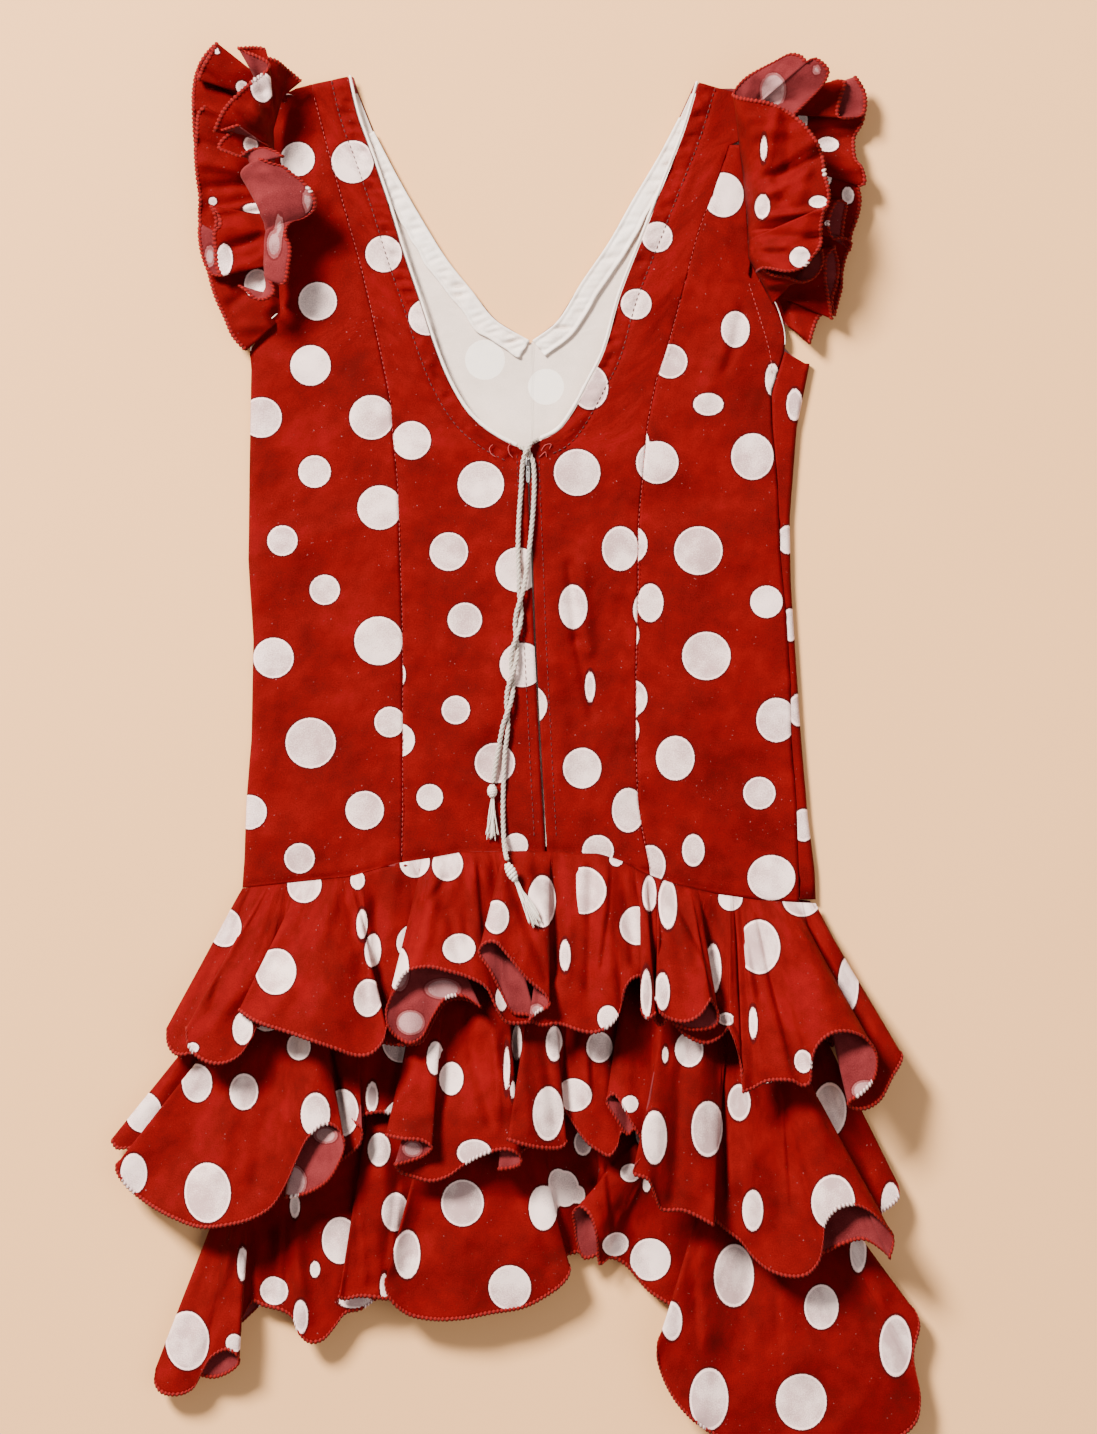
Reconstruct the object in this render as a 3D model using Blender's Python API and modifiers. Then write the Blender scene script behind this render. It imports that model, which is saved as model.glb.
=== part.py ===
"""A child's flamenco dress laid flat with its back side up: metres, +Z up, shoulders towards +Y.

The tables are in millimetres on the laid garment. Their x runs to the right from the zip and their y
runs up from the middle of the hip seam. CENTRE moves them so that the origin is under the middle of
the whole dress. Every piece of cloth is a wall, and each lies on the pieces below it.
"""

import math

import bmesh
import bpy
import numpy as np
from mathutils import Matrix, Vector

MM = 0.001
CENTRE = (8.3, -51.5)  # added to the tables' x and y

# Driving sizes, in millimetres.
WALL = 1.0  # cloth with its seam allowances
SEAM_GAP = 0.3  # between two sewn edges
HIP_GAP = 0.9  # where the flounces are sewn on
LAY_GAP = 0.4  # between a piece and what it lies on
BACK_Z = 4.7  # middle of the back bodice's wall at its side seams
BACK_LOFT = 1.8  # how much higher it lies along the centre back
BODICE_HALF = 140.0
PIPING_RADIUS = 1.35
CORD_RADIUS = 1.25
TWIST_RADIUS = 1.5  # from the middle of the twisted pair to each cord
TWIST_PITCH = 37.5
LIFT_POWER = 0.5  # how fast a ruffle's folds open from its seam
FOLD_SPACE = 1.45  # least distance between the middles of two layers of a fold
SPREAD_PASSES = 12
MOST_RAISED = 3.0
SHARP_TURN = math.radians(100)
TURN_RISE = 2.0  # from the lower layer to the upper one where a hem turns back
CURL = 6.0  # how far in from the side the back bodice starts to come down
CURL_TOP = (250.0, 262.0)  # it ends at the armhole
EDGE_Z = 1.8  # middle of the wall where it meets the front at the side
FRONT_Z = 0.5
LINING_Z = 1.8
FACING_Z = 3.1
WRAP_RADIUS = 2.2  # of the front where it comes round the right side
FACING_WIDTH = 10.0
PIPING_SPACE = 1.85  # from the middle of the piping to the panels' edges

# The heights that a ruffle lies on are kept on a square mesh.
CELL = 4.0
FIELD_LOW = (-240.0, -330.0)
FIELD_SIZE = (116, 190)
REACH_CELLS = 2  # cloth bridges this far round whatever it lies on
SLOPE = 0.4  # and then comes down no steeper than this

# Bodice outlines: y, x.
LEFT_SILHOUETTE = (
    (-18, -144.5), (-5, -143.5), (25, -142.5), (55, -140), (105, -139), (145, -141.5), (185, -141),
    (240, -140), (249, -141), (255, -137), (260, -132.5), (264.5, -129), (266.5, -125.5), (290, -127),
    (330, -128), (359, -129), (372, -129.5), (375.5, -128), (380, -118), (382, -111.5),
)
LEFT_PRINCESS = (
    (-4, -65), (24, -64.5), (60, -64.5), (105, -64.5), (154, -66), (183, -67), (208, -69.5),
    (223, -70.5), (253, -76.5), (290, -85), (320, -93.5), (356, -103.5), (379, -109.5),
)
RIGHT_PRINCESS = (
    (-10, 59), (8, 55.5), (24, 53), (52, 52), (96, 52), (134, 53), (160, 53), (183, 55), (211, 57.5),
    (234, 62), (254, 68.5), (282, 76), (310, 83.5), (328, 90.5), (352, 98.6), (354.5, 105),
    (364, 104.5), (379, 101.5),
)
RIGHT_SIDE_SEAM = (
    (-24, 133.5), (24, 132), (55, 129.5), (85, 129), (115, 127), (147, 124), (185, 122.5),
    (211, 120), (228, 119.5), (249, 126), (258, 127), (266, 124), (273, 120.5), (283, 116),
    (286, 108), (295, 109.5), (303, 108), (328, 106.5), (364, 104.5), (379, 101.5),
)
RIGHT_SILHOUETTE = (
    (-26, 141.5), (-10, 141), (17, 137.5), (58, 134), (96, 131.5), (134, 129), (166, 128.5),
    (211, 132), (243, 138.5), (248, 133), (250, 126.5),
)
NECK_LEFT = (
    (387, -91), (368, -86.5), (347, -79), (322, -70.5), (299, -63.5), (274, -55), (251, -47.5),
    (234, -40.5), (218, -30.5), (208, -18.5), (202, -7),
)
NECK_RIGHT = (
    (384, 82.5), (359, 75), (336, 66), (309, 55.5), (277, 43), (249, 35), (234, 27.5), (220, 20),
    (210, 12.5), (205.5, 4),
)
V_LEFT = (
    (385.5, -89.5), (359, -79), (336, -67), (315, -55), (295, -42.5), (280, -30.5), (265, -18.5),
    (254, -0.5),
)
V_RIGHT = (
    (386, 82.5), (366, 73.5), (347, 63.5), (325, 50.5), (303, 38), (284, 25), (264, 12.5), (254, -0.5),
)
V_POINT = (254.0, -0.5)
# The zip's line and the panels' space on each side of it.
ZIP_LINE = ((0, 7), (45, 4.5), (75, 3), (105, 1.5), (145, 0), (186, -1.7), (200, -2))
ZIP_HALF_GAP = ((0, 0.6), (183, 0.6), (187, 1.65), (197, 1.65), (199, 1.2), (202, 0.9))
SHOULDER_LEFT = ((-129, 375.5), (-118, 379.5), (-111, 382), (-90, 386.5))
SHOULDER_RIGHT = ((80, 384), (102, 378), (108, 376))
LINING_LEFT = (
    (188, -34), (200, -42), (218, -48), (251, -62), (299, -77), (347, -93), (372, -101), (380, -103),
)
LINING_RIGHT = (
    (188, 27), (200, 34), (220, 38), (251, 52), (299, 70), (336, 82), (364, 92), (380, 95),
)
LINING_FOOT = 188.0
FRONT_ARMHOLE_RIGHT = (
    (243, 136), (250, 126), (266, 122), (286, 108), (303, 107), (328, 105.5), (364, 103.5), (380, 101),
)
FRONT_ARMHOLE_LEFT = (
    (240, -140), (249, -140), (264, -128), (290, -125), (330, -126), (372, -127.5), (380, -117),
)
STRIP_TOP = 249.0  # where the front that comes round the side ends
STRAP_POINT = 352.0  # where the right side panel ends in the strap
FRONT_HIP = ((-150, -18), (-72.5, -7), (-0.5, 0.5), (69.3, -15.2), (150, -26))
HIP_SEAM = (
    (-150, -18), (-144, -18), (-121, -15.5), (-91, -12.5), (-67, -5.5), (-50, -3), (-34, 0), (0, 0.5),
    (34, -1), (46, -5), (56, -10.5), (71, -16), (92, -21), (113, -24), (128, -25), (150, -26),
)
SEAM_2 = (
    (-157, -77), (-116, -67), (-80, -60), (-51, -53), (34, -53), (54, -55), (84, -70), (114, -92),
    (150, -95),
)
SEAM_3 = (
    (-150, -158), (-116, -135), (-76, -124), (-51, -117.5), (34, -117.5), (74, -140), (92, -155),
    (114, -172), (155, -172),
)

# Flounce hems in order along the cloth, left to right: where the fold line leaves the seam (x, or
# None where it follows from the cloth's length), hem x, hem y, and the height over what it lies on.
FLOUNCE_1 = (
    (-144.5, -181.5, -88, 3), (None, -181, -95.5, 4.5), (None, -177.5, -100.5, 5),
    (None, -172, -101, 4.2), (-139, -165, -98, 3.4),
    (None, -166, -93, 7), (-132, -171, -88, 10.5),
    (None, -170.5, -94.5, 12), (None, -166.5, -100.5, 12.8), (None, -159, -104.5, 13),
    (None, -151.5, -104.5, 12.6), (None, -144, -100.5, 11.6), (None, -139, -93, 10),
    (None, -136, -87, 7.6), (-120, -130, -84.5, 6),
    (None, -134, -83, 10.5), (-114, -144.5, -79, 14.5),
    (None, -137, -83.5, 17), (None, -115.5, -90.5, 18), (None, -96.5, -97, 18),
    (None, -86.5, -100.5, 17), (None, -79, -99.5, 15), (None, -73, -93, 13),
    (-90.5, -72, -87, 10.5),
    (None, -77, -90, 7), (-84, -80, -93, 4.5),
    (None, -73.5, -95, 2.6), (None, -63.5, -96, 2), (-62, -53, -95, 2.4),
    (None, -54.5, -93, 5.4), (None, -59.5, -94, 7), (None, -65.5, -91, 8),
    (None, -70.5, -87, 9.6), (-54, -72, -79.5, 12), (None, -68, -69.5, 15),
    (-49, -62, -59.5, 18),
    (None, -51, -57, 19.5), (None, -41.5, -59, 19.5), (None, -31.5, -62, 18.5),
    (None, -22.5, -67, 16), (None, -17.5, -77, 12.5), (None, -13, -84, 9),
    (None, -4, -85, 6), (-20, 2, -83.5, 5.5),
    (None, -2, -81, 7), (None, -9, -80, 9.5), (None, -15, -70, 13),
    (None, -21, -58, 17), (-14, -26, -50.5, 20), (None, -24, -46, 22.5),
    (None, -18.5, -44.5, 23.5), (-9, -12, -51, 23), (None, -2, -63, 21.5),
    (None, 7, -71, 20), (8.5, 8.5, -76, 18),
    (None, 3, -79, 15), (None, -1, -83, 12),
    (None, 5, -86, 9.5), (None, 12, -85, 10), (14.5, 16.5, -86, 12),
    (None, 22, -88, 14), (None, 30, -89.5, 15), (None, 37, -87, 15), (None, 42, -82, 14),
    (None, 44.5, -75, 13), (None, 46, -68, 12.5), (47, 49.5, -63, 12), (None, 54, -62, 9),
    (50.5, 58.5, -66, 6.5),
    (None, 56.5, -73, 10), (53.5, 54, -79, 13.5), (None, 57, -82.5, 14.5),
    (56, 61, -80, 12),
    (None, 60.5, -83, 8), (58, 63, -86, 5), (60.5, 66.5, -84, 5),
    (None, 64, -79, 9), (63.5, 61.5, -73, 13),
    (66, 63, -79, 16), (None, 68, -82.5, 17.5), (None, 76, -84, 18),
    (None, 83, -80.5, 18.5), (79, 88, -73, 19.5),
    (82, 92, -80, 16), (None, 91, -86, 13), (None, 79, -88, 10.5), (88, 70, -85, 8.5),
    (None, 76, -91, 5), (None, 86, -95, 4.5), (None, 93, -92, 7), (98, 97.5, -87, 10.5),
    (None, 100.5, -95, 12), (None, 103, -105, 12), (101.5, 104.5, -118.5, 11),
    (None, 109, -117, 12), (None, 115.5, -113.5, 13), (None, 128.5, -113, 14),
    (None, 133.5, -115.5, 14), (None, 137, -114, 14.5), (None, 138, -103, 17),
    (None, 141.5, -94.5, 20), (121.5, 148.5, -89.5, 22), (None, 157, -89, 22.5),
    (None, 165, -92.5, 21), (130, 170.5, -101, 17), (None, 169.5, -111.5, 13.5),
    (None, 163.5, -119, 11.5), (134.5, 156.5, -124, 9.5),
    (None, 157.5, -126.5, 5.5), (None, 164, -127.5, 5), (None, 172, -123.5, 5),
    (None, 178.5, -112.5, 6), (139.5, 184, -102.5, 6), (None, 180.5, -98, 4),
    (141.5, 174.5, -93, 3),
)
FLOUNCE_2 = (
    (-155, -210, -144.5, 3.4), (None, -207, -148.5, 5), (None, -202, -148.5, 5.2),
    (None, -191, -149, 4), (-148, -185, -154, 4),
    (None, -193, -155, 7), (None, -203, -154, 9.5),
    (-141, -207, -157, 11.5), (None, -202.5, -166, 12.5), (None, -192.5, -174.5, 13),
    (None, -177.5, -182, 13.5), (None, -164.5, -186, 14), (None, -151.5, -185, 14.5),
    (None, -139.5, -182, 15), (None, -129, -176, 16), (None, -121.5, -164.5, 18),
    (None, -115.5, -151, 20), (None, -110.5, -141.5, 21), (None, -103, -135, 21.5),
    (None, -96.5, -136.5, 20.5), (-108, -92.5, -144.5, 18.5),
    (None, -95.5, -154.5, 15.5), (None, -101.5, -163.5, 13.5), (None, -111.5, -169.5, 11.5),
    (None, -117.5, -171, 10), (-99, -122, -171.5, 8),
    (None, -116, -169, 4.5), (None, -103.5, -160, 4.5), (None, -91.5, -151, 6),
    (None, -85, -145, 7.5), (-88, -84.5, -137.5, 7.5),
    (None, -87.5, -135, 5.5), (-84, -90, -132.5, 3.5),
    (None, -83, -131, 2), (None, -73.5, -130, 1.6), (None, -63.5, -134, 1.6),
    (-66, -57, -136, 2),
    (None, -62, -138, 4.8), (None, -69, -138.5, 7),
    (-52, -72, -140.5, 11), (None, -63.5, -142, 16.5), (None, -54, -143, 17),
    (-43, -49.5, -146.5, 16), (None, -54, -151, 13.5), (None, -61, -153.5, 12.5),
    (-37, -67.5, -155, 11.5),
    (None, -66, -158, 8.5), (None, -60, -161, 7.5), (None, -50, -163.5, 7.5),
    (None, -41.5, -161, 9), (None, -32.5, -154.5, 12), (None, -21.5, -149, 15),
    (None, -12, -147.5, 16.5), (-14, -6, -150.5, 15.5), (None, -5.5, -154.5, 13),
    (None, -10.5, -157, 10.5), (-10, -16, -157.5, 8.5),
    (None, -14.5, -155, 5), (None, -5, -149, 3.5), (None, 2, -144, 4),
    (-3, 7, -142, 7),
    (None, 3, -140, 13), (None, -4, -140, 18),
    (2.5, -11.5, -142, 21), (None, -4, -144.5, 21.5), (None, 6, -146.5, 19.5),
    (None, 14, -146.5, 17.5), (9, 17, -144, 15),
    (None, 14, -139, 10), (None, 10, -134, 7),
    (None, 14, -125, 5), (None, 18.5, -132, 6.5), (None, 27, -144, 9), (None, 33, -148.5, 10),
    (None, 38.5, -151, 10), (None, 42.5, -146, 9.5), (35, 44, -140, 8),
    (39, 50, -138, 5.5),
    (None, 47.5, -140.5, 8.5), (None, 42, -133, 10.5),
    (48, 37, -124, 13), (None, 40.5, -120.5, 15.5), (None, 45, -126, 16),
    (None, 49.5, -134.5, 15), (None, 55, -143, 12.5), (60, 60, -147.5, 10),
    (None, 58, -150, 14),
    (68, 54, -151, 18), (None, 50, -158.5, 19.5), (None, 57, -161.5, 19.5),
    (None, 60.5, -169, 19), (None, 64, -177, 18.5), (None, 74.5, -177.5, 18.5),
    (None, 83, -181, 18), (96, 89.5, -184.5, 16.5),
    (None, 90, -180, 12.5), (None, 84, -179, 9),
    (None, 90, -182.5, 5.5), (None, 97, -188.5, 6), (None, 103.5, -193.5, 7.5),
    (None, 109, -200.5, 9.5), (None, 116.5, -207, 11.5), (None, 127, -210.5, 13),
    (None, 136, -209.5, 14.5), (None, 142, -203, 17), (None, 144, -194.5, 19.5),
    (None, 145, -184.5, 22), (None, 149.5, -177.5, 23.5), (None, 157.5, -174.5, 24),
    (None, 165, -176.5, 23), (None, 172.5, -182.5, 21), (126, 179, -191.5, 19),
    (127.5, 177, -201, 16.5), (None, 171.5, -196, 14.5), (None, 164, -192, 13),
    (None, 154.5, -194.5, 11.5), (None, 144.5, -199, 10), (136.5, 137, -200, 8.5),
    (138, 145, -196, 5), (None, 159, -188, 4.5), (None, 174, -179.5, 4.5),
    (145, 182.5, -173, 4), (147, 182.5, -166.5, 3),
)
FLOUNCE_3 = (
    (-148, -187.5, -258, 3.6), (None, -188, -265.5, 6), (None, -184.5, -270, 8),
    (None, -176, -271, 9.5), (None, -168.5, -267.5, 11), (None, -164, -259.5, 13),
    (None, -159, -251.5, 15), (None, -151.5, -248, 16), (None, -146.5, -251, 15),
    (-139, -146, -255.5, 12.5),
    (None, -151.5, -260, 10.5), (None, -159, -262.5, 9), (None, -166, -261, 7.5),
    (None, -158.5, -252.5, 5), (None, -147, -237.5, 4), (-131, -139, -225, 3),
    (None, -134, -227, 3), (None, -124, -229.5, 4), (None, -119, -233, 6.5),
    (-116, -116, -240.5, 9.5), (None, -110.5, -245, 11.5), (None, -104, -243.5, 12),
    (None, -98.5, -237.5, 11), (None, -93, -230.5, 9), (None, -85, -228.5, 7.5),
    (-84, -78, -223.5, 7),
    (None, -83, -221.5, 10), (None, -91, -221, 11.5), (None, -95.5, -222, 13),
    (-80, -93.5, -223, 15), (None, -86.5, -221.5, 15.5), (None, -78, -222, 14.5),
    (-66, -72, -223, 11.5), (None, -65, -221, 8), (None, -60, -217.5, 7.5),
    (None, -65, -214, 11), (None, -70.5, -211.5, 13),
    (-46, -73, -214.5, 15.5), (None, -71, -222, 17), (None, -62.5, -230, 18),
    (None, -50, -233, 18.5), (None, -35, -232.5, 18.5), (None, -19, -229.5, 18),
    (None, -4, -227, 17.5), (None, 8.5, -220.5, 17), (None, 16, -214.5, 16),
    (-6, 19, -209, 14),
    (None, 16.5, -204, 10), (None, 12, -202.5, 7),
    (None, 20, -201, 3.5), (None, 29, -199, 3), (None, 37, -197, 3.4),
    (None, 33, -201, 6.5), (None, 26, -203, 7), (None, 22.5, -196, 7.5),
    (None, 21, -186, 9), (61.5, 20.5, -179.5, 12), (None, 24, -177, 15),
    (None, 28.5, -180.5, 17), (None, 31.5, -188.5, 17.5), (None, 32.5, -197, 15.5),
    (None, 33, -204, 12), (None, 34, -206, 9), (None, 39, -203, 6),
    (None, 46.5, -206.5, 3.5), (None, 58, -219.5, 2.5), (75, 69.5, -227, 2.5),
    (None, 84, -237.5, 2.5), (81, 99, -242.5, 3.5),
    (None, 86.5, -234, 6), (None, 79, -230, 7.5),
    (88, 75, -228, 8.5), (None, 68, -234, 10), (None, 64, -241, 12),
    (93, 62, -249, 14.5), (None, 64, -259, 15.5), (None, 70, -271.5, 15),
    (None, 78.5, -281.5, 14), (None, 90, -290, 13.5), (None, 104, -296, 13),
    (None, 124, -299, 13), (None, 149, -299, 13), (None, 169, -296.5, 12),
    (None, 184, -291.5, 10.5), (143, 191.5, -284, 9.5), (None, 193.5, -272.5, 9),
    (None, 190, -251, 9), (146.5, 193, -235, 8.5), (None, 187, -226, 5.5),
    (152, 176, -223.5, 3),
)

# The fronts lie face down under all this: seam ends, hem outline and number of soft arches.
FRONT_1_HEM = ((-172, -92), (-130, -97), (-60, -95), (60, -95), (120, -106), (170, -92))
FRONT_2_HEM = ((-196, -140), (-130, -152), (-60, -152), (60, -152), (120, -168), (172, -160))
FRONT_3_HEM = (
    (-182, -252), (-148, -246), (-134, -217), (-60, -212), (22, -200), (36, -194), (64, -212),
    (88, -270), (140, -286), (180, -276),
)
# Flounce, its hem outline, its seam, seam ends, arches.
FRONTS = (
    ("flounce_1_front", FRONT_1_HEM, FRONT_HIP, (-141, 139), 8),
    ("flounce_2_front", FRONT_2_HEM, SEAM_2, (-150, 140), 8),
    ("flounce_3_front", FRONT_3_HEM, SEAM_3, (-143, 147), 9),
)
FRONT_WAVE = 1.2
FRONT_GAP = 1.8  # of a front flounce over the next one down
FRONT_UNDER = 2.5  # how far its seam edge reaches under the skirt base
BASE_GAP = 0.5
FRONT_STEPS = 2  # along each arch
RUFFLE_STEPS = 4  # from seam to hem
# Back, top, bottom and side lines of the hidden skirt base: x at the hip and x at the third seam.
BASE_LEFT = (-141.0, -146.0)
BASE_RIGHT = (137.0, 150.0)
BASE_BELOW_HIP = 2.0

# Sleeve frills: the same columns, but the fold line leaves the armhole at a y.
LEFT_ARMHOLE = ((379, -112), (375, -126), (359, -130.5), (315, -128.5), (290, -128), (267, -127.5))
RIGHT_ARMHOLE = ((377, 104), (360, 106), (340, 108.5), (315, 111), (295, 111.5), (266, 126.5))
LEFT_LOWER = (
    (377, -146, 377, 4), (None, -148, 385, 6), (None, -152, 395, 9), (None, -155, 401, 12),
    (None, -158, 401.5, 12), (None, -162, 397.5, 10), (None, -166.5, 391.5, 8),
    (None, -168.5, 382, 9), (None, -169.5, 372.5, 8), (None, -168, 368, 6),
    (None, -167, 361, 8), (None, -168, 354, 7), (None, -166, 349, 5),
    (None, -167, 340, 7.5), (None, -167, 331, 8), (None, -165, 321, 5.5),
    (None, -163, 316, 8), (None, -166.5, 310, 10), (None, -166, 301.5, 8),
    (None, -163.5, 290, 5.5), (None, -160.5, 282.5, 8), (None, -157.5, 275, 6),
    (None, -151, 262.5, 6), (None, -146, 254, 5), (268, -142, 249, 3),
)
LEFT_UPPER = (
    (375, -114.5, 381.5, 4), (None, -118, 385.5, 7), (None, -122.5, 390.5, 9),
    (None, -127, 393.5, 10), (None, -132, 396.5, 11), (None, -141, 398.5, 11.5),
    (366, -144.5, 397.5, 13.5), (None, -141, 394.5, 16), (None, -136, 392, 17.5),
    (None, -131, 389, 18.5), (None, -133, 385.5, 19), (None, -141, 379, 18.5),
    (None, -147.5, 373.5, 17.5), (None, -153, 368, 16.5), (None, -157, 361.5, 14.5),
    (None, -157.5, 358, 12.5), (None, -152, 357, 14), (None, -146, 359, 16),
    (None, -150, 355, 12.5), (None, -155, 349, 12), (None, -153, 346, 13.5),
    (None, -146, 344.5, 15.5), (None, -140.5, 346, 17.5), (338, -135, 348.5, 19.5),
    (None, -128.5, 347, 20.5), (None, -123, 344, 21), (None, -117.5, 335, 21),
    (None, -112.5, 331, 21), (None, -108.5, 326, 20.5), (None, -107, 321, 19.5),
    (305, -108.5, 315.5, 17.5), (None, -116, 314, 14), (None, -120.5, 310.5, 12),
    (None, -122, 306.5, 12), (None, -119, 302.5, 14), (None, -119.5, 294, 14),
    (None, -120, 285, 12.5), (None, -125, 280, 11.5), (None, -129, 273.5, 11),
    (None, -135, 273, 10), (None, -141.5, 277, 8), (275, -146, 281, 6),
)
RIGHT_LOWER = (
    (375, 137, 371, 4), (None, 146, 379, 7), (None, 153, 383, 9), (None, 158.5, 385, 10),
    (None, 162.5, 384, 10), (None, 165.5, 379.5, 9), (None, 165.5, 369, 7.5),
    (None, 165, 360.5, 7), (None, 162, 356, 5.5), (None, 160.5, 350, 7),
    (None, 161, 344, 8.5), (None, 164.5, 340, 9), (None, 165, 332, 9), (None, 163, 323.5, 7),
    (None, 160.5, 314, 6), (None, 158.5, 305, 8), (None, 159, 299, 8), (None, 156, 295, 6),
    (None, 155, 287, 7), (None, 153, 277, 7), (None, 151, 267, 6), (None, 147, 269, 4),
    (None, 143, 269, 3.5), (None, 141, 260, 5), (None, 139, 253, 5), (None, 134, 258, 4),
    (268, 131, 262.5, 3),
)
RIGHT_UPPER = (
    (366, 145, 384, 7), (None, 146.5, 388.5, 9), (None, 143, 391.5, 11), (None, 137, 392.5, 12),
    (None, 133, 393.5, 12.5), (None, 128.5, 394.5, 13), (None, 121, 390.5, 13),
    (None, 113, 387, 13), (None, 105.5, 381, 12.5), (352, 101, 376.5, 13.5),
    (None, 99.5, 375, 16), (None, 106.5, 373.5, 18.5), (None, 115, 371.5, 20),
    (None, 122, 368.5, 20.5), (None, 131, 361.5, 20), (None, 138, 355.5, 19),
    (None, 142.5, 348.5, 18), (None, 144.5, 340, 17), (None, 147.5, 327, 16),
    (312, 149.5, 314, 13.5), (None, 147.5, 309, 10), (None, 145.5, 313, 12.5),
    (303, 145, 318, 16), (None, 143, 309, 18), (None, 141.5, 300.5, 19),
    (None, 137, 291.5, 19), (None, 132, 287, 18), (None, 124, 287.5, 16),
    (None, 116.5, 289, 13.5), (None, 114, 286, 11), (None, 118, 284, 9),
    (None, 128, 281, 9), (None, 134.5, 280, 8), (None, 142.5, 284.5, 6.5),
    (272, 145, 292, 5),
)

# Cords from the piping's ends: x, y, height over what lies below.
CORD_A_START = (
    (3.1, 205.0, -2.05), (2.3, 204.7, -1.2), (1, 204, 0.7), (-1, 202.6, 2.7), (-2.6, 199.9, 3.2),
    (-4.0, 196, 1.5), (-4.9, 191, 0), (-5.2, 183, 0), (-6.2, 170, 0), (-6.8, 158, 0), (-6.9, 146, 0),
)
CORD_B_START = (
    (-6.1, 201.6, -2.05), (-5.2, 201.2, -1.1), (-3.6, 200.3, 0), (-1.2, 198.4, 0), (0.5, 194.5, 0),
    (1.2, 186, 0), (0.8, 172, 0), (-0.4, 158, 0), (-1.8, 146, 0),
)
TWISTED_RUN = ((-5, 134), (-6.5, 118), (-8.5, 100), (-11, 78), (-13.5, 60))
CORD_A_END = ((-17, 49, 0), (-18.6, 40, 0), (-19.4, 33.4, 0))
CORD_B_END = (
    (-13.4, 49, 0), (-14, 37, 0), (-14.4, 24, 0), (-14.2, 10, 0), (-13.4, 0, 0), (-12.2, -4.6, 0),
)
# Knot centre x and y, half width and half length, where the tassel's ends point to, strands.
TASSELS = (
    ("tassel_a", -19.8, 29.6, 2.6, 3.4, (-19.6, 4.5), 8),
    ("tassel_b", -10.2, -10.4, 2.8, 5.2, (3.0, -37.5), 8),
)
TASSEL_SPREAD = 3.2
STRAND_RADIUS = 0.55

# The zip's puller, at the top of the closed zip.
SLIDER_SIZE = (2.4, 8.0, 3.0)
SLIDER_AT = (-2.0, 191.5)
TAB_SIZE = (2.0, 9.0, 0.8)
TAB_HINGE_Y = 192.0
TAPE_HALF = 9.0
CORD_STEP = 5.8
FRILL_STEPS = 3

RED = (0.545, 0.008, 0.008)
WHITE = (0.82, 0.80, 0.76)
METAL = (0.55, 0.55, 0.57)


def clear_scene():
    for old in list(bpy.data.objects):
        bpy.data.objects.remove(old, do_unlink=True)


def collection(name):
    made = bpy.data.collections.new(name)
    bpy.context.scene.collection.children.link(made)
    return made


def material(name, colour, roughness, metallic=0.0):
    made = bpy.data.materials.new(name)
    made.use_nodes = True
    shader = made.node_tree.nodes["Principled BSDF"]
    shader.inputs["Base Color"].default_value = (*colour, 1.0)
    shader.inputs["Roughness"].default_value = roughness
    shader.inputs["Metallic"].default_value = metallic
    return made


def smooth(points, steps):
    """A smooth curve through the points, with this many steps between each pair."""
    p = np.asarray(points, float)
    u = np.concatenate([[0], np.cumsum(np.sqrt(np.linalg.norm(np.diff(p, axis=0), axis=1)))])
    chord = np.diff(p, axis=0) / np.diff(u)[:, None]
    width = np.diff(u)
    slope = np.empty_like(p)
    slope[0] = chord[0]
    slope[-1] = chord[-1]
    before = width[:-1, None]
    after = width[1:, None]
    slope[1:-1] = (chord[:-1] * after + chord[1:] * before) / (before + after)
    found = [p[:1]]
    for i, w in enumerate(width):
        s = (np.arange(1, steps + 1) / steps)[:, None]
        a = 2 * s**3 - 3 * s**2 + 1
        b = s**3 - 2 * s**2 + s
        c = 3 * s**2 - 2 * s**3
        d = s**3 - s**2
        found.append(a * p[i] + b * w * slope[i] + c * p[i + 1] + d * w * slope[i + 1])
    return np.vstack(found)


def line(table, at):
    """The second column of a table, read where its first column is `at`."""
    t = np.asarray(sorted(table), float)
    return np.interp(at, t[:, 0], t[:, 1])


def moved_line(table, distance):
    """The same curve moved sideways, to its right when it is walked from its first row."""
    p = np.asarray(table, float)[:, ::-1]
    d = np.gradient(p, axis=0)
    d /= np.linalg.norm(d, axis=1)[:, None]
    p = p + distance * np.stack([d[:, 1], -d[:, 0]], axis=1)
    return tuple((y, x) for x, y in p)


def finer(grid, steps):
    """A grid with each cell cut into steps × steps."""
    for axis in (0, 1):
        n = grid.shape[axis]
        at = np.linspace(0, n - 1, (n - 1) * steps + 1)
        low = np.minimum(at.astype(int), n - 2)
        share = (at - low).reshape((-1, 1, 1) if axis == 0 else (1, -1, 1))
        grid = np.take(grid, low, axis) * (1 - share) + np.take(grid, low + 1, axis) * share
    return grid


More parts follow.
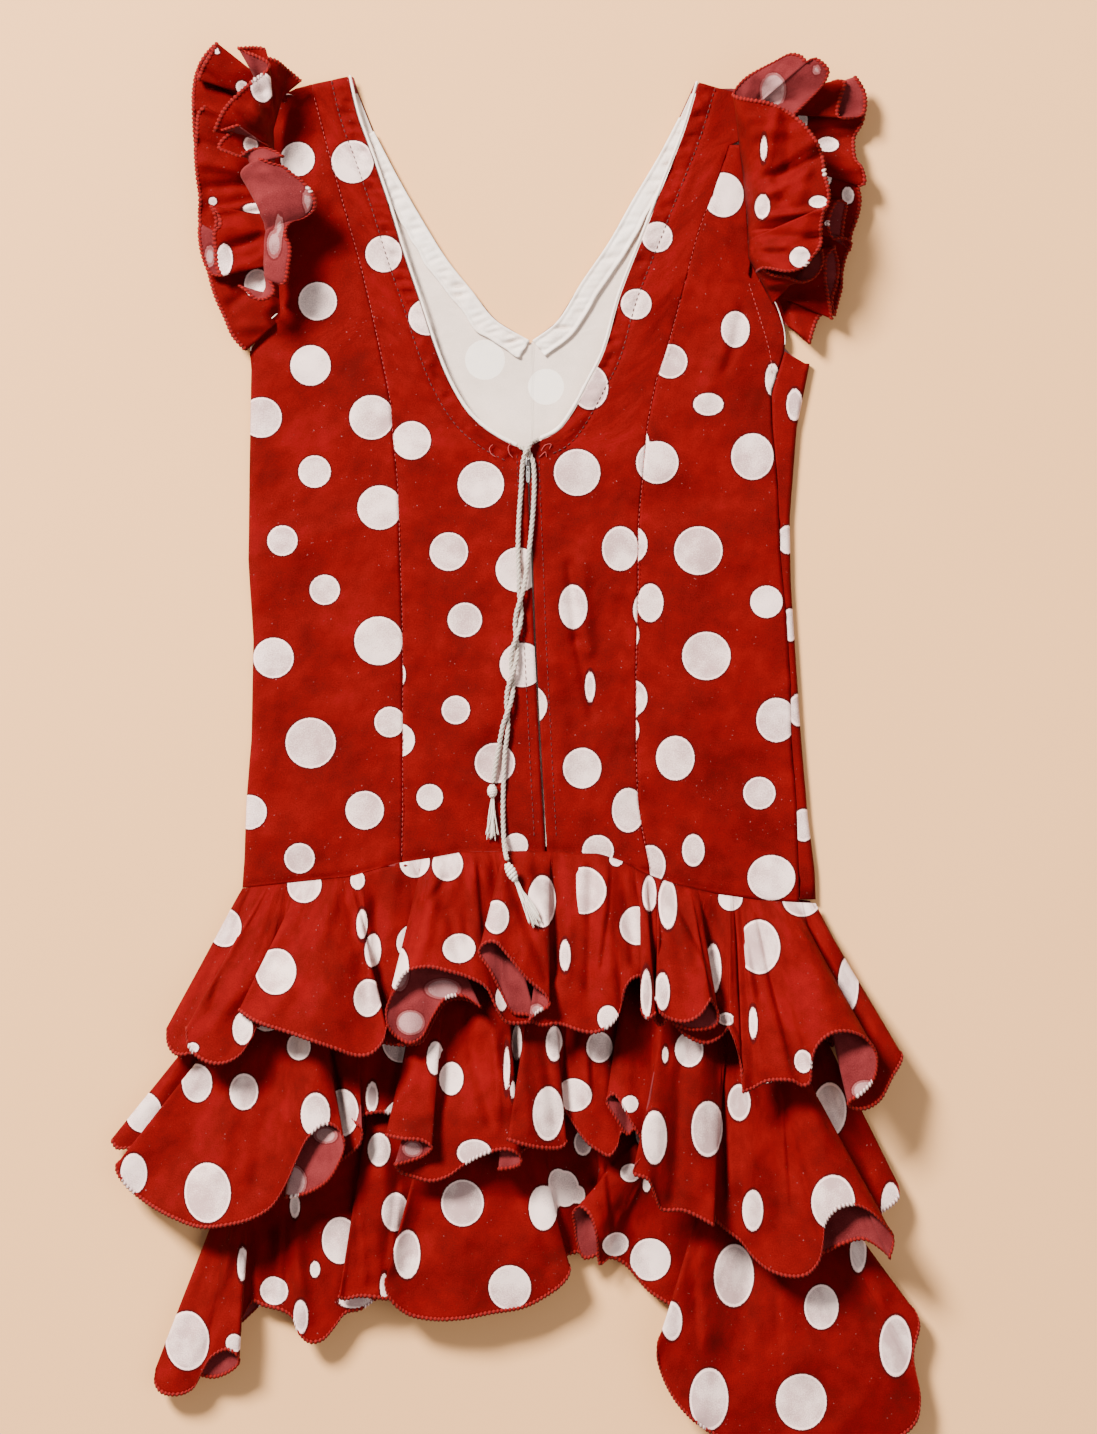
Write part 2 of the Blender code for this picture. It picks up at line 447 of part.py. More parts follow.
class Ground:
    """The height of whatever has been laid down so far."""

    def __init__(self):
        self.high = np.zeros(FIELD_SIZE)
        self.eased = self.high

    def cells(self, x, y):
        return (x - FIELD_LOW[0]) / CELL, (y - FIELD_LOW[1]) / CELL

    def lay(self, grid):
        """Raises the ground to the top of this piece of cloth."""
        p = finer(grid, 5).reshape(-1, 3)
        i, j = self.cells(p[:, 0], p[:, 1])
        i = np.clip(np.round(i).astype(int), 0, FIELD_SIZE[0] - 1)
        j = np.clip(np.round(j).astype(int), 0, FIELD_SIZE[1] - 1)
        np.maximum.at(self.high, (i, j), p[:, 2] + WALL / 2)
        self.eased = self.bridged(self.high)

    @staticmethod
    def bridged(high):
        """Widened by REACH_CELLS, then brought down at SLOPE, as cloth bridges over what it covers."""
        for step in range(REACH_CELLS + 22):
            drop = 0.0 if step < REACH_CELLS else SLOPE * CELL
            wide = np.pad(high, 1, mode="edge")
            best = high
            for di in (-1, 0, 1):
                for dj in (-1, 0, 1):
                    part = wide[1 + di : wide.shape[0] - 1 + di, 1 + dj : wide.shape[1] - 1 + dj]
                    best = np.maximum(best, part - drop * math.hypot(di, dj))
            high = best
        return high

    def at(self, x, y):
        i, j = self.cells(x, y)
        i = np.clip(i, 0, FIELD_SIZE[0] - 1.001)
        j = np.clip(j, 0, FIELD_SIZE[1] - 1.001)
        a, b = i.astype(int), j.astype(int)
        u, v = i - a, j - b
        h = self.eased
        low = h[a, b] * (1 - u) + h[a + 1, b] * u
        far = h[a, b + 1] * (1 - u) + h[a + 1, b + 1] * u
        return low * (1 - v) + far * v

    def near(self, x, y):
        """The highest cloth within a cell of here, with no bridging."""
        i, j = self.cells(x, y)
        a, b = int(i), int(j)
        return float(self.high[a : a + 2, b : b + 2].max())


def back_height(x):
    """The middle of the back bodice's wall: it lies highest along the centre back."""
    return BACK_Z + BACK_LOFT * np.clip(1 - (x / BODICE_HALF) ** 2, 0, 1)


def rounded(table):
    """The same rows, with each sharp turn of the hem opened into two rows, one above the other."""
    rows = [table[0]]
    for before, row, after in zip(table, table[1:], table[2:]):
        seam, x, y, lift = row
        back = Vector((x - before[1], y - before[2]))
        ahead = Vector((after[1] - x, after[2] - y))
        if back.angle(ahead) < SHARP_TURN:
            rows.append(row)
            continue
        for side in (-0.5, 0.5):
            at = None if seam is None else seam + side
            rows.append((at, x, y, lift + math.copysign(TURN_RISE, after[3] - before[3]) * side))
    return [*rows, table[-1]]


def ruffle(table, seam, axis, across, ground, rise, steps=1):
    """The middle of a ruffle's wall: straight fold lines from the seam to a hem that waves."""
    table = rounded(table)
    hem = smooth([row[1:] for row in table], steps)
    walked = np.concatenate([[0], np.cumsum(np.linalg.norm(np.diff(hem, axis=0), axis=1))])
    known = [i for i, row in enumerate(table) if row[0] is not None]
    at = np.interp(walked, walked[[i * steps for i in known]], [table[i][0] for i in known])
    other = line(seam, at)
    start = np.stack([at, other] if axis == 0 else [other, at], axis=1)
    t = np.linspace(0, 1, across + 1)[None, :]
    x = start[:, :1] + (hem[:, :1] - start[:, :1]) * t
    y = start[:, 1:2] + (hem[:, 1:2] - start[:, 1:2]) * t
    lift = hem[:, 2:] * t**LIFT_POWER
    rest = ground(x, y, t)
    z = rest + WALL / 2 + lift + rise(start[:, :1]) * (1 - t) ** 2
    return spread(np.stack([x, y, z], axis=2), hem[:, 2], walked)


def cloth(name, grids, look, parts, wall=WALL):
    """One wall of cloth from one grid, or from grids that share edges."""
    mesh = bmesh.new()
    for grid in grids:
        n, m = grid.shape[:2]
        made = [
            [mesh.verts.new(((p[0] + CENTRE[0]) * MM, (p[1] + CENTRE[1]) * MM, p[2] * MM)) for p in row]
            for row in grid
        ]
        for i in range(n - 1):
            for j in range(m - 1):
                corner = made[i][j], made[i + 1][j], made[i + 1][j + 1], made[i][j + 1]
                mesh.faces.new(corner)
    bmesh.ops.remove_doubles(mesh, verts=mesh.verts, dist=0.05 * MM)
    if sum(face.normal.z for face in mesh.faces) < 0:
        bmesh.ops.reverse_faces(mesh, faces=mesh.faces)
    data = bpy.data.meshes.new(name)
    mesh.to_mesh(data)
    mesh.free()
    data.shade_smooth()
    piece = bpy.data.objects.new(name, data)
    parts.objects.link(piece)
    data.materials.append(look)
    shell = piece.modifiers.new("wall", "SOLIDIFY")
    shell.thickness = wall * MM
    shell.offset = 0.0
    return piece


def tube(name, points, radius, look, parts, sides_level=2):
    """A round cord along the points."""
    data = bpy.data.curves.new(name, "CURVE")
    data.dimensions = "3D"
    spline = data.splines.new("POLY")
    spline.points.add(len(points) - 1)
    for target, p in zip(spline.points, points):
        target.co = ((p[0] + CENTRE[0]) * MM, (p[1] + CENTRE[1]) * MM, p[2] * MM, 1.0)
    data.bevel_depth = radius * MM
    data.bevel_resolution = sides_level
    data.use_fill_caps = True
    piece = bpy.data.objects.new(name, data)
    parts.objects.link(piece)
    data.materials.append(look)
    return piece


def block(name, size, at, look, parts, bevel):
    """A small hard piece with rounded edges; `at` is its middle."""
    bpy.ops.mesh.primitive_cube_add(size=1.0)
    piece = bpy.context.object
    piece.name = name
    piece.scale = [s * MM for s in size]
    piece.location = ((at[0] + CENTRE[0]) * MM, (at[1] + CENTRE[1]) * MM, at[2] * MM)
    bpy.ops.object.transform_apply(location=False, rotation=False, scale=True)
    for old in list(piece.users_collection):
        old.objects.unlink(piece)
    parts.objects.link(piece)
    piece.data.materials.append(look)
    edge = piece.modifiers.new("edges", "BEVEL")
    edge.width = bevel * MM
    edge.segments = 2
    return piece


def spaced(points, step):
    """The same curve with even steps."""
    p = np.asarray(points, float)
    walked = np.concatenate([[0], np.cumsum(np.linalg.norm(np.diff(p, axis=0), axis=1))])
    count = max(2, int(round(walked[-1] / step)) + 1)
    at = np.linspace(0, walked[-1], count)
    return np.stack([np.interp(at, walked, p[:, k]) for k in range(3)], axis=1)


def build_skirt(red, parts):
    """From the floor up: front flounces, skirt base, back flounces. Returns the ground on top."""
    ground = Ground()

    def on_ground(x, y, _):
        return ground.at(x, y) + np.where(ground.at(x, y) > 0.01, LAY_GAP, 0.0)

    def on_front(x, y, _):
        return ground.at(x, y) + np.where(ground.at(x, y) > 0.01, FRONT_GAP, 0.0)

    def none(x):
        return 0.0 * x

    for name, hem_line, seam, ends, arches in FRONTS:
        count = 2 * arches + 1
        hem_x = np.linspace(hem_line[0][0], hem_line[-1][0], count)
        rows = [
            (None, x, float(line(hem_line, x)), FRONT_WAVE * (i % 2)) for i, x in enumerate(hem_x)
        ]
        rows[0] = (ends[0], *rows[0][1:])
        rows[-1] = (ends[1], *rows[-1][1:])
        moved = -HIP_GAP if seam is FRONT_HIP else FRONT_UNDER
        seam = tuple((x, y + moved) for x, y in seam)
        grid = ruffle(rows, seam, 0, 3, on_front, none, FRONT_STEPS)
        cloth(name, [grid], red, parts)
        ground.lay(grid)

    for name, gap in (("skirt_base_front", BASE_GAP), ("skirt_base_back", LAY_GAP)):
        u = np.linspace(0, 1, 25)[:, None]
        v = np.linspace(0, 1, 6)[None, :]
        x = (BASE_LEFT[0] * (1 - u) + BASE_RIGHT[0] * u) * (1 - v)
        x = x + (BASE_LEFT[1] * (1 - u) + BASE_RIGHT[1] * u) * v
        y = (line(HIP_SEAM, x) - BASE_BELOW_HIP) * (1 - v) + line(SEAM_3, x) * v
        grid = np.stack([x, y, ground.at(x, y) + gap + WALL / 2], axis=2)
        cloth(name, [grid], red, parts)
        ground.lay(grid)

    def bodice_rise(x):
        return np.maximum(back_height(x) - ground.at(x, line(HIP_SEAM, x)) - LAY_GAP - WALL / 2, 0)

    cloths = (
        ("flounce_3_back", FLOUNCE_3, SEAM_3, none),
        ("flounce_2_back", FLOUNCE_2, SEAM_2, none),
        ("flounce_1_back", FLOUNCE_1, HIP_SEAM, bodice_rise),
    )
    for name, table, seam, rise in cloths:
        if seam is HIP_SEAM:
            seam = tuple((x, y - HIP_GAP) for x, y in HIP_SEAM)
        grid = ruffle(table, seam, 0, RUFFLE_STEPS, on_ground, rise)
        cloth(name, [grid], red, parts)
        ground.lay(grid)
    return ground


def bodice_height(x, y, left_edge=None):
    """The back bodice's height, with the curl down to its left side seam."""
    z = back_height(x)
    if left_edge is None:
        return z
    inside = np.clip((x - line(left_edge, y)) / CURL, 0, 1)
    low, high = CURL_TOP
    share = np.clip((high - y) / (high - low), 0, 1)
    drop = 1 - np.sqrt(1 - (1 - inside) ** 2)
    return z - (z - EDGE_Z) * drop * share


def zip_edge(side):
    """The panel's edge along the zip: y, x."""
    levels = sorted({y for y, _ in ZIP_LINE} | {y for y, _ in ZIP_HALF_GAP})
    return tuple((y, line(ZIP_LINE, y) + side * line(ZIP_HALF_GAP, y)) for y in levels)


def join_lines(below, above, at):
    """One outline from two tables: the first up to y = at, the second from there on."""
    return tuple(row for row in below if row[0] < at) + tuple(row for row in above if row[0] >= at)


def build_back(red, parts, ground):
    """Four back panels in princess cut, with a zip up the middle and a U neck."""
    neck_left = moved_line(smooth(NECK_LEFT, 3), PIPING_SPACE)
    neck_right = moved_line(smooth(NECK_RIGHT, 3), -PIPING_SPACE)
    half = SEAM_GAP / 2

    def shifted(table, dx):
        return tuple((y, x + dx) for y, x in table)

    levels = (-10, 8, 45, 80, 115, 150, 183, 187, 197, 200.5, 203.5, 207, 213, 221, 235, 250, 262, 275,
              300, 330, 352, 355, 370, 382)
    pieces = (
        ("back_side_left", LEFT_SILHOUETTE, shifted(LEFT_PRINCESS, -half), SHOULDER_LEFT,
         (0, 0.012, 0.035, 0.085, 0.35, 0.7, 1)),
        ("back_centre_left", shifted(LEFT_PRINCESS, half), join_lines(zip_edge(-1), neck_left, 200.2),
         SHOULDER_LEFT, (0, 0.25, 0.5, 0.75, 1)),
        ("back_centre_right", join_lines(zip_edge(1), neck_right, 203), shifted(RIGHT_PRINCESS, -half),
         SHOULDER_RIGHT, (0, 0.25, 0.5, 0.75, 1)),
        ("back_side_right", shifted(RIGHT_PRINCESS, half), shifted(RIGHT_SIDE_SEAM, -half),
         None, (0, 0.25, 0.5, 0.75, 1)),
    )
    for name, left, right, top, columns in pieces:
        edge = LEFT_SILHOUETTE if name == "back_side_left" else None
        used = levels if top else [y for y in levels if y <= STRAP_POINT]
        grid = panel(left, right, used, columns, HIP_SEAM, top)
        grid[..., 2] = bodice_height(grid[..., 0], grid[..., 1], edge)
        cloth(name, [grid], red, parts)
        ground.lay(grid)


def spread(grid, lifts, walked):
    """Raises the upper of any two layers that lie closer than FOLD_SPACE.

    A layer is a stretch of cloth from one turn to the next. Where two overlap, the one with the
    higher lifts there is the upper all over.
    """
    n, m = grid.shape[:2]
    ids = np.arange(n * m).reshape(n, m)
    a, b, c, d = ids[:-1, :-1], ids[1:, :-1], ids[1:, 1:], ids[:-1, 1:]
    faces = np.stack([np.stack([a, b, c], -1), np.stack([a, c, d], -1)]).reshape(-1, 3)
    corners = [(ids,) * 4, (a, b, a, b), (d, c, d, c), (b, c, b, c), (a, b, c, d)]
    samples = np.concatenate([np.stack(four, -1).reshape(-1, 4) for four in corners])
    flat = grid.reshape(-1, 3).copy()
    t = np.tile(np.linspace(0, 1, m), n)
    along = np.repeat(walked, m) * t
    level = np.repeat(lifts, m)
    p = flat[samples, :2].mean(axis=1)
    q = flat[faces, :2]
    base = q[:, 1] - q[:, 0]
    side = q[:, 2] - q[:, 0]
    area = base[:, 0] * side[:, 1] - base[:, 1] * side[:, 0]
    area = np.where(np.abs(area) < 1e-6, np.inf, area)
    found = []
    for start in range(0, len(p), 256):
        away = p[start : start + 256, None] - q[None, :, 0]
        u = (away[..., 0] * side[:, 1] - away[..., 1] * side[:, 0]) / area
        v = (base[:, 0] * away[..., 1] - base[:, 1] * away[..., 0]) / area
        i, j = np.nonzero((u >= 0) & (v >= 0) & (u + v <= 1))
        found.append(np.stack([i + start, j, 1 - u[i, j] - v[i, j], u[i, j], v[i, j]], 1))
    found = np.concatenate(found)
    who, face, share = found[:, 0].astype(int), found[:, 1].astype(int), found[:, 2:]
    apart = np.abs(along[samples[who]].mean(1) - (along[faces[face]] * share).sum(1))
    needed = FOLD_SPACE * np.clip((apart - 3.0) / 4.0, 0, 1)
    hem_turn = np.cross(grid[1:, -1, :2] - grid[:-1, -1, :2], grid[:-1, -1, :2] - grid[:-1, 0, :2])
    layer = np.concatenate([[0], np.cumsum(np.diff(np.sign(hem_turn)) != 0)])
    span = np.minimum(samples[who].mean(1) // m, n - 2).astype(int), faces[face].min(1) // m
    pair = layer[span[0]], layer[span[1]]
    votes = np.zeros((layer[-1] + 1, layer[-1] + 1))
    above = level[samples[who]].mean(1) - (level[faces[face]] * share).sum(1)
    np.add.at(votes, pair, above * (needed > 0))
    higher = np.sign((votes - votes.T)[pair])
    free = t > 0
    start = flat[:, 2].copy()
    for _ in range(SPREAD_PASSES):
        z = flat[:, 2]
        gap = higher * (z[samples[who]].mean(1) - (z[faces[face]] * share).sum(1)) - needed
        short = np.where(gap < 0, -gap, 0) * 0.5
        raised = np.zeros(len(z))
        for k in range(4):
            np.maximum.at(raised, samples[who, k], np.where(higher > 0, short, 0))
        for k in range(3):
            np.maximum.at(raised, faces[face, k], np.where(higher < 0, short, 0))
        flat[:, 2] = np.minimum(z + raised * free, start + MOST_RAISED)
    return flat.reshape(grid.shape)


def panel(left, right, levels, columns, bottom, top):
    """A flat panel between two side lines; the first and last levels follow their own lines."""
    u = np.asarray(columns, float)[:, None]
    y = np.repeat(np.asarray(levels, float)[None, :], len(u), axis=0)
    for _ in range(4):
        x = line(left, y) * (1 - u) + line(right, y) * u
        if bottom is not None:
            y[:, 0] = line(bottom, x[:, 0])
        if top is not None:
            y[:, -1] = line(top, x[:, -1])
    return np.stack([x, y, 0 * x], axis=2)


def build_front(red, lining, parts, ground):
    """The front lies face down; at the right it comes round the side to the seam on the back."""
    levels = (-20, 8, 45, 80, 115, 150, 183, 209, 221, 235, 243, 254, 266, 290, 320, 350, 370, 383)
    centre = tuple((y, V_POINT[1]) for y in (-30, V_POINT[0] - 0.01))
    left_in = centre + tuple(sorted(V_LEFT))
    right_in = centre + tuple(sorted(V_RIGHT))
    right_out = tuple((y, x - WRAP_RADIUS) for y, x in RIGHT_SILHOUETTE if y < 243)
    right_out += ((243, 138.5 - WRAP_RADIUS),) + FRONT_ARMHOLE_RIGHT[1:]
    left_out = tuple((y, x) for y, x in LEFT_SILHOUETTE if y < 240) + FRONT_ARMHOLE_LEFT
    left = panel(left_out, left_in, levels, (0, 0.5, 1), FRONT_HIP, SHOULDER_LEFT)
    right = panel(right_in, right_out, levels, (0, 0.5, 1), FRONT_HIP, SHOULDER_RIGHT)
    left[..., 2] = FRONT_Z
    right[..., 2] = FRONT_Z

    edge = right[-1, :11]
    seam_x = line(RIGHT_SIDE_SEAM, edge[:, 1]) + SEAM_GAP / 2
    turn = [edge]
    rise = back_height(seam_x) - FRONT_Z
    for angle in (-60, -25, 10, 50, 90):
        a = math.radians(angle)
        turned = edge.copy()
        turned[:, 0] += WRAP_RADIUS * math.cos(a)
        turned[:, 2] = FRONT_Z + rise * (1 + math.sin(a)) / 2
        turn.append(turned)
    last = turn[-1].copy()
    last[-1, 1] = STRIP_TOP
    last[:, 0] = line(RIGHT_SIDE_SEAM, last[:, 1]) + SEAM_GAP / 2
    turn.append(last)
    cloth("front_bodice", [left, right, np.stack(turn)], red, parts)
    for grid in (left, right):
        ground.lay(grid)

    levels = (LINING_FOOT, 210, 232, 254, 275, 300, 330, 355, 378)
    inner_left = centre + tuple((y, x - 0.6) for y, x in sorted(V_LEFT))
    inner_right = centre + tuple((y, x + 0.6) for y, x in sorted(V_RIGHT))
    left = panel(LINING_LEFT, inner_left, levels, (0, 0.5, 1), None, None)
    right = panel(inner_right, LINING_RIGHT, levels, (0, 0.5, 1), None, None)
    left[..., 2] = LINING_Z
    right[..., 2] = LINING_Z
    cloth("front_lining", [left, right], lining, parts)

    for name, edge_line, side in (("left", V_LEFT, 1), ("right", V_RIGHT, -1)):
        rows = [p for p in edge_line if p[0] < 383]
        rows[-1] = (V_POINT[0] + 0.5, V_POINT[1] - 0.7 * side)
        outer = moved_line(rows, side * FACING_WIDTH)
        grid = np.array([[(x, y, FACING_Z) for y, x in rows], [(x, y, FACING_Z) for y, x in outer]])
        cloth(f"neck_facing_{name}", [grid], lining, parts)


def build_neck(white, parts):
    """Corded piping round the U neck, in two runs that end at the centre back."""
    for name, table in (("left", NECK_LEFT), ("right", NECK_RIGHT)):
        run = smooth([(x, y, float(back_height(x))) for y, x in table], 2)
        tube(f"neck_piping_{name}", run, PIPING_RADIUS, white, parts)


def cord_height(x, y, ground):
    """The middle of a cord that lies here."""
    return ground.near(x, y) + SEAM_GAP + CORD_RADIUS


def build_cords(white, parts, ground):
    """Two cords out of the piping's ends, twisted together and tied off in tassels."""
    centre = smooth(TWISTED_RUN, 12)
    walked = np.concatenate([[0], np.cumsum(np.linalg.norm(np.diff(centre, axis=0), axis=1))])
    for name, start, end, phase in (
        ("cord_a", CORD_A_START, CORD_A_END, math.pi),
        ("cord_b", CORD_B_START, CORD_B_END, 0.0),
    ):
        run = [(x, y, cord_height(x, y, ground) + h) for x, y, h in start]
        for (x, y), s in zip(centre[::3], walked[::3]):
            a = phase + 2 * math.pi * s / TWIST_PITCH
            high = TWIST_RADIUS * (1 + math.sin(a))
            run.append((x + TWIST_RADIUS * math.cos(a), y, cord_height(x, y, ground) + high))
        run += [(x, y, cord_height(x, y, ground) + h) for x, y, h in end]
        tube(name, spaced(smooth(run, 6), CORD_STEP), CORD_RADIUS, white, parts)

    cutters = collection("tassel_strands")
    cutters.hide_render = True
    for name, x, y, half_width, half_length, aim, count in TASSELS:
        z = ground.near(x, y) + SEAM_GAP + half_width
        bpy.ops.mesh.primitive_uv_sphere_add(segments=8, ring_count=6, radius=1.0)
        knot = bpy.context.object
        knot.name = name
        for old in list(knot.users_collection):
            old.objects.unlink(knot)
        parts.objects.link(knot)
        toward = math.atan2(aim[1] - y, aim[0] - x)
        place = Matrix.Translation(((x + CENTRE[0]) * MM, (y + CENTRE[1]) * MM, z * MM))
        size = Matrix.Diagonal((half_length * MM, half_width * MM, half_width * MM, 1))
        knot.data.transform(place @ Matrix.Rotation(toward, 4, "Z") @ size)
        knot.data.shade_smooth()
        knot.data.materials.append(white)
        length = math.hypot(aim[0] - x, aim[1] - y)
        strands = bmesh.new()
        for i in range(count):
            share = (i + 0.5) / count * 2 - 1
            reach = length * (1 - 0.12 * ((i * 5) % 4) / 3)
            run = []
            for s in (0.06, 0.3, 0.65, 1.0):
                side = TASSEL_SPREAD * share * s**1.3
                px = x + math.cos(toward) * reach * s - math.sin(toward) * side
                py = y + math.sin(toward) * reach * s + math.cos(toward) * side
                layer = STRAND_RADIUS * (1 + 2.6 * (i % 2))
                floor = ground.near(px, py) + SEAM_GAP + layer
                down = min(s / 0.3, 1.0)
                inside = s * reach < half_length / 2
                high = z if inside else max(floor, z * (1 - down) + floor * down)
                run.append(Vector((px, py, high)))
            add_strand(strands, run)
        data = bpy.data.meshes.new(name + "_strands")
        strands.to_mesh(data)
        strands.free()
        cutter = bpy.data.objects.new(name + "_strands", data)
        cutter.display_type = "WIRE"
        cutter.hide_render = True
        cutters.objects.link(cutter)
        union = knot.modifiers.new("strands", "BOOLEAN")
        union.operation = "UNION"
        union.solver = "EXACT"
        union.use_self = True
        union.object = cutter


def add_strand(mesh, run):
    """A four-sided strand through the points."""
    rings = []
    for i, p in enumerate(run):
        ahead = (run[min(i + 1, len(run) - 1)] - run[max(i - 1, 0)]).normalized()
        side = ahead.cross(Vector((0, 0, 1))).normalized() * STRAND_RADIUS
        up = side.cross(ahead).normalized() * STRAND_RADIUS
        ring = []
        for offset in (side, up, -side, -up):
            q = p + offset
            ring.append(mesh.verts.new(((q.x + CENTRE[0]) * MM, (q.y + CENTRE[1]) * MM, q.z * MM)))
        rings.append(ring)
    faces = [mesh.faces.new(rings[0]), mesh.faces.new(list(reversed(rings[-1])))]
    for a, b in zip(rings, rings[1:]):
        for k in range(4):
            faces.append(mesh.faces.new((a[k], b[k], b[(k + 1) % 4], a[(k + 1) % 4])))
    bmesh.ops.recalc_face_normals(mesh, faces=faces)


def build_zip(tape, metal, parts, ground):
    """The zip tape shows through the slit; its slider and pull tab are at the top."""
    y = np.array((2, 40, 80, 120, 160, 199.0))
    middle = line(ZIP_LINE, y)
    grid = np.stack([np.stack([middle + dx, y, 0 * y + FACING_Z], axis=1) for dx in (-TAPE_HALF, TAPE_HALF)])
    cloth("zip_tape", [grid], tape, parts)
    width, length, _ = SLIDER_SIZE
    low = FACING_Z + WALL / 2 + SEAM_GAP
    x, y = SLIDER_AT
    top = float(back_height(0)) + WALL / 2
    block("zip_slider", (width, length, top - low), (x, y + 1.0, (top + low) / 2), metal, parts, 0.4)
    tab_z = top + SEAM_GAP + TAB_SIZE[2] / 2
    block("zip_pull", TAB_SIZE, (x, TAB_HINGE_Y - TAB_SIZE[1] / 2, tab_z), metal, parts, 0.25)


def build_frills(red, parts, ground, names):
    """Sleeve frills: fold lines run out from the armhole."""
    def on_ground(x, y, _):
        return ground.at(x, y) + LAY_GAP

    def none(x):
        return 0.0 * x

    for name, table, armhole, out in names:
        grid = ruffle(table, tuple((y, x + out) for y, x in armhole), 1, FRILL_STEPS, on_ground, none)
        cloth(name, [grid], red, parts)
        ground.lay(grid)


def main():
    clear_scene()
    parts = collection("flamenco_dress")
    red = material("red_cotton", RED, 0.85)
    lining = material("white_lining", WHITE, 0.9)
    white = material("white_cord", WHITE, 0.8)
    tape = material("zip_tape", (0.30, 0.22, 0.25), 0.8)
    metal = material("zip_metal", METAL, 0.35, 1.0)
    skirt = build_skirt(red, parts)
    top = Ground()
    build_front(red, lining, parts, top)
    lower = (
        ("frill_left_lower", LEFT_LOWER, LEFT_ARMHOLE, -0.8),
        ("frill_right_lower", RIGHT_LOWER, RIGHT_ARMHOLE, -2.5),
    )
    build_frills(red, parts, top, lower)
    build_back(red, parts, top)
    upper = (
        ("frill_left_upper", LEFT_UPPER, LEFT_ARMHOLE, 1.5),
        ("frill_right_upper", RIGHT_UPPER, RIGHT_ARMHOLE, -3.5),
    )
    build_frills(red, parts, top, upper)
    build_neck(white, parts)
    top.high = np.maximum(top.high, skirt.high)
    build_cords(white, parts, top)
    build_zip(tape, metal, parts, top)


main()
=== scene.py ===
import math

import bpy
import numpy as np
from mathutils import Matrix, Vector
from mathutils.bvhtree import BVHTree


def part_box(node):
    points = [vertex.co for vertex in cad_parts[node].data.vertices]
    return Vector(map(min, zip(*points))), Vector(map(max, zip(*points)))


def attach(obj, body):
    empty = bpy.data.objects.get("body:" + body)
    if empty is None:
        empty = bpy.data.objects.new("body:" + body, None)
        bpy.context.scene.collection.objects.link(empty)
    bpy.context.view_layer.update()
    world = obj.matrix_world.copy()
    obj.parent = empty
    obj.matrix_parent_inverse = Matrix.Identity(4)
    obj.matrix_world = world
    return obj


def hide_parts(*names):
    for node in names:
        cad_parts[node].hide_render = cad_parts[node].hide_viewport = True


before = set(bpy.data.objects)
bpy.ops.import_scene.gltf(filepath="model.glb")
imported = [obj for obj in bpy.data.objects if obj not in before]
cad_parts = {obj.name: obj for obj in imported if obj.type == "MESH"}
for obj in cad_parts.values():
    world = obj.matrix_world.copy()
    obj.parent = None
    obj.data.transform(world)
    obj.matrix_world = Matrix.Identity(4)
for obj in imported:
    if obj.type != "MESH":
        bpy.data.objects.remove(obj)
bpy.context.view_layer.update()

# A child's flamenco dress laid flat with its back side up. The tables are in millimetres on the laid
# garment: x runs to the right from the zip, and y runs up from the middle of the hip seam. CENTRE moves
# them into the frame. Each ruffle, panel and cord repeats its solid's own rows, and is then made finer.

MM = 0.001
CENTRE = (8.3, -51.5)  # added to the tables' x and y

# Driving sizes, in millimetres.
WALL = 1.0  # cloth with its seam allowances
SEAM_GAP = 0.3  # between two sewn edges
SEAM_SHOWN = 0.12  # and between the edges of the cloth that shows
HIP_GAP = 0.9  # where the flounces are sewn on
LAY_GAP = 0.4  # between a piece and what it lies on
BACK_Z = 4.7  # middle of the back bodice's wall at its side seams
BACK_LOFT = 1.8  # how much higher it lies along the centre back
BODICE_HALF = 140.0
PIPING_SHOWN = (0.68, 1.05)  # at the shoulders and at the foot of the U
CORD_RADIUS = 1.25
TWIST_RADIUS = 1.5  # from the middle of the twisted pair to each cord
TWIST_PITCH = 37.5
LIFT_POWER = 0.5  # how fast a ruffle's folds open from its seam
FOLD_SPACE = 1.45  # least distance between the middles of two layers of a fold
SPREAD_PASSES = 12
MOST_RAISED = 3.0
SHARP_TURN = math.radians(100)
TURN_RISE = 2.0  # from the lower layer to the upper one where a hem turns back
CURL = 6.0  # how far in from the side the back bodice starts to come down
CURL_TOP = (250.0, 262.0)  # it ends at the armhole
EDGE_Z = 1.8  # middle of the wall where it meets the front at the side
FRONT_Z = 0.5
LINING_Z = 1.8
FACING_Z = 3.1
WRAP_RADIUS = 2.2  # of the front where it comes round the right side
FACING_WIDTH = 10.05
PIPING_SPACE = 1.15  # from the middle of the piping to the panels' edges

# The heights that a ruffle lies on are kept on a square mesh.
CELL = 4.0
FIELD_LOW = (-240.0, -330.0)
FIELD_SIZE = (116, 190)
REACH_CELLS = 2  # cloth bridges this far round whatever it lies on
SLOPE = 0.4  # and then comes down no steeper than this

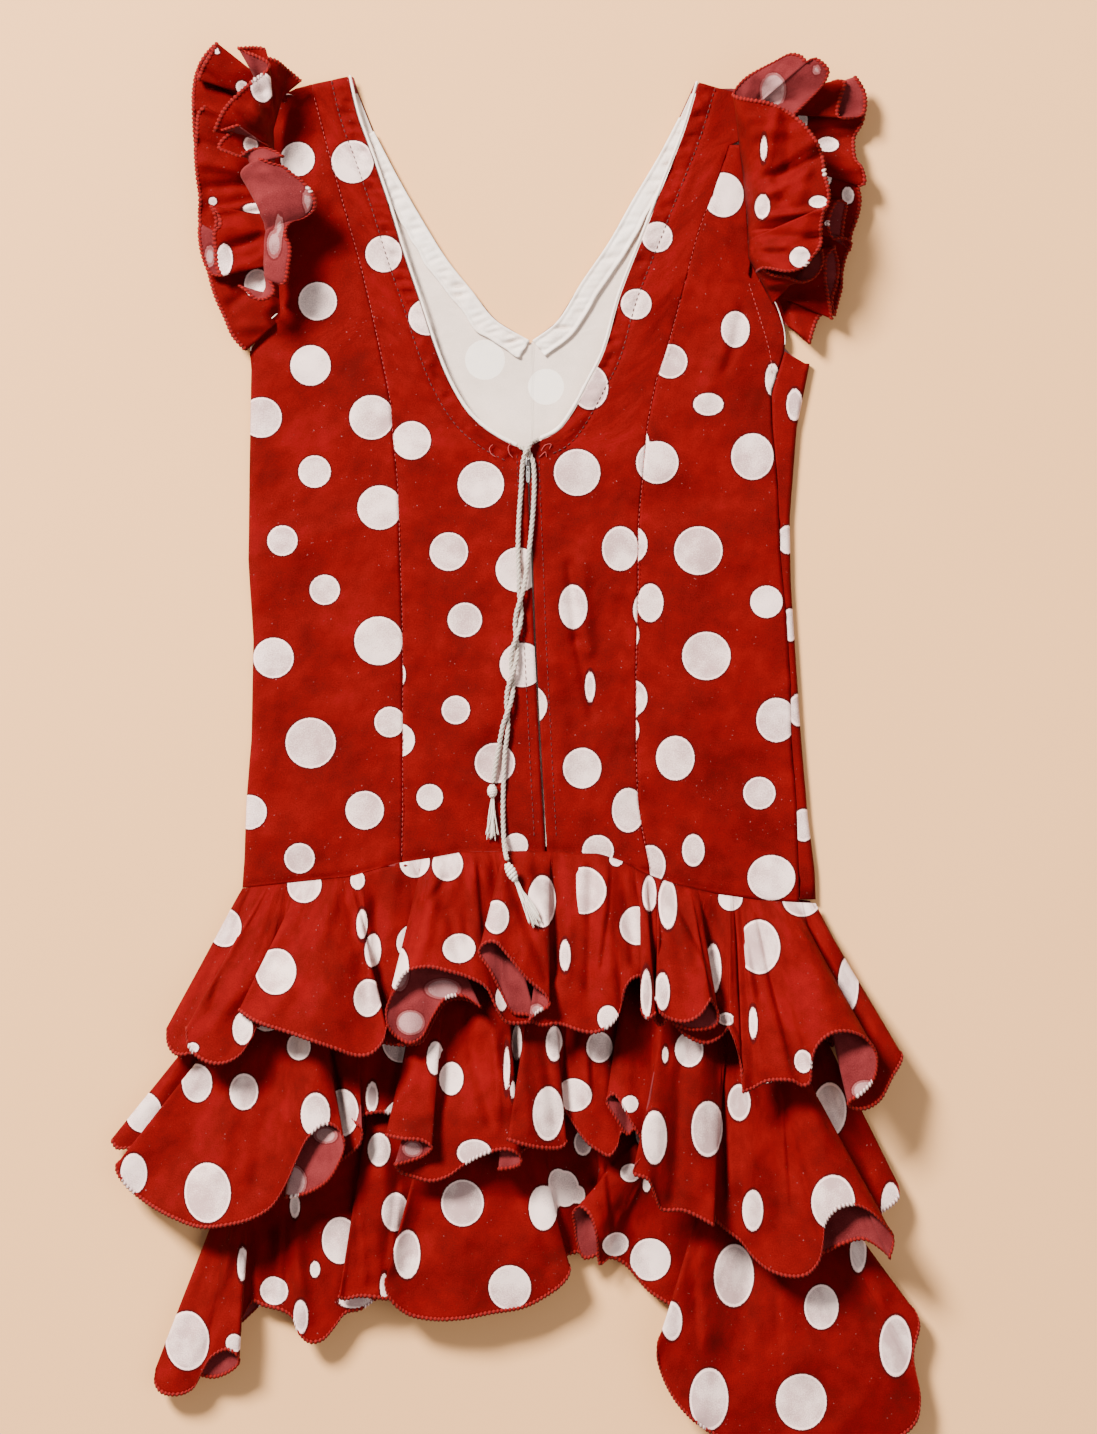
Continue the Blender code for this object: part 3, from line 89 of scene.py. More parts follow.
# Bodice outlines: y, x.
LEFT_SILHOUETTE = (
    (-18, -144.5), (-5, -143.5), (25, -142.5), (55, -140), (105, -139), (145, -141.5), (185, -141),
    (240, -140), (249, -141), (255, -137), (260, -132.5), (264.5, -129), (266.5, -125.5), (290, -127),
    (330, -128), (359, -129), (372, -129.5), (375.5, -128), (380, -118), (382, -111.5),
)
LEFT_PRINCESS = (
    (-4, -65), (24, -64.5), (60, -64.5), (105, -64.5), (154, -66), (183, -67), (208, -69.5),
    (223, -70.5), (253, -76.5), (290, -85), (320, -93.5), (356, -103.5), (379, -109.5),
)
RIGHT_PRINCESS = (
    (-10, 59), (8, 55.5), (24, 53), (52, 52), (96, 52), (134, 53), (160, 53), (183, 55), (211, 57.5),
    (234, 62), (254, 68.5), (282, 76), (310, 83.5), (328, 90.5), (352, 98.6), (354.5, 105),
    (364, 104.5), (379, 101.5),
)
RIGHT_SIDE_SEAM = (
    (-24, 133.5), (24, 132), (55, 129.5), (85, 129), (115, 127), (147, 124), (185, 122.5),
    (211, 120), (228, 119.5), (249, 126), (258, 127), (266, 124), (273, 120.5), (283, 116),
    (286, 108), (295, 109.5), (303, 108), (328, 106.5), (364, 104.5), (379, 101.5),
)
RIGHT_SILHOUETTE = (
    (-26, 141.5), (-10, 141), (17, 137.5), (58, 134), (96, 131.5), (134, 129), (166, 128.5),
    (211, 132), (243, 138.5), (248, 133), (250, 126.5),
)
NECK_LEFT = (
    (387, -91), (368, -86.5), (347, -79), (322, -70.5), (299, -63.5), (274, -55), (251, -47.5),
    (234, -40.5), (218, -30.5), (208, -18.5), (202, -7),
)
NECK_RIGHT = (
    (384, 82.5), (359, 75), (336, 66), (309, 55.5), (277, 43), (249, 35), (234, 27.5), (220, 20),
    (210, 12.5), (205.5, 4),
)
V_LEFT = (
    (385.5, -89.5), (359, -79), (336, -67), (315, -55), (295, -42.5), (280, -30.5), (265, -18.5),
    (254, -0.5),
)
V_RIGHT = (
    (386, 82.5), (366, 73.5), (347, 63.5), (325, 50.5), (303, 38), (284, 25), (264, 12.5), (254, -0.5),
)
V_POINT = (254.0, -0.5)
# The zip's line and the panels' space on each side of it.
ZIP_LINE = ((0, 7), (45, 4.5), (75, 3), (105, 1.5), (145, 0), (186, -1.7), (200, -2))
ZIP_HALF_GAP = ((0, 0.42), (183, 0.42), (187, 1.65), (197, 1.65), (199, 1.2), (202, 0.9))
SHOULDER_LEFT = ((-129, 375.5), (-118, 379.5), (-111, 382), (-90, 386.5))
SHOULDER_RIGHT = ((80, 384), (102, 378), (108, 376))
LINING_LEFT = (
    (188, -34), (200, -42), (218, -48), (251, -62), (299, -77), (347, -93), (372, -101), (380, -103),
)
LINING_RIGHT = (
    (188, 27), (200, 34), (220, 38), (251, 52), (299, 70), (336, 82), (364, 92), (380, 95),
)
LINING_FOOT = 188.0
FRONT_ARMHOLE_RIGHT = (
    (243, 136), (250, 126), (266, 122), (286, 108), (303, 107), (328, 105.5), (364, 103.5), (380, 101),
)
FRONT_ARMHOLE_LEFT = (
    (240, -140), (249, -140), (264, -128), (290, -125), (330, -126), (372, -127.5), (380, -117),
)
STRIP_TOP = 249.0  # where the front that comes round the side ends
STRAP_POINT = 352.0  # where the right side panel ends in the strap
FRONT_HIP = ((-150, -18), (-72.5, -7), (-0.5, 0.5), (69.3, -15.2), (150, -26))
HIP_SEAM = (
    (-150, -18), (-144, -18), (-121, -15.5), (-91, -12.5), (-67, -5.5), (-50, -3), (-34, 0), (0, 0.5),
    (34, -1), (46, -5), (56, -10.5), (71, -16), (92, -21), (113, -24), (128, -25), (150, -26),
)
SEAM_2 = (
    (-157, -77), (-116, -67), (-80, -60), (-51, -53), (34, -53), (54, -55), (84, -70), (114, -92),
    (150, -95),
)
SEAM_3 = (
    (-150, -158), (-116, -135), (-76, -124), (-51, -117.5), (34, -117.5), (74, -140), (92, -155),
    (114, -172), (155, -172),
)

# Flounce hems in order along the cloth, left to right: where the fold line leaves the seam (x, or
# None where it follows from the cloth's length), hem x, hem y, and the height over what it lies on.
FLOUNCE_1 = (
    (-144.5, -181.5, -88, 3), (None, -181, -95.5, 4.5), (None, -177.5, -100.5, 5),
    (None, -172, -101, 4.2), (-139, -165, -98, 3.4),
    (None, -166, -93, 7), (-132, -171, -88, 10.5),
    (None, -170.5, -94.5, 12), (None, -166.5, -100.5, 12.8), (None, -159, -104.5, 13),
    (None, -151.5, -104.5, 12.6), (None, -144, -100.5, 11.6), (None, -139, -93, 10),
    (None, -136, -87, 7.6), (-120, -130, -84.5, 6),
    (None, -134, -83, 10.5), (-114, -144.5, -79, 14.5),
    (None, -137, -83.5, 17), (None, -115.5, -90.5, 18), (None, -96.5, -97, 18),
    (None, -86.5, -100.5, 17), (None, -79, -99.5, 15), (None, -73, -93, 13),
    (-90.5, -72, -87, 10.5),
    (None, -77, -90, 7), (-84, -80, -93, 4.5),
    (None, -73.5, -95, 2.6), (None, -63.5, -96, 2), (-63, -54, -94, 2),
    (None, -48, -83, 2.5), (None, -42, -74.5, 3.5), (None, -33, -73.5, 5), (-59, -25.5, -77, 6),
    (None, -33, -72, 8), (None, -42, -72.5, 8), (None, -48.5, -81, 7.5), (None, -54.5, -92, 6.5),
    (None, -60, -95, 7), (None, -66.5, -92, 8),
    (None, -71, -87, 10), (-54, -72, -79.5, 12.5), (None, -68, -69.5, 15),
    (-49, -62, -59.5, 18),
    (None, -51, -57, 19.5), (None, -41.5, -59, 19.5), (None, -31.5, -62, 18.5),
    (None, -22.5, -67, 16), (None, -17.5, -77, 12.5), (None, -13, -84, 9),
    (None, -4, -85, 6), (-20, 2, -83.5, 5.5),
    (None, -2, -81, 7), (None, -9, -80, 9.5), (None, -15, -70, 13),
    (None, -21, -58, 17), (-14, -26, -50.5, 20), (None, -24, -46, 22.5),
    (None, -18.5, -44.5, 23.5), (-9, -12, -51, 23), (None, -2, -63, 21.5),
    (None, 7, -71, 20), (8.5, 8.5, -76, 18),
    (None, 3, -79, 15), (None, -1, -83, 12),
    (None, 5, -86, 9.5), (None, 12, -85, 10), (14.5, 16.5, -86, 12),
    (None, 22, -88, 14), (None, 30, -89.5, 15), (None, 37, -87, 15), (None, 42, -82, 14),
    (None, 44.5, -75, 13), (None, 46, -68, 12.5), (47, 49.5, -63, 12), (None, 54, -62, 9),
    (50.5, 58.5, -66, 6.5),
    (None, 56.5, -73, 10), (53.5, 54, -79, 13.5), (None, 57, -82.5, 14.5),
    (56, 61, -80, 12),
    (None, 60.5, -83, 8), (58, 63, -86, 5), (60.5, 66.5, -84, 5),
    (None, 64, -79, 9), (63.5, 61.5, -73, 13),
    (66, 63, -79, 16), (None, 68, -82.5, 17.5), (None, 76, -84, 18),
    (None, 83, -80.5, 18.5), (79, 88, -73, 19.5),
    (82, 92, -80, 16), (None, 91, -86, 13), (None, 79, -88, 10.5), (88, 70, -85, 8.5),
    (None, 76, -91, 5), (None, 86, -95, 4.5), (None, 93, -92, 7), (98, 97.5, -87, 10.5),
    (None, 100.5, -95, 12), (None, 103, -105, 12), (101.5, 104.5, -118.5, 11),
    (None, 109, -117, 12), (None, 115.5, -113.5, 13), (None, 128.5, -113, 14),
    (None, 133.5, -115.5, 14), (None, 137, -114, 14.5), (None, 138, -103, 17),
    (None, 141.5, -94.5, 20), (121.5, 148.5, -89.5, 22), (None, 157, -89, 22.5),
    (None, 165, -92.5, 21), (130, 170.5, -101, 17), (None, 169.5, -111.5, 13.5),
    (None, 163.5, -119, 11.5), (134.5, 156.5, -124, 9.5),
    (None, 157.5, -126.5, 5.5), (None, 164, -127.5, 5), (None, 172, -123.5, 5),
    (None, 178.5, -112.5, 6), (139.5, 184, -102.5, 6), (None, 180.5, -98, 4),
    (141.5, 174.5, -93, 3),
)
FLOUNCE_2 = (
    (-155, -210, -144.5, 3.4), (None, -207, -148.5, 5), (None, -202, -148.5, 5.2),
    (None, -191, -149, 4), (-148, -185, -154, 4),
    (None, -193, -155, 7), (None, -203, -154, 9.5),
    (-141, -207, -157, 11.5), (None, -202.5, -166, 12.5), (None, -192.5, -174.5, 13),
    (None, -177.5, -182, 13.5), (None, -164.5, -186, 14), (None, -151.5, -185, 14.5),
    (None, -139.5, -182, 15), (None, -129, -176, 16), (None, -121.5, -164.5, 18),
    (None, -115.5, -151, 20), (None, -110.5, -141.5, 21), (None, -103, -135, 21.5),
    (None, -96.5, -136.5, 20.5), (-108, -92.5, -144.5, 18.5),
    (None, -95.5, -154.5, 15.5), (None, -101.5, -163.5, 13.5), (None, -111.5, -169.5, 11.5),
    (None, -117.5, -171, 10), (-99, -122, -171.5, 8),
    (None, -116, -169, 4.5), (None, -103.5, -160, 4.5), (None, -91.5, -151, 6),
    (None, -85, -145, 7.5), (-88, -84.5, -137.5, 7.5),
    (None, -87.5, -135, 5.5), (-84, -90, -132.5, 3.5),
    (None, -83, -131, 2), (None, -73.5, -130, 1.6), (None, -63.5, -134, 1.6),
    (-66, -57, -136, 2),
    (None, -62, -138, 4.8), (None, -69, -138.5, 7),
    (-52, -72, -140.5, 11), (None, -63.5, -142, 16.5), (None, -54, -143, 17),
    (-43, -49.5, -146.5, 16), (None, -54, -151, 13.5), (None, -61, -153.5, 12.5),
    (-37, -67.5, -155, 11.5),
    (None, -66, -158, 8.5), (None, -60, -161, 7.5), (None, -50, -163.5, 7.5),
    (None, -41.5, -161, 9), (None, -32.5, -154.5, 12), (None, -21.5, -149, 15),
    (None, -12, -147.5, 16.5), (-14, -6, -150.5, 15.5), (None, -5.5, -154.5, 13),
    (None, -10.5, -157, 10.5), (-10, -16, -157.5, 8.5),
    (None, -14.5, -155, 5), (None, -5, -149, 3.5), (None, 2, -144, 4),
    (-3, 7, -142, 7),
    (None, 3, -140, 13), (None, -4, -140, 18),
    (2.5, -11.5, -142, 21), (None, -4, -144.5, 21.5), (None, 6, -146.5, 19.5),
    (None, 14, -146.5, 17.5), (9, 17, -144, 15),
    (None, 14, -139, 10), (None, 10, -134, 7),
    (None, 14, -125, 5), (None, 18.5, -132, 6.5), (None, 27, -144, 9), (None, 33, -148.5, 10),
    (None, 38.5, -151, 10), (None, 42.5, -146, 9.5), (35, 44, -140, 8),
    (39, 50, -138, 5.5),
    (None, 47.5, -140.5, 8.5), (None, 42, -133, 10.5),
    (48, 37, -124, 13), (None, 40.5, -120.5, 15.5), (None, 45, -126, 16),
    (None, 49.5, -134.5, 15), (None, 55, -143, 12.5), (60, 60, -147.5, 10),
    (None, 58, -150, 14),
    (68, 54, -151, 18), (None, 50, -158.5, 19.5), (None, 57, -161.5, 19.5),
    (None, 60.5, -169, 19), (None, 64, -177, 18.5), (None, 74.5, -177.5, 18.5),
    (None, 83, -181, 18), (96, 89.5, -184.5, 16.5),
    (None, 90, -180, 12.5), (None, 84, -179, 9),
    (None, 90, -182.5, 5.5), (None, 97, -188.5, 6), (None, 103.5, -193.5, 7.5),
    (None, 109, -200.5, 9.5), (None, 116.5, -207, 11.5), (None, 127, -210.5, 13),
    (None, 136, -209.5, 14.5), (None, 142, -203, 17), (None, 144, -194.5, 19.5),
    (None, 145, -184.5, 22), (None, 149.5, -177.5, 23.5), (None, 157.5, -174.5, 24),
    (None, 165, -176.5, 23), (None, 172.5, -182.5, 21), (126, 179, -191.5, 19),
    (127.5, 177, -201, 16.5), (None, 171.5, -196, 14.5), (None, 164, -192, 13),
    (None, 154.5, -194.5, 11.5), (None, 144.5, -199, 10), (136.5, 137, -200, 8.5),
    (138, 145, -196, 5), (None, 159, -188, 4.5), (None, 174, -179.5, 4.5),
    (145, 182.5, -173, 4), (147, 182.5, -166.5, 3),
)
FLOUNCE_3 = (
    (-148, -187.5, -258, 3.6), (None, -188, -265.5, 6), (None, -184.5, -270, 8),
    (None, -176, -271, 9.5), (None, -168.5, -267.5, 11), (None, -164, -259.5, 13),
    (None, -159, -251.5, 15), (None, -151.5, -248, 16), (None, -146.5, -251, 15),
    (-139, -146, -255.5, 12.5),
    (None, -151.5, -260, 10.5), (None, -159, -262.5, 9), (None, -166, -261, 7.5),
    (None, -158.5, -252.5, 5), (None, -147, -237.5, 4), (-131, -139, -225, 3),
    (None, -134, -227, 3), (None, -124, -229.5, 4), (None, -119, -233, 6.5),
    (-116, -116, -240.5, 9.5), (None, -110.5, -245, 11.5), (None, -104, -243.5, 12),
    (None, -98.5, -237.5, 11), (None, -93, -230.5, 9), (None, -85, -228.5, 7.5),
    (-84, -78, -223.5, 7),
    (None, -83, -221.5, 10), (None, -91, -221, 11.5), (None, -95.5, -222, 13),
    (-80, -93.5, -223, 15), (None, -86.5, -221.5, 15.5), (None, -78, -222, 14.5),
    (-66, -72, -223, 11.5), (None, -65, -221, 8), (None, -60, -217.5, 7.5),
    (None, -65, -214, 11), (None, -70.5, -211.5, 13),
    (-46, -73, -214.5, 15.5), (None, -71, -222, 17), (None, -62.5, -230, 18),
    (None, -50, -233, 18.5), (None, -35, -232.5, 18.5), (None, -19, -229.5, 18),
    (None, -4, -227, 17.5), (None, 8.5, -220.5, 17), (None, 16, -214.5, 16),
    (-6, 19, -209, 14),
    (None, 16.5, -204, 10), (None, 12, -202.5, 7),
    (None, 20, -201, 3.5), (None, 29, -199, 3), (None, 37, -197, 3.4),
    (None, 33, -201, 6.5), (None, 26, -203, 7), (None, 22.5, -196, 7.5),
    (None, 21, -186, 9), (61.5, 20.5, -179.5, 12), (None, 24, -177, 15),
    (None, 28.5, -180.5, 17), (None, 31.5, -188.5, 17.5), (None, 32.5, -197, 15.5),
    (None, 33, -204, 12), (None, 34, -206, 9), (None, 39, -203, 6),
    (None, 46.5, -206.5, 3.5), (None, 58, -219.5, 2.5), (75, 69.5, -227, 2.5),
    (None, 84, -237.5, 2.5), (81, 99, -242.5, 3.5),
    (None, 86.5, -234, 6), (None, 79, -230, 7.5),
    (88, 75, -228, 8.5), (None, 68, -234, 10), (None, 64, -241, 12),
    (93, 62, -249, 14.5), (None, 64, -259, 15.5), (None, 70, -271.5, 15),
    (None, 78.5, -281.5, 14), (None, 90, -290, 13.5), (None, 104, -296, 13),
    (None, 124, -299, 13), (None, 149, -299, 13), (None, 169, -296.5, 12),
    (None, 184, -291.5, 10.5), (143, 191.5, -284, 9.5), (None, 193.5, -272.5, 9),
    (None, 190, -251, 9), (146.5, 193, -235, 8.5), (None, 187, -226, 5.5),
    (152, 176, -223.5, 3),
)

# The fronts lie face down under all this: seam ends, hem outline and number of soft arches.
FRONT_1_HEM = ((-172, -92), (-130, -97), (-60, -95), (60, -95), (120, -106), (170, -92))
FRONT_2_HEM = ((-196, -140), (-130, -152), (-60, -152), (60, -152), (120, -168), (172, -160))
FRONT_3_HEM = (
    (-182, -252), (-148, -246), (-134, -217), (-60, -212), (22, -200), (36, -194), (64, -212),
    (88, -270), (140, -286), (180, -276),
)
# Flounce, its hem outline, its seam, seam ends, arches.
FRONTS = (
    ("flounce_1_front", FRONT_1_HEM, FRONT_HIP, (-141, 139), 8),
    ("flounce_2_front", FRONT_2_HEM, SEAM_2, (-150, 140), 8),
    ("flounce_3_front", FRONT_3_HEM, SEAM_3, (-143, 147), 9),
)
FRONT_WAVE = 1.2
FRONT_GAP = 1.8  # of a front flounce over the next one down
FRONT_UNDER = 2.5  # how far its seam edge reaches under the skirt base
BASE_GAP = 0.5
FRONT_STEPS = 2  # along each arch
RUFFLE_STEPS = 4  # from seam to hem
# Back, top, bottom and side lines of the hidden skirt base: x at the hip and x at the third seam.
BASE_LEFT = (-141.0, -146.0)
BASE_RIGHT = (137.0, 150.0)
BASE_BELOW_HIP = 2.0

# Sleeve frills: the same columns, but the fold line leaves the armhole at a y. Two more numbers
# are how far the middle of the fold line swings out, where the cloth comes round and turns over.
LEFT_ARMHOLE = ((379, -112), (375, -126), (359, -130.5), (315, -128.5), (290, -128), (267, -127.5))
RIGHT_ARMHOLE = ((377, 104), (360, 106), (340, 108.5), (315, 111), (295, 111.5), (266, 126.5))
LEFT_LOWER = (
    (377, -146.5, 376, 4), (None, -150, 386, 7), (None, -154.5, 398.5, 10),
    (None, -157, 401.5, 11.5), (None, -160, 396, 12), (None, -164.5, 388.5, 11),
    (None, -166, 384, 9.5),
    (None, -166.5, 389, 7.5), (None, -163, 396, 7), (None, -158.5, 401, 6),
    (None, -162, 397, 3.5), (None, -167, 389, 4), (None, -169, 378, 5), (364, -169, 371, 5),
    (None, -168.7, 360, 4.5), (None, -168, 349, 5),
    (None, -164.5, 350, 7.5), (None, -163, 360, 8.5), (None, -163, 370, 9),
    (None, -166, 367, 11), (None, -167, 357, 11.5), (None, -167.7, 347, 11),
    (None, -166.8, 335, 9), (None, -165.5, 324, 8), (330, -166, 317, 6.5), (None, -164.5, 309, 5),
    (None, -159, 308, 7), (None, -157.5, 314, 8), (None, -160, 320.5, 9),
    (None, -156.5, 317, 11), (None, -155.3, 311, 12.5),
    (None, -158, 308, 12.5), (None, -157.8, 300, 12), (None, -157, 290.5, 12),
    (294, -155, 286, 11),
    (None, -160, 287, 9), (None, -164.5, 297, 8), (None, -166, 309, 7.5), (None, -165.5, 312, 6.5),
    (None, -164.5, 300, 3.5), (None, -161.5, 288, 3.5), (None, -158, 276, 5),
    (None, -153.5, 266, 5), (None, -149, 256, 4.5), (268, -142.7, 249, 3),
)
LEFT_UPPER = (
    (375, -114.5, 382.8, 4), (None, -121, 388, 7), (None, -126, 391.7, 9),
    (None, -131.5, 394, 10), (None, -132, 397.4, 11), (None, -137, 398.3, 11.5),
    (366, -144.9, 397.4, 13.5), (None, -142.2, 395.7, 16), (None, -136, 393.4, 17.5),
    (None, -129.8, 389.4, 18.5), (None, -130.7, 386.3, 19), (None, -137, 382, 18.5),
    (None, -145, 374.8, 17.5), (None, -151, 368.6, 16.5), (None, -154.7, 362.3, 14.5),
    (None, -157.2, 356.6, 12.5), (None, -152, 357.4, 14), (None, -145.8, 358.8, 16),
    (None, -150.2, 355.2, 12.5), (None, -153.8, 351.7, 12), (None, -155, 348, 12.5),
    (None, -150.2, 345.9, 14.5, -2, 0), (None, -144, 343.7, 16.5, -4, 1),
    (None, -139.6, 346.3, 18.5, -7, 1), (338, -133.3, 348.1, 19.5, -10, 0),
    (None, -126.2, 345.9, 20.5, -12, 0), (None, -123.1, 343.7, 21, -13, 0),
    (None, -128.9, 343.2, 19.5, -13, 0), (None, -133.8, 342.3, 18.5, -13, 0),
    (None, -128, 340.1, 20, -14, 0), (None, -122.7, 338.8, 21, -15, 0),
    (None, -119, 335.7, 21.5, -15, 0), (None, -113.8, 332, 21.5, -15, 0),
    (None, -109.3, 326.8, 21, -15, 0), (None, -107, 322, 20, -14, 0),
    (305, -108, 317.4, 18, -13, 0), (None, -112, 314.3, 16, -11, 0),
    (None, -118.2, 312, 14.5, -9, 0), (None, -121.3, 309, 14, -8, 0),
    (None, -121.8, 304.6, 14.5, -8, 0), (None, -119.6, 300, 15, -9, 0),
    (None, -120.4, 289.4, 15, -9, 0), (None, -122.2, 281.4, 13.5, -8, 0),
    (None, -124.9, 281, 12, -7, 0), (None, -126.2, 285, 10.5, -6, 0),
    (None, -127.6, 290.3, 10, -5, 0), (None, -129.8, 285.9, 11, -4, 0),
    (None, -127.6, 277, 12.5, -5, 0), (None, -131.6, 273.4, 12, -4, 0),
    (None, -137, 273.4, 10.5), (None, -141.8, 277.9, 8), (275, -145.8, 280.6, 6),
)
RIGHT_LOWER = (
    (375, 140, 376, 4), (None, 147, 381.5, 7), (None, 153, 383.5, 9.5), (None, 156, 382.5, 11),
    (None, 153.5, 374, 12), (None, 152.5, 365.5, 12),
    (None, 158, 364.5, 9.5), (None, 165, 366.5, 8.5), (None, 166, 377, 8), (None, 161.5, 385, 7.5),
    (None, 164.5, 380, 5), (None, 166, 370, 5), (362, 164.5, 362, 5.5),
    (None, 161, 356, 6), (None, 160.5, 350, 7), (None, 161.5, 344, 8.5), (None, 164.5, 340, 9.5),
    (None, 165.7, 332, 9.5), (None, 163, 331, 8),
    (None, 160.5, 337, 7), (None, 159.5, 342, 6.5), (None, 161.5, 335, 5.5),
    (None, 163.7, 325, 6), (None, 162.7, 317, 5.5), (None, 159.3, 307, 5),
    (None, 158.5, 299.5, 5), (None, 155, 303, 7), (None, 155.5, 314, 8.5), (None, 156.5, 322, 9.5),
    (None, 153, 323.5, 11), (None, 149.5, 319.5, 12.5), (322, 147.5, 311, 13.5),
    (None, 150, 304.5, 12.5), (None, 155, 305, 9), (None, 159.2, 303, 7), (None, 156.5, 296, 6),
    (None, 154.7, 288, 6), (None, 154.5, 281, 6), (None, 152.5, 273, 6), (None, 151, 267, 6.5),
    (None, 149.5, 274, 8.5), (None, 152, 283, 9.5), (None, 152.5, 292, 10.5), (296, 150.5, 300, 11.5),
    (None, 147, 296, 13), (None, 146, 287, 13), (None, 147, 278, 12), (None, 148.5, 271, 10),
    (None, 149.5, 265, 8),
    (None, 146.5, 268.5, 5), (None, 142.5, 265, 5), (None, 138.5, 253, 5), (None, 135, 256, 4),
    (268, 131, 261.5, 3),
)
RIGHT_UPPER = (
    (372, 128, 363, 4), (None, 135, 370, 5), (None, 141.5, 376.5, 6.5), (None, 145.5, 381.5, 8),
    (None, 147, 386.5, 9.5), (None, 144, 390.5, 11), (None, 140, 392.8, 12), (None, 136, 391.2, 12.5),
    (None, 133.5, 393.8, 12.5), (None, 128, 395, 13), (None, 120, 391.2, 13), (None, 112, 387, 13),
    (None, 104.5, 382, 12.5), (352, 99.7, 375.5, 13.5),
    (None, 101.5, 373.5, 16), (None, 108, 371.8, 18.5), (None, 117, 370, 20), (None, 124, 367, 20.5),
    (None, 129.5, 363.5, 20.5), (None, 135, 358.5, 20), (None, 140, 352, 19.5),
    (None, 143.5, 345, 19), (None, 145, 335, 18), (None, 147, 325, 17), (314, 146, 318.5, 15),
    (None, 140, 312, 11), (None, 136.5, 309.5, 10), (None, 140, 313, 12.5), (303, 144.5, 318, 15.5),
    (None, 143, 309, 18), (None, 143, 300, 19), (None, 139, 294, 19), (None, 134, 288.5, 18.5),
    (None, 127, 286.5, 17), (None, 117.5, 288.5, 14.5), (288, 114, 289, 13),
    (None, 118, 286, 10), (None, 127, 284, 9), (None, 134, 282, 8.5), (None, 141, 285, 8),
    (None, 144.5, 292, 7), (272, 144, 299, 5),
)

# Cords from the piping's ends: x, y, height over what lies below.
CORD_A_START = (
    (3.1, 205.0, -2.05), (2.3, 204.7, -1.2), (1, 204, 0.7), (-1, 202.6, 2.7), (-2.6, 199.9, 3.2),
    (-4.0, 196, 1.5), (-4.9, 191, 0), (-5.2, 183, 0), (-6.2, 170, 0), (-6.8, 158, 0), (-6.9, 146, 0),
)
CORD_B_START = (
    (-6.1, 201.6, -2.05), (-5.2, 201.2, -1.1), (-3.6, 200.3, 0), (-1.2, 198.4, 0), (0.5, 194.5, 0),
    (1.2, 186, 0), (0.8, 172, 0), (-0.4, 158, 0), (-1.8, 146, 0),
)
TWISTED_RUN = ((-5, 134), (-6.5, 118), (-8.5, 100), (-11, 78), (-13.5, 60))
CORD_A_END = ((-17, 49, 0), (-18.6, 40, 0), (-19.4, 33.4, 0))
CORD_B_END = (
    (-13.4, 49, 0), (-14, 37, 0), (-14.4, 24, 0), (-14.2, 10, 0), (-13.4, 0, 0), (-12.2, -4.6, 0),
)
# Knot centre x and y, half width and half length, where the tassel's ends point to.
TASSELS = (
    ("tassel_a", -19.8, 29.6, 2.6, 3.4, (-19.6, 4.5)),
    ("tassel_b", -10.2, -10.4, 2.8, 5.2, (3.0, -37.5)),
)
TASSEL_SPREAD = 3.2

# The zip's puller, at the top of the closed zip.
SLIDER_SIZE = (2.4, 8.0)  # width and length
SLIDER_AT = (-2.0, 191.5)
TAPE_HALF = 9.0
CORD_STEP = 5.8
FRILL_STEPS = 8
UNDER_PANEL = 3.4  # a lower frill's height where the back panel covers it
SEAM_SINK = 2.1  # how deep an upper frill's seam edge sinks in


LOWER_FRILLS = (
    ("frill_left_lower", LEFT_LOWER, LEFT_ARMHOLE, 6.0),
    ("frill_right_lower", RIGHT_LOWER, RIGHT_ARMHOLE, -8.0),
)
UPPER_FRILLS = (
    ("frill_left_upper", LEFT_UPPER, LEFT_ARMHOLE, 1.5),
    ("frill_right_upper", RIGHT_UPPER, RIGHT_ARMHOLE, -3.5),
)


def distance_along(path):
    """How far along a line of points each of them lies."""
    return np.concatenate([[0], np.cumsum(np.linalg.norm(np.diff(path, axis=0), axis=1))])


def smooth_at(points, where):
    """A smooth curve through the points, read at these places counted in points."""
    p = np.asarray(points, float)
    width = np.sqrt(np.linalg.norm(np.diff(p, axis=0), axis=1))
    chord = np.diff(p, axis=0) / width[:, None]
    slope = np.empty_like(p)
    slope[0] = chord[0]
    slope[-1] = chord[-1]
    before = width[:-1, None]
    after = width[1:, None]
    slope[1:-1] = (chord[:-1] * after + chord[1:] * before) / (before + after)
    i = np.minimum(where.astype(int), len(width) - 1)
    s = (where - i)[:, None]
    w = width[i][:, None]
    first = (2 * s**3 - 3 * s**2 + 1) * p[i] + (s**3 - 2 * s**2 + s) * w * slope[i]
    return first + (3 * s**2 - 2 * s**3) * p[i + 1] + (s**3 - s**2) * w * slope[i + 1]


def smooth(points, steps):
    """A smooth curve through the points, with this many steps between each pair."""
    n = len(points)
    return smooth_at(points, np.linspace(0, n - 1, (n - 1) * steps + 1))


def line(table, at):
    """The second column of a table, read where its first column is `at`."""
    t = np.asarray(sorted(table), float)
    return np.interp(at, t[:, 0], t[:, 1])


def moved_line(table, distance):
    """The same curve moved sideways, to its right when it is walked from its first row."""
    p = np.asarray(table, float)[:, ::-1]
    d = np.gradient(p, axis=0)
    d /= np.linalg.norm(d, axis=1)[:, None]
    p = p + distance * np.stack([d[:, 1], -d[:, 0]], axis=1)
    return tuple((y, x) for x, y in p)


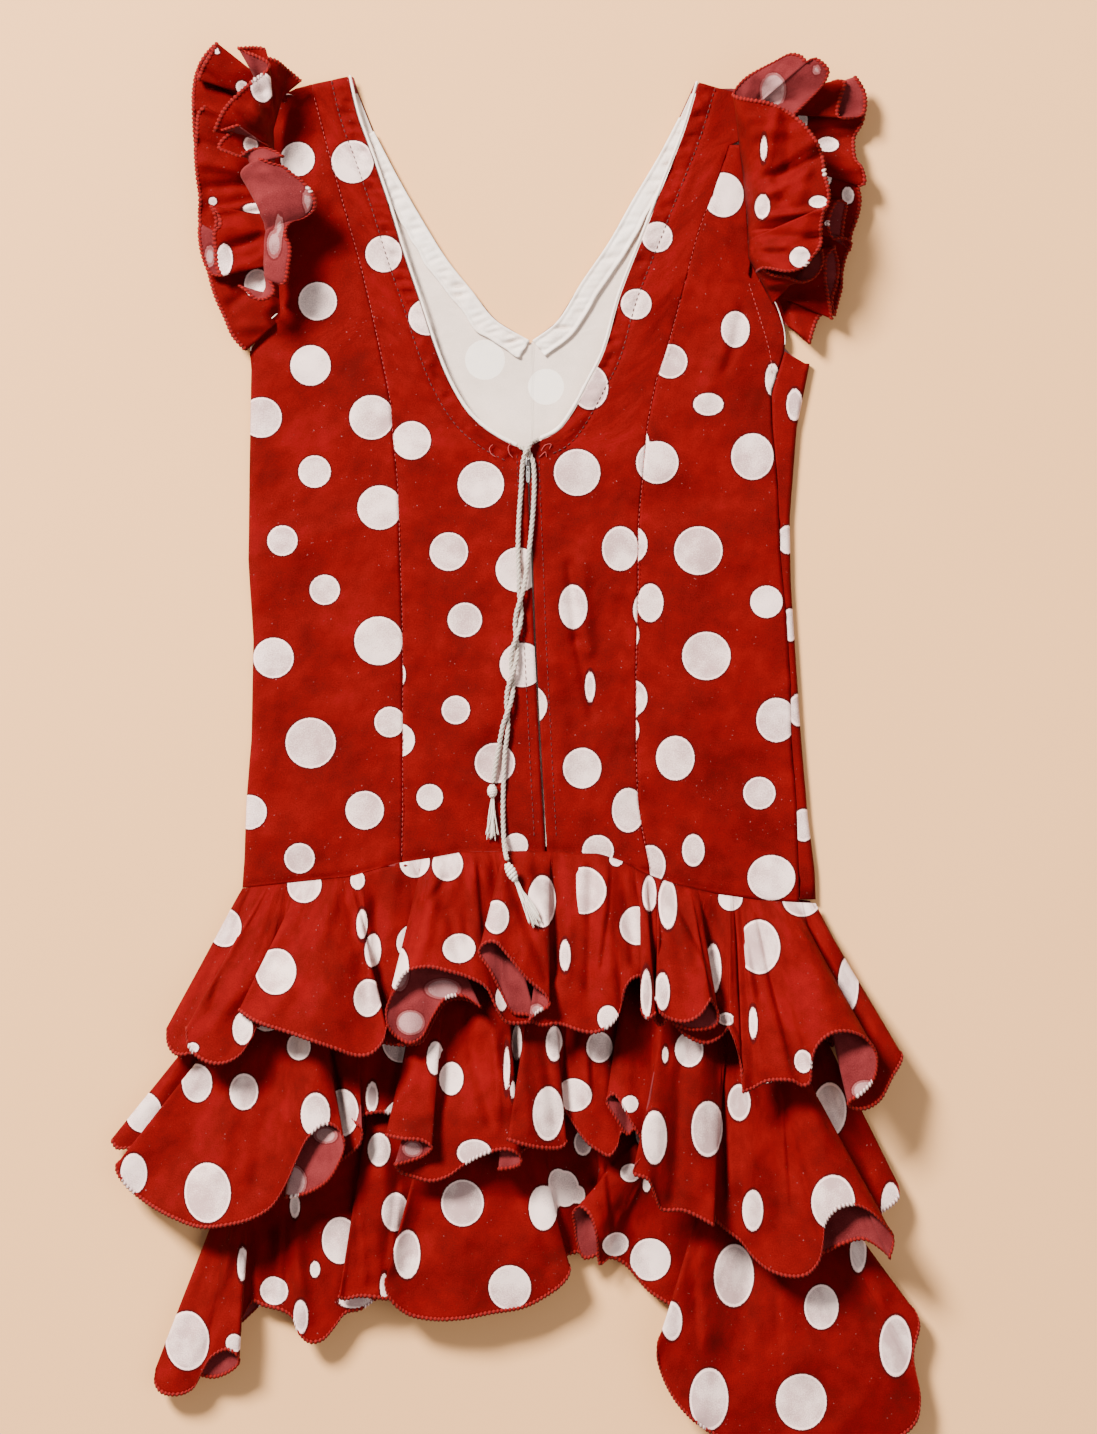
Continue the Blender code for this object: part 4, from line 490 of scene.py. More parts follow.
def finer(grid, steps):
    """A grid with each cell cut into steps × steps."""
    for axis in (0, 1):
        n = grid.shape[axis]
        at = np.linspace(0, n - 1, (n - 1) * steps + 1)
        low = np.minimum(at.astype(int), n - 2)
        share = (at - low).reshape((-1, 1, 1) if axis == 0 else (1, -1, 1))
        grid = np.take(grid, low, axis) * (1 - share) + np.take(grid, low + 1, axis) * share
    return grid


class Ground:
    """The height of whatever has been laid down so far."""

    def __init__(self):
        self.high = np.zeros(FIELD_SIZE)
        self.eased = self.high

    def cells(self, x, y):
        return (x - FIELD_LOW[0]) / CELL, (y - FIELD_LOW[1]) / CELL

    def lay(self, grid):
        """Raises the ground to the top of this piece of cloth."""
        p = finer(grid, 5).reshape(-1, 3)
        i, j = self.cells(p[:, 0], p[:, 1])
        i = np.clip(np.round(i).astype(int), 0, FIELD_SIZE[0] - 1)
        j = np.clip(np.round(j).astype(int), 0, FIELD_SIZE[1] - 1)
        np.maximum.at(self.high, (i, j), p[:, 2] + WALL / 2)
        self.eased = self.bridged(self.high)

    @staticmethod
    def bridged(high):
        """Widened by REACH_CELLS, then brought down at SLOPE, as cloth bridges over what it covers."""
        for step in range(REACH_CELLS + 22):
            drop = 0.0 if step < REACH_CELLS else SLOPE * CELL
            wide = np.pad(high, 1, mode="edge")
            best = high
            for di in (-1, 0, 1):
                for dj in (-1, 0, 1):
                    part = wide[1 + di : wide.shape[0] - 1 + di, 1 + dj : wide.shape[1] - 1 + dj]
                    best = np.maximum(best, part - drop * math.hypot(di, dj))
            high = best
        return high

    def at(self, x, y):
        i, j = self.cells(x, y)
        i = np.clip(i, 0, FIELD_SIZE[0] - 1.001)
        j = np.clip(j, 0, FIELD_SIZE[1] - 1.001)
        a, b = i.astype(int), j.astype(int)
        u, v = i - a, j - b
        h = self.eased
        low = h[a, b] * (1 - u) + h[a + 1, b] * u
        far = h[a, b + 1] * (1 - u) + h[a + 1, b + 1] * u
        return low * (1 - v) + far * v

    def near(self, x, y):
        """The highest cloth within a cell of here, with no bridging."""
        i, j = self.cells(x, y)
        a, b = int(i), int(j)
        return float(self.high[a : a + 2, b : b + 2].max())


def back_height(x):
    """The middle of the back bodice's wall: it lies highest along the centre back."""
    return BACK_Z + BACK_LOFT * np.clip(1 - (x / BODICE_HALF) ** 2, 0, 1)


def rounded(table):
    """The same rows, with each sharp turn of the hem opened into two rows, one above the other."""
    rows = [table[0]]
    for before, row, after in zip(table, table[1:], table[2:]):
        seam, x, y, lift = row[:4]
        back = Vector((x - before[1], y - before[2]))
        ahead = Vector((after[1] - x, after[2] - y))
        if back.angle(ahead) < SHARP_TURN:
            rows.append(row)
            continue
        for side in (-0.5, 0.5):
            at = None if seam is None else seam + side
            rows.append((at, x, y, lift + math.copysign(TURN_RISE, after[3] - before[3]) * side, *row[4:]))
    return [*rows, table[-1]]


def ruffle(table, seam, axis, across, ground, rise, steps=1):
    """The middle of a ruffle's wall: straight fold lines from the seam to a hem that waves."""
    table = rounded(table)
    hem = smooth([row[1:4] for row in table], steps)
    swing = np.array([row[4:6] or (0.0, 0.0) for row in table])
    bend = np.stack([np.interp(np.linspace(0, len(table) - 1, len(hem)), range(len(table)), column)
                     for column in swing.T], axis=1)
    walked = distance_along(hem)
    known = [i for i, row in enumerate(table) if row[0] is not None]
    at = np.interp(walked, walked[[i * steps for i in known]], [table[i][0] for i in known])
    other = line(seam, at)
    start = np.stack([at, other] if axis == 0 else [other, at], axis=1)
    t = np.linspace(0, 1, across + 1)[None, :]
    belly = 4 * t * (1 - t)
    x = start[:, :1] + (hem[:, :1] - start[:, :1]) * t + bend[:, :1] * belly
    y = start[:, 1:2] + (hem[:, 1:2] - start[:, 1:2]) * t + bend[:, 1:2] * belly
    lift = hem[:, 2:] * t**LIFT_POWER
    rest = ground(x, y)
    z = rest + WALL / 2 + lift + rise(start[:, :1]) * (1 - t) ** 2
    return spread(np.stack([x, y, z], axis=2), hem[:, 2], walked)


def bodice_height(x, y, left_edge=None):
    """The back bodice's height, with the curl down to its left side seam."""
    z = back_height(x)
    if left_edge is None:
        return z
    inside = np.clip((x - line(left_edge, y)) / CURL, 0, 1)
    low, high = CURL_TOP
    share = np.clip((high - y) / (high - low), 0, 1)
    drop = 1 - np.sqrt(1 - (1 - inside) ** 2)
    return z - (z - EDGE_Z) * drop * share


def zip_edge(side):
    """The panel's edge along the zip: y, x."""
    levels = sorted({y for y, _ in ZIP_LINE} | {y for y, _ in ZIP_HALF_GAP})
    return tuple((y, line(ZIP_LINE, y) + side * line(ZIP_HALF_GAP, y)) for y in levels)


def join_lines(below, above, at):
    """One outline from two tables: the first up to y = at, the second from there on."""
    return tuple(row for row in below if row[0] < at) + tuple(row for row in above if row[0] >= at)


def spread(grid, lifts, walked):
    """Raises the upper of any two layers that lie closer than FOLD_SPACE.

    A layer is a stretch of cloth from one turn to the next. Where two overlap, the one with the
    higher lifts there is the upper all over.
    """
    n, m = grid.shape[:2]
    ids = np.arange(n * m).reshape(n, m)
    a, b, c, d = ids[:-1, :-1], ids[1:, :-1], ids[1:, 1:], ids[:-1, 1:]
    faces = np.stack([np.stack([a, b, c], -1), np.stack([a, c, d], -1)]).reshape(-1, 3)
    corners = [(ids,) * 4, (a, b, a, b), (d, c, d, c), (b, c, b, c), (a, b, c, d)]
    samples = np.concatenate([np.stack(four, -1).reshape(-1, 4) for four in corners])
    flat = grid.reshape(-1, 3).copy()
    t = np.tile(np.linspace(0, 1, m), n)
    along = np.repeat(walked, m) * t
    level = np.repeat(lifts, m)
    p = flat[samples, :2].mean(axis=1)
    q = flat[faces, :2]
    base = q[:, 1] - q[:, 0]
    side = q[:, 2] - q[:, 0]
    area = base[:, 0] * side[:, 1] - base[:, 1] * side[:, 0]
    area = np.where(np.abs(area) < 1e-6, np.inf, area)
    found = []
    for start in range(0, len(p), 256):
        away = p[start : start + 256, None] - q[None, :, 0]
        u = (away[..., 0] * side[:, 1] - away[..., 1] * side[:, 0]) / area
        v = (base[:, 0] * away[..., 1] - base[:, 1] * away[..., 0]) / area
        i, j = np.nonzero((u >= 0) & (v >= 0) & (u + v <= 1))
        found.append(np.stack([i + start, j, 1 - u[i, j] - v[i, j], u[i, j], v[i, j]], 1))
    found = np.concatenate(found)
    who, face, share = found[:, 0].astype(int), found[:, 1].astype(int), found[:, 2:]
    apart = np.abs(along[samples[who]].mean(1) - (along[faces[face]] * share).sum(1))
    needed = FOLD_SPACE * np.clip((apart - 3.0) / 4.0, 0, 1)
    hem_turn = np.cross(grid[1:, -1, :2] - grid[:-1, -1, :2], grid[:-1, -1, :2] - grid[:-1, 0, :2])
    layer = np.concatenate([[0], np.cumsum(np.diff(np.sign(hem_turn)) != 0)])
    span = np.minimum(samples[who].mean(1) // m, n - 2).astype(int), faces[face].min(1) // m
    pair = layer[span[0]], layer[span[1]]
    votes = np.zeros((layer[-1] + 1, layer[-1] + 1))
    above = level[samples[who]].mean(1) - (level[faces[face]] * share).sum(1)
    np.add.at(votes, pair, above * (needed > 0))
    higher = np.sign((votes - votes.T)[pair])
    free = t > 0
    start = flat[:, 2].copy()
    for _ in range(SPREAD_PASSES):
        z = flat[:, 2]
        gap = higher * (z[samples[who]].mean(1) - (z[faces[face]] * share).sum(1)) - needed
        short = np.where(gap < 0, -gap, 0) * 0.5
        raised = np.zeros(len(z))
        for k in range(4):
            np.maximum.at(raised, samples[who, k], np.where(higher > 0, short, 0))
        for k in range(3):
            np.maximum.at(raised, faces[face, k], np.where(higher < 0, short, 0))
        flat[:, 2] = np.minimum(z + raised * free, start + MOST_RAISED)
    return flat.reshape(grid.shape)


def panel(left, right, levels, columns, bottom, top):
    """A flat panel between two side lines; the first and last levels follow their own lines."""
    u = np.asarray(columns, float)[:, None]
    y = np.repeat(np.asarray(levels, float)[None, :], len(u), axis=0)
    for _ in range(4):
        x = line(left, y) * (1 - u) + line(right, y) * u
        if bottom is not None:
            y[:, 0] = line(bottom, x[:, 0])
        if top is not None:
            y[:, -1] = line(top, x[:, -1])
    return np.stack([x, y, 0 * x], axis=2)


def cord_height(x, y, ground):
    """The middle of a cord that lies here."""
    return ground.near(x, y) + SEAM_GAP + CORD_RADIUS


def spaced(points, step):
    """The same curve with even steps."""
    p = np.asarray(points, float)
    walked = distance_along(p)
    count = max(2, int(round(walked[-1] / step)) + 1)
    at = np.linspace(0, walked[-1], count)
    return np.stack([np.interp(at, walked, p[:, k]) for k in range(3)], axis=1)


# Dots that show from above, in millimetres: x, y, half width, half height.
PANEL_DOTS = {
    "back_side_left": (
        (-117, 345, 8.5, 8.5), (-89.5, 343.5, 10.5, 10.5), (-74, 297.5, 9, 9), (-107, 274, 9.5, 9.5),
        (-110.5, 242, 10, 10), (-80, 216, 11, 11), (-135, 216, 10, 10), (-108.5, 189, 8, 8),
        (-124.5, 154.5, 7.5, 7.5), (-76, 171, 11, 11), (-103.5, 130, 7.5, 7.5), (-129, 96, 10, 10),
        (-76.5, 104.5, 12, 12), (-110.5, 53.5, 12.5, 12.5), (-71, 64, 7.5, 7.5), (-83.5, 20, 9.5, 9.5),
        (-116, -4, 7.5, 7.5), (-141, 19, 8.5, 8.5),
    ),
    "back_centre_left": (
        (-52.5, 266, 9, 9), (-60, 204.5, 9.5, 9.5), (-25.5, 182.5, 11.5, 11.5), (-41.5, 149, 9.5, 9.5),
        (-7, 140, 11, 11), (-33.5, 115, 8.5, 8.5), (-73, 87.5, 10, 10), (-5, 92.5, 11, 11),
        (-38, 70, 7, 7), (-67, 55, 8.5, 8.5), (-18.5, 43.5, 10, 10), (-51, 26.5, 6.5, 6.5),
        (-8, 2.5, 6, 6), (-89.5, 343.5, 10.5, 10.5), (-74, 297.5, 9, 9),
    ),
    "back_centre_right": (
        (62.5, 306, 7.5, 7.5), (52, 272.5, 7.5, 7.5), (29, 231, 9, 11), (22.5, 188.5, 11.5, 11.5),
        (44, 150.5, 9, 11), (20.5, 121.5, 7, 11), (29, 81.5, 2.5, 7.5), (25, 41, 9.5, 10),
        (48, 20, 8, 11), (-2, 72.5, 9.5, 10), (32.9, -0.3, 7.8, 7.8), (62.5, 193.5, 10.5, 10.5),
        (58, 120, 7.5, 10),
    ),
    "back_side_right": (
        (95.5, 327, 10, 11), (101.5, 260, 7, 9), (69, 244, 8.5, 8.5), (88, 222.5, 7.5, 5.5),
        (62.5, 193.5, 10.5, 10.5), (51, 202.5, 7.5, 10), (110, 196.5, 10.5, 11.5), (83, 149.5, 12, 12),
        (50, 152.5, 7.5, 9), (59, 123.5, 6.5, 9.5), (117, 124, 8, 8), (87, 97, 12, 12),
        (46, 107.5, 7.5, 9), (50, 76, 7.5, 9), (46, 60, 7.5, 9), (71.5, 46, 9.5, 11),
        (113.5, 28.5, 8, 8), (122, 65, 10, 11), (119.5, -13.7, 11.8, 11.2), (80.5, 0, 5.5, 8),
        (59, -7.5, 7.5, 10), (120, 235, 3.5, 8), (101, 360.5, 3, 5),
    ),
    "front_bodice": (
        (131, 222.5, 4, 8), (127.5, 155, 5, 7), (129, 112.5, 4.5, 8), (133, 70, 5, 8),
        (135.5, 12.5, 6, 8),
    ),
}
RUFFLE_DOTS = {
    "flounce_1_back": (
        (-113.5, -17.5, 8.5, 8.5), (-87, -15, 3.5, 4.5), (-153, -38.5, 8.5, 9.5),
        (-126.5, -59.5, 10, 11), (-81, -72.5, 7, 9), (-84.5, -36.5, 2.5, 7), (-79, -49.5, 4, 8),
        (-65.5, -58.5, 5, 10.5), (-143, -87.5, 5, 8), (-167.5, -97, 3, 2.5), (-58.5, -6, 7.5, 7.5),
        (-42, -7, 7.5, 8), (-17.5, -32.5, 6, 8), (5, -25, 7, 12.5), (25.8, -19.8, 11, 11.4, 1, 22.3),
        (42, -4.5, 3.5, 3.5), (52, -37.2, 8.5, 9.3, -1, 53.8),
        (58.5, -21.5, 3.5, 8.5), (67.5, -26.5, 4.5, 12),
        (99, -24, 6, 6), (-36, -48, 8, 7), (16.5, -51.5, 2.5, 7.5), (37.5, -82, 5, 6),
        (56.5, -70.5, 2.5, 12), (64.5, -69, 3.5, 9), (90, -58.5, 4, 12), (2.5, -78, 3.5, 3),
        (113, -47.8, 10.3, 13.2, 1, 105.8), (134.5, -25, 9.5, 8),
        (157.5, -66.5, 5, 13.5), (109.5, -85, 2, 7.5),
        (134, -103.5, 4.5, 5.5), (164.5, -118, 6.5, 5), (-60, -84.5, 7, 6), (-44, -68, 9, 5),
        (-15, -72.5, 3, 6), (96, -83, 4, 3),
    ),
    "flounce_2_back": (
        (-115.5, -97, 6, 6.5), (-166.5, -115.5, 7.5, 9.5), (-143, -119.5, 7, 9),
        (-193.5, -130.5, 9, 10), (-198, -160.5, 6.5, 10), (-160.5, -169, 11.5, 14.5),
        (-107, -130, 7, 10.5), (-94, -130, 8, 11.5), (-79.5, -122.5, 3, 7.5), (-48, -102.5, 4, 8),
        (-40, -113, 6, 8), (-28.5, -149, 8.5, 6.5), (-12.5, -107.5, 1.5, 10), (-9.5, -118, 1, 4),
        (8, -129.5, 7.5, 13), (-7.5, -95.5, 2.5, 8.5), (11, -95.5, 4, 8.5), (33.5, -97.5, 6.5, 7.5),
        (21, -121, 8.5, 8), (48.5, -125, 4, 4), (60.5, -141, 6, 13), (78, -98.5, 7, 8.5),
        (66, -101, 1.5, 4), (87, -137.5, 8, 13.5), (103, -125, 5.5, 9), (148, -129, 8.5, 13.5),
        (109.5, -178, 5, 10), (149, -173.5, 10.5, 13.5), (178.5, -177, 5, 11.5),
        (-118.5, -163.5, 7, 8), (-102, -140.5, 6, 4), (-59, -147, 5, 4),
    ),
    "flounce_3_back": (
        (-171.5, -244, 11, 14.5), (-144, -205.5, 2.5, 8), (-148, -244.5, 4, 4.5),
        (-128.5, -219.5, 7, 7), (-118, -177, 2.5, 6), (-95.5, -194, 9, 11.5), (-108, -208.5, 2.5, 4),
        (-115, -232, 3.5, 8.5), (-87.5, -224.5, 9, 3.5), (-73.5, -216.5, 2, 6.5), (-76, -148.5, 5.5, 8),
        (-68, -179.5, 6.5, 9.5), (-62, -200.5, 6.5, 12), (-34.5, -175, 10.5, 11.5),
        (5.5, -177.5, 7, 11), (-11, -217, 10.5, 11), (16.5, -168.5, 7, 9), (13, -164.5, 5, 6),
        (25.5, -145.5, 4.5, 6.5), (23.5, -171.5, 3, 4.5), (41.5, -196, 6.5, 6), (49, -160, 5, 4.5),
        (57, -166, 2, 4), (59, -204, 10, 10.5), (100.5, -211.5, 10, 15.5), (144, -227, 8.5, 11),
        (181, -246.5, 8, 15), (134, -274, 12.5, 14), (88, -272.5, 9.5, 15.5), (69.5, -233.5, 5, 9.5),
        (162.5, -200, 4, 10),
    ),
    "frill_left": (
        (-156.5, 397.5, 1.5, 1.5), (-144.5, 380.5, 3, 3), (-148, 374, 1.5, 1.5), (-133.5, 378, 5.5, 7),
        (-139.5, 350.5, 3.5, 4), (-111.5, 379, 2.5, 3), (-159, 323.5, 2, 2), (-138, 320, 6, 2.5),
        (-160.5, 296, 2.5, 5.5), (-153, 294, 4, 8), (-111, 322.5, 2.5, 7), (-125, 309, 2, 6.5),
        (-127.5, 300.5, 3.5, 7), (-117.5, 303, 2.5, 5.5), (-137, 282.5, 6.5, 7.5),
    ),
    "frill_right": (
        (119.5, 377, 6.5, 8.5), (141, 387, 2, 2.5), (135, 364.5, 2.5, 5), (115, 348, 1.5, 6),
        (147.5, 352, 5.5, 4), (147, 336, 2.5, 4.5), (157.5, 326.5, 3, 4.5), (114.5, 319.5, 3.5, 6),
        (141.5, 321, 4.5, 3), (132.5, 293.5, 5, 5), (147, 312, 1.5, 1.5),
    ),
}

CLOTH = 0.5  # thickness of the cloth that shows
LIES = 0.03  # from the floor to what lies on it
FINE = 2.0  # between the points of a ruffle
PANEL_FINE = 1.9
HIDDEN_FINE = 4.0
TURN_WEIGHT = 2.5  # extra points for each radian that a hem turns
DOT_RADIUS = 10.0
DOT_SPACE = 36.0
FAR = 12.0  # the dot attribute away from any dot
HIGH = 300.0  # well above everything


LINING_DOTS = ((-23.5, 245, 10), (7, 231.5, 9))
BACK = ("back_side_left", "back_centre_left", "back_centre_right", "back_side_right")
SEAMS_BESIDE = {
    "back_side_left": (LEFT_PRINCESS,),
    "back_centre_left": (LEFT_PRINCESS,),
    "back_centre_right": (RIGHT_PRINCESS,),
    "back_side_right": (RIGHT_PRINCESS, RIGHT_SIDE_SEAM),
}
# Creases of the back bodice: x, y at both ends, half width, height.
BODICE_CREASES = (
    (18.5, 142, 22, 105, 2.6, -0.9),
    (25, 142, 28, 100, 3.5, 0.7),
    (22, 105, 30, 68, 2.6, -0.8),
    (105, 268, 97, 240, 3.0, -0.8),
    (99, 256, 86, 226, 4.5, 0.6),
    (-128, 255, -96, 236, 5.0, -0.6),
    (-96, 332, -80, 310, 4.0, -0.5),
    (-60, 40, -20, 62, 8.0, 0.5),
    (40, 30, 108, 52, 9.0, 0.5),
    (-132, 150, -80, 166, 8.0, 0.5),
    (60, 172, 118, 182, 8.0, -0.5),
    (-10, 90, -22, 40, 5.0, -0.5),
    (11, 92, 15, 40, 5.0, 0.5),
    (100, 92, 62, 60, 8.0, 0.4),
    (-120, 60, -90, 20, 7.0, -0.4),
)
# The same for the flounces, tier by tier: soft valleys and ridges of the lying cloth.
FLOUNCE_CREASES = {
    "flounce_1_back": (
        (-151, -35, -158, -78, 3, -1.3), (-144, -25, -165, -80, 4, 0.9),
        (-122, -48, -146, -82, 5, -1.6), (-113, -60, -136, -88, 4, 0.9),
        (-98, -20, -106, -60, 5, 0.8), (-90, -30, -82, -75, 3.5, -0.9),
        (-80, -12, -77, -62, 3.5, -1.4), (-66, -9, -74, -50, 4, 1.2), (-55, -6, -61, -50, 3.2, -1.5),
        (-47, -6, -52, -44, 3.5, 1.3), (-40, -12, -54, -28, 2.5, -1.0), (-42, -30, -36, -52, 2.5, -0.9),
        (-33, -6, -32, -44, 3, -1.3), (-24, -5, -18, -45, 3.5, 1.1), (-12, -12, 8, -62, 3, -1.6),
        (-3, -8, 15, -52, 3.2, 1.2), (9, -6, 12, -60, 2.6, -1.4), (20, -10, 17, -62, 3.2, 1.3),
        (30, -8, 28, -68, 2.8, -1.6), (39, -10, 38, -60, 3.2, 1.2), (46, -12, 50, -55, 2.6, -1.8),
        (66, -22, 88, -62, 4, 1.2), (72, -25, 102, -105, 3.5, -1.7), (86, -25, 96, -60, 4, 0.9),
        (104, -24, 113, -72, 2.4, -1.5), (112, -50, 133, -104, 4.5, -1.3), (122, -30, 128, -80, 5, 0.9),
        (130, -30, 160, -84, 5, -0.9),
    ),
    "flounce_2_back": (
        (-150, -100, -172, -150, 5, -1.1), (-141, -100, -156, -158, 6, 0.9),
        (-126, -102, -136, -165, 5, -1.2), (-118, -104, -121, -132, 5, 0.8),
        (-100, -98, -96, -130, 4, -1.4), (-76, -95, -77, -126, 4, -1.5), (-60, -90, -70, -138, 3.5, -1.3),
        (-45, -82, -52, -130, 4.5, 1.2), (-34, -84, -20, -134, 3.5, -1.5), (-25, -85, -10, -124, 4, 1.1),
        (-14, -92, -14, -138, 2.5, -1.2), (-6, -92, -2, -136, 3.5, 1.1), (5, -90, 12, -136, 3, -1.3),
        (24, -94, 30, -128, 3.5, 1.0), (38, -94, 42, -122, 3, -1.2), (62, -98, 60, -130, 4, 1.2),
        (74, -106, 70, -172, 3.5, -1.4), (84, -100, 84, -165, 4.5, 1.1), (93, -96, 95, -172, 3.0, -1.8),
        (107, -112, 108, -188, 5, 0.9), (122, -105, 124, -190, 5, -0.9), (140, -112, 146, -178, 5, 0.9),
        (150, -110, 166, -160, 5, -0.9),
    ),
    "flounce_3_back": (
        (-150, -188, -166, -240, 4, 1.1), (-141, -190, -141, -222, 4, -1.5),
        (-120, -190, -112, -232, 4, 1.2), (-131, -190, -131, -222, 4.5, -2.6),
        (-88, -150, -80, -215, 4, -1.4), (-74, -150, -68, -205, 4, 1.1), (-54, -172, -61, -204, 5, -0.9),
        (-30, -200, -22, -224, 6, -0.7), (0, -172, 10, -204, 4, -1.0), (26, -160, 36, -192, 3.5, 1.0),
        (46, -178, 60, -212, 4, -1.1), (78, -190, 82, -226, 5, -1.1), (108, -206, 105, -240, 5, -0.8),
        (88, -240, 82, -280, 6, 0.8), (150, -195, 168, -232, 5, -1.0), (172, -225, 180, -262, 5, 0.8),
        (120, -246, 128, -286, 7, -0.7),
    ),
}
FLOUNCE_CREASES["frill_right_upper"] = (
    (144, 345, 122, 333, 2.2, -1.8), (122, 333, 124, 322, 2.2, -1.5), (121, 366, 116, 338, 2.6, 1.6),
    (128, 360, 126, 336, 3, -1.2), (138, 350, 132, 322, 3.5, 1.2), (136, 336, 118, 326, 2.5, 1.4),
    (146, 318, 112, 313, 2, 1.6), (142, 303, 114, 305, 2.4, -1.8), (138, 297, 116, 300, 2.2, 1.5),
    (110, 300, 122, 302, 1.6, -1.4), (108, 294, 118, 296, 1.6, -1.2), (130, 372, 112, 380, 2.5, -0.9),
)
FLOUNCE_CREASES["frill_left_upper"] = (
    (-136, 390, -130, 366, 2.5, -1.5), (-144, 376, -131, 360, 2.2, 1.3), (-150, 368, -134, 352, 2.4, -1.4),
    (-131, 384, -126, 372, 2, 1.2), (-140, 352, -130, 350, 1.6, -1.2), (-130, 336, -116, 326, 3, 0.9),
    (-126, 318, -112, 322, 2.2, -0.8),
)
FLOUNCE_CREASES["frill_left_lower"] = (
    (-164, 388, -148, 376, 1.8, -1.4), (-168, 370, -146, 366, 2.2, 1.2), (-165, 352, -140, 345, 2.6, -1.6),
    (-164, 342, -145, 338, 2.4, 1.3), (-162, 330, -140, 332, 2.6, -1.5), (-158, 318, -134, 322, 2.0, 1.6),
    (-150, 300, -134, 306, 2.4, -1.4), (-148, 290, -132, 296, 2.4, 1.2), (-150, 272, -134, 284, 2.6, -1.3),
)
FLOUNCE_CREASES["frill_right_lower"] = (
    (165, 366, 136, 362, 2, 1.4), (162, 356, 138, 352, 2.4, -1.6), (163, 340, 140, 338, 2.4, 1.3),
    (158, 330, 140, 330, 2, -1.3), (152, 284, 132, 278, 2.4, -1.4), (148, 272, 130, 272, 2.0, 1.3),
)
# Pressed folds: x, y at both ends, -1 where the left side stands up or 1 for the right, width, height.
PLEATS = {
    "flounce_1_back": (
        (38.7, -3, 37.3, -28, 1, 12, 2.2), (37.3, -28, 33.3, -59, 1, 12, 2.4),
        (62, -22, 63.3, -44, 1, 9, 2.4), (63.3, -44, 60, -63, 1, 9, 2.2),
        (104.9, -24, 106.7, -59, -1, 9, 1.9), (106.7, -59, 112, -112, -1, 9, 2.2),
        (111.3, -34, 117, -61, 1, 7, 1.7), (117, -61, 128, -110, 1, 7, 1.9),
        (72.7, -30, 84, -52.3, 1, 10, 1.8), (84, -52.3, 104, -96.3, 1, 10, 2.2),
        (24.2, -6, 21.6, -31, -1, 7, 1.2), (-50.7, -8, -54.7, -35, -1, 9, 2.0),
        (-54.7, -35, -61.3, -58, -1, 9, 2.2), (-28, -5, -24.6, -42, 1, 8, 1.6),
        (10.6, -6, 12.7, -30, -1, 8, 1.6), (-87, -16, -82, -40, -1, 8, 1.6),
        (-82, -40, -80, -70, -1, 8, 1.8),
    ),
    "flounce_2_back": (
        (-100, -98, -93, -128, -1, 10, 1.8), (-62, -92, -69, -128, -1, 9, 2.0),
        (-20, -92, -17, -130, -1, 9, 1.8),
        (28, -92, 29, -124, 1, 8, 1.8), (95, -104, 98, -168, -1, 12, 2.2),
        (124, -118, 128, -176, 1, 12, 1.5),
    ),
    "flounce_3_back": (
        (-124, -184, -124, -224, 1, 10, 2.0), (-88, -160, -84, -214, -1, 9, 1.8),
        (-66, -166, -72, -208, -1, 10, 1.6),
        (36, -156, 40, -196, 1, 9, 1.8), (82, -198, 84, -246, -1, 12, 1.6),
        (122, -214, 126, -262, -1, 14, 1.2),
    ),
    "frill_right_upper": (
        (152, 353, 136, 347, 1, 8, 1.5), (136, 347, 118, 336, 1, 8, 1.5), (128, 333, 122, 322, 1, 6, 1.2),
        (148, 317, 116, 316, -1, 8, 2.0), (146, 308, 124, 298, 1, 6, 1.2),
    ),
    "frill_left_upper": ((-148, 372, -130, 362, 1, 7, 1.2), (-150, 358, -130, 352, -1, 6, 1.2)),
}
PLEAT_EDGE = 1.6  # over which a pressed fold steps up
PLEAT_DEPTH = 1.35  # times the heights in PLEATS
CREASE_DEPTH = 1.6  # times the heights in FLOUNCE_CREASES
GATHER_DEPTH = 0.9  # of the gathers at a ruffle's seam
HIDDEN_GATHER_DEPTH = 0.3
FLUTE_DEPTH = 0.9
CREASE_SOFT = 0.03
SEAM_OVER = {"flounce_1_back": HIP_SEAM, "flounce_2_back": SEAM_2, "flounce_3_back": SEAM_3}
FLOUNCE_DEPTH = 85.0  # from its seam, where the relief is that of the hem
FRILL_DEPTH = 42.0
FAN = 0.003  # how fast the flutes of the flounces spread towards the hem
LOW_MOST = 3.5  # the relief goes no deeper than this
OVER_FRILL = 4.2  # the back panels' least height beside the lower frills
STRIP_FROM = 240  # above this y
NECK_FOOT = 205  # y of the U neck's foot
NECK_STITCH = 9.5  # from the neck's edge to its stitching
ZIP_STITCH = 5.5  # and from the zip's line
STITCH_DIP = 1.2  # half the width of the dip along a seam or a row of stitching
LINE_STEP = 1.5
PIPING_STEP = 0.7
SLIVER_TOP = 31  # y where the lining stops showing in the zip
# Rows of stitches: their length, the gap between two, and the thread's radius.
NECK_SEWING = (2.0, 0.8, 0.22)
SEAM_SEWING = (1.8, 0.7, 0.14)
ZIP_SEWING = (2.2, 0.8, 0.17)
STITCH_LIFT = 0.3  # off the cloth
SEAM_LIFT = 0.12
EDGE_LIFT = 0.1
EDGE_RADIUS = 0.26
LOOSE_RADIUS = 0.16
LOOSE_LIFT = 0.4
THREAD = 0.42  # from one thread of the weave to the next
STITCH = 2.1  # from one overlock stitch to the next
OVERLOCK_STEP = 0.55
OVERLOCK_WIDE = 1.05
COIL_STEP = 0.3
COIL_Z = 4.4
ZIP_SLIVER_Z = 6.2
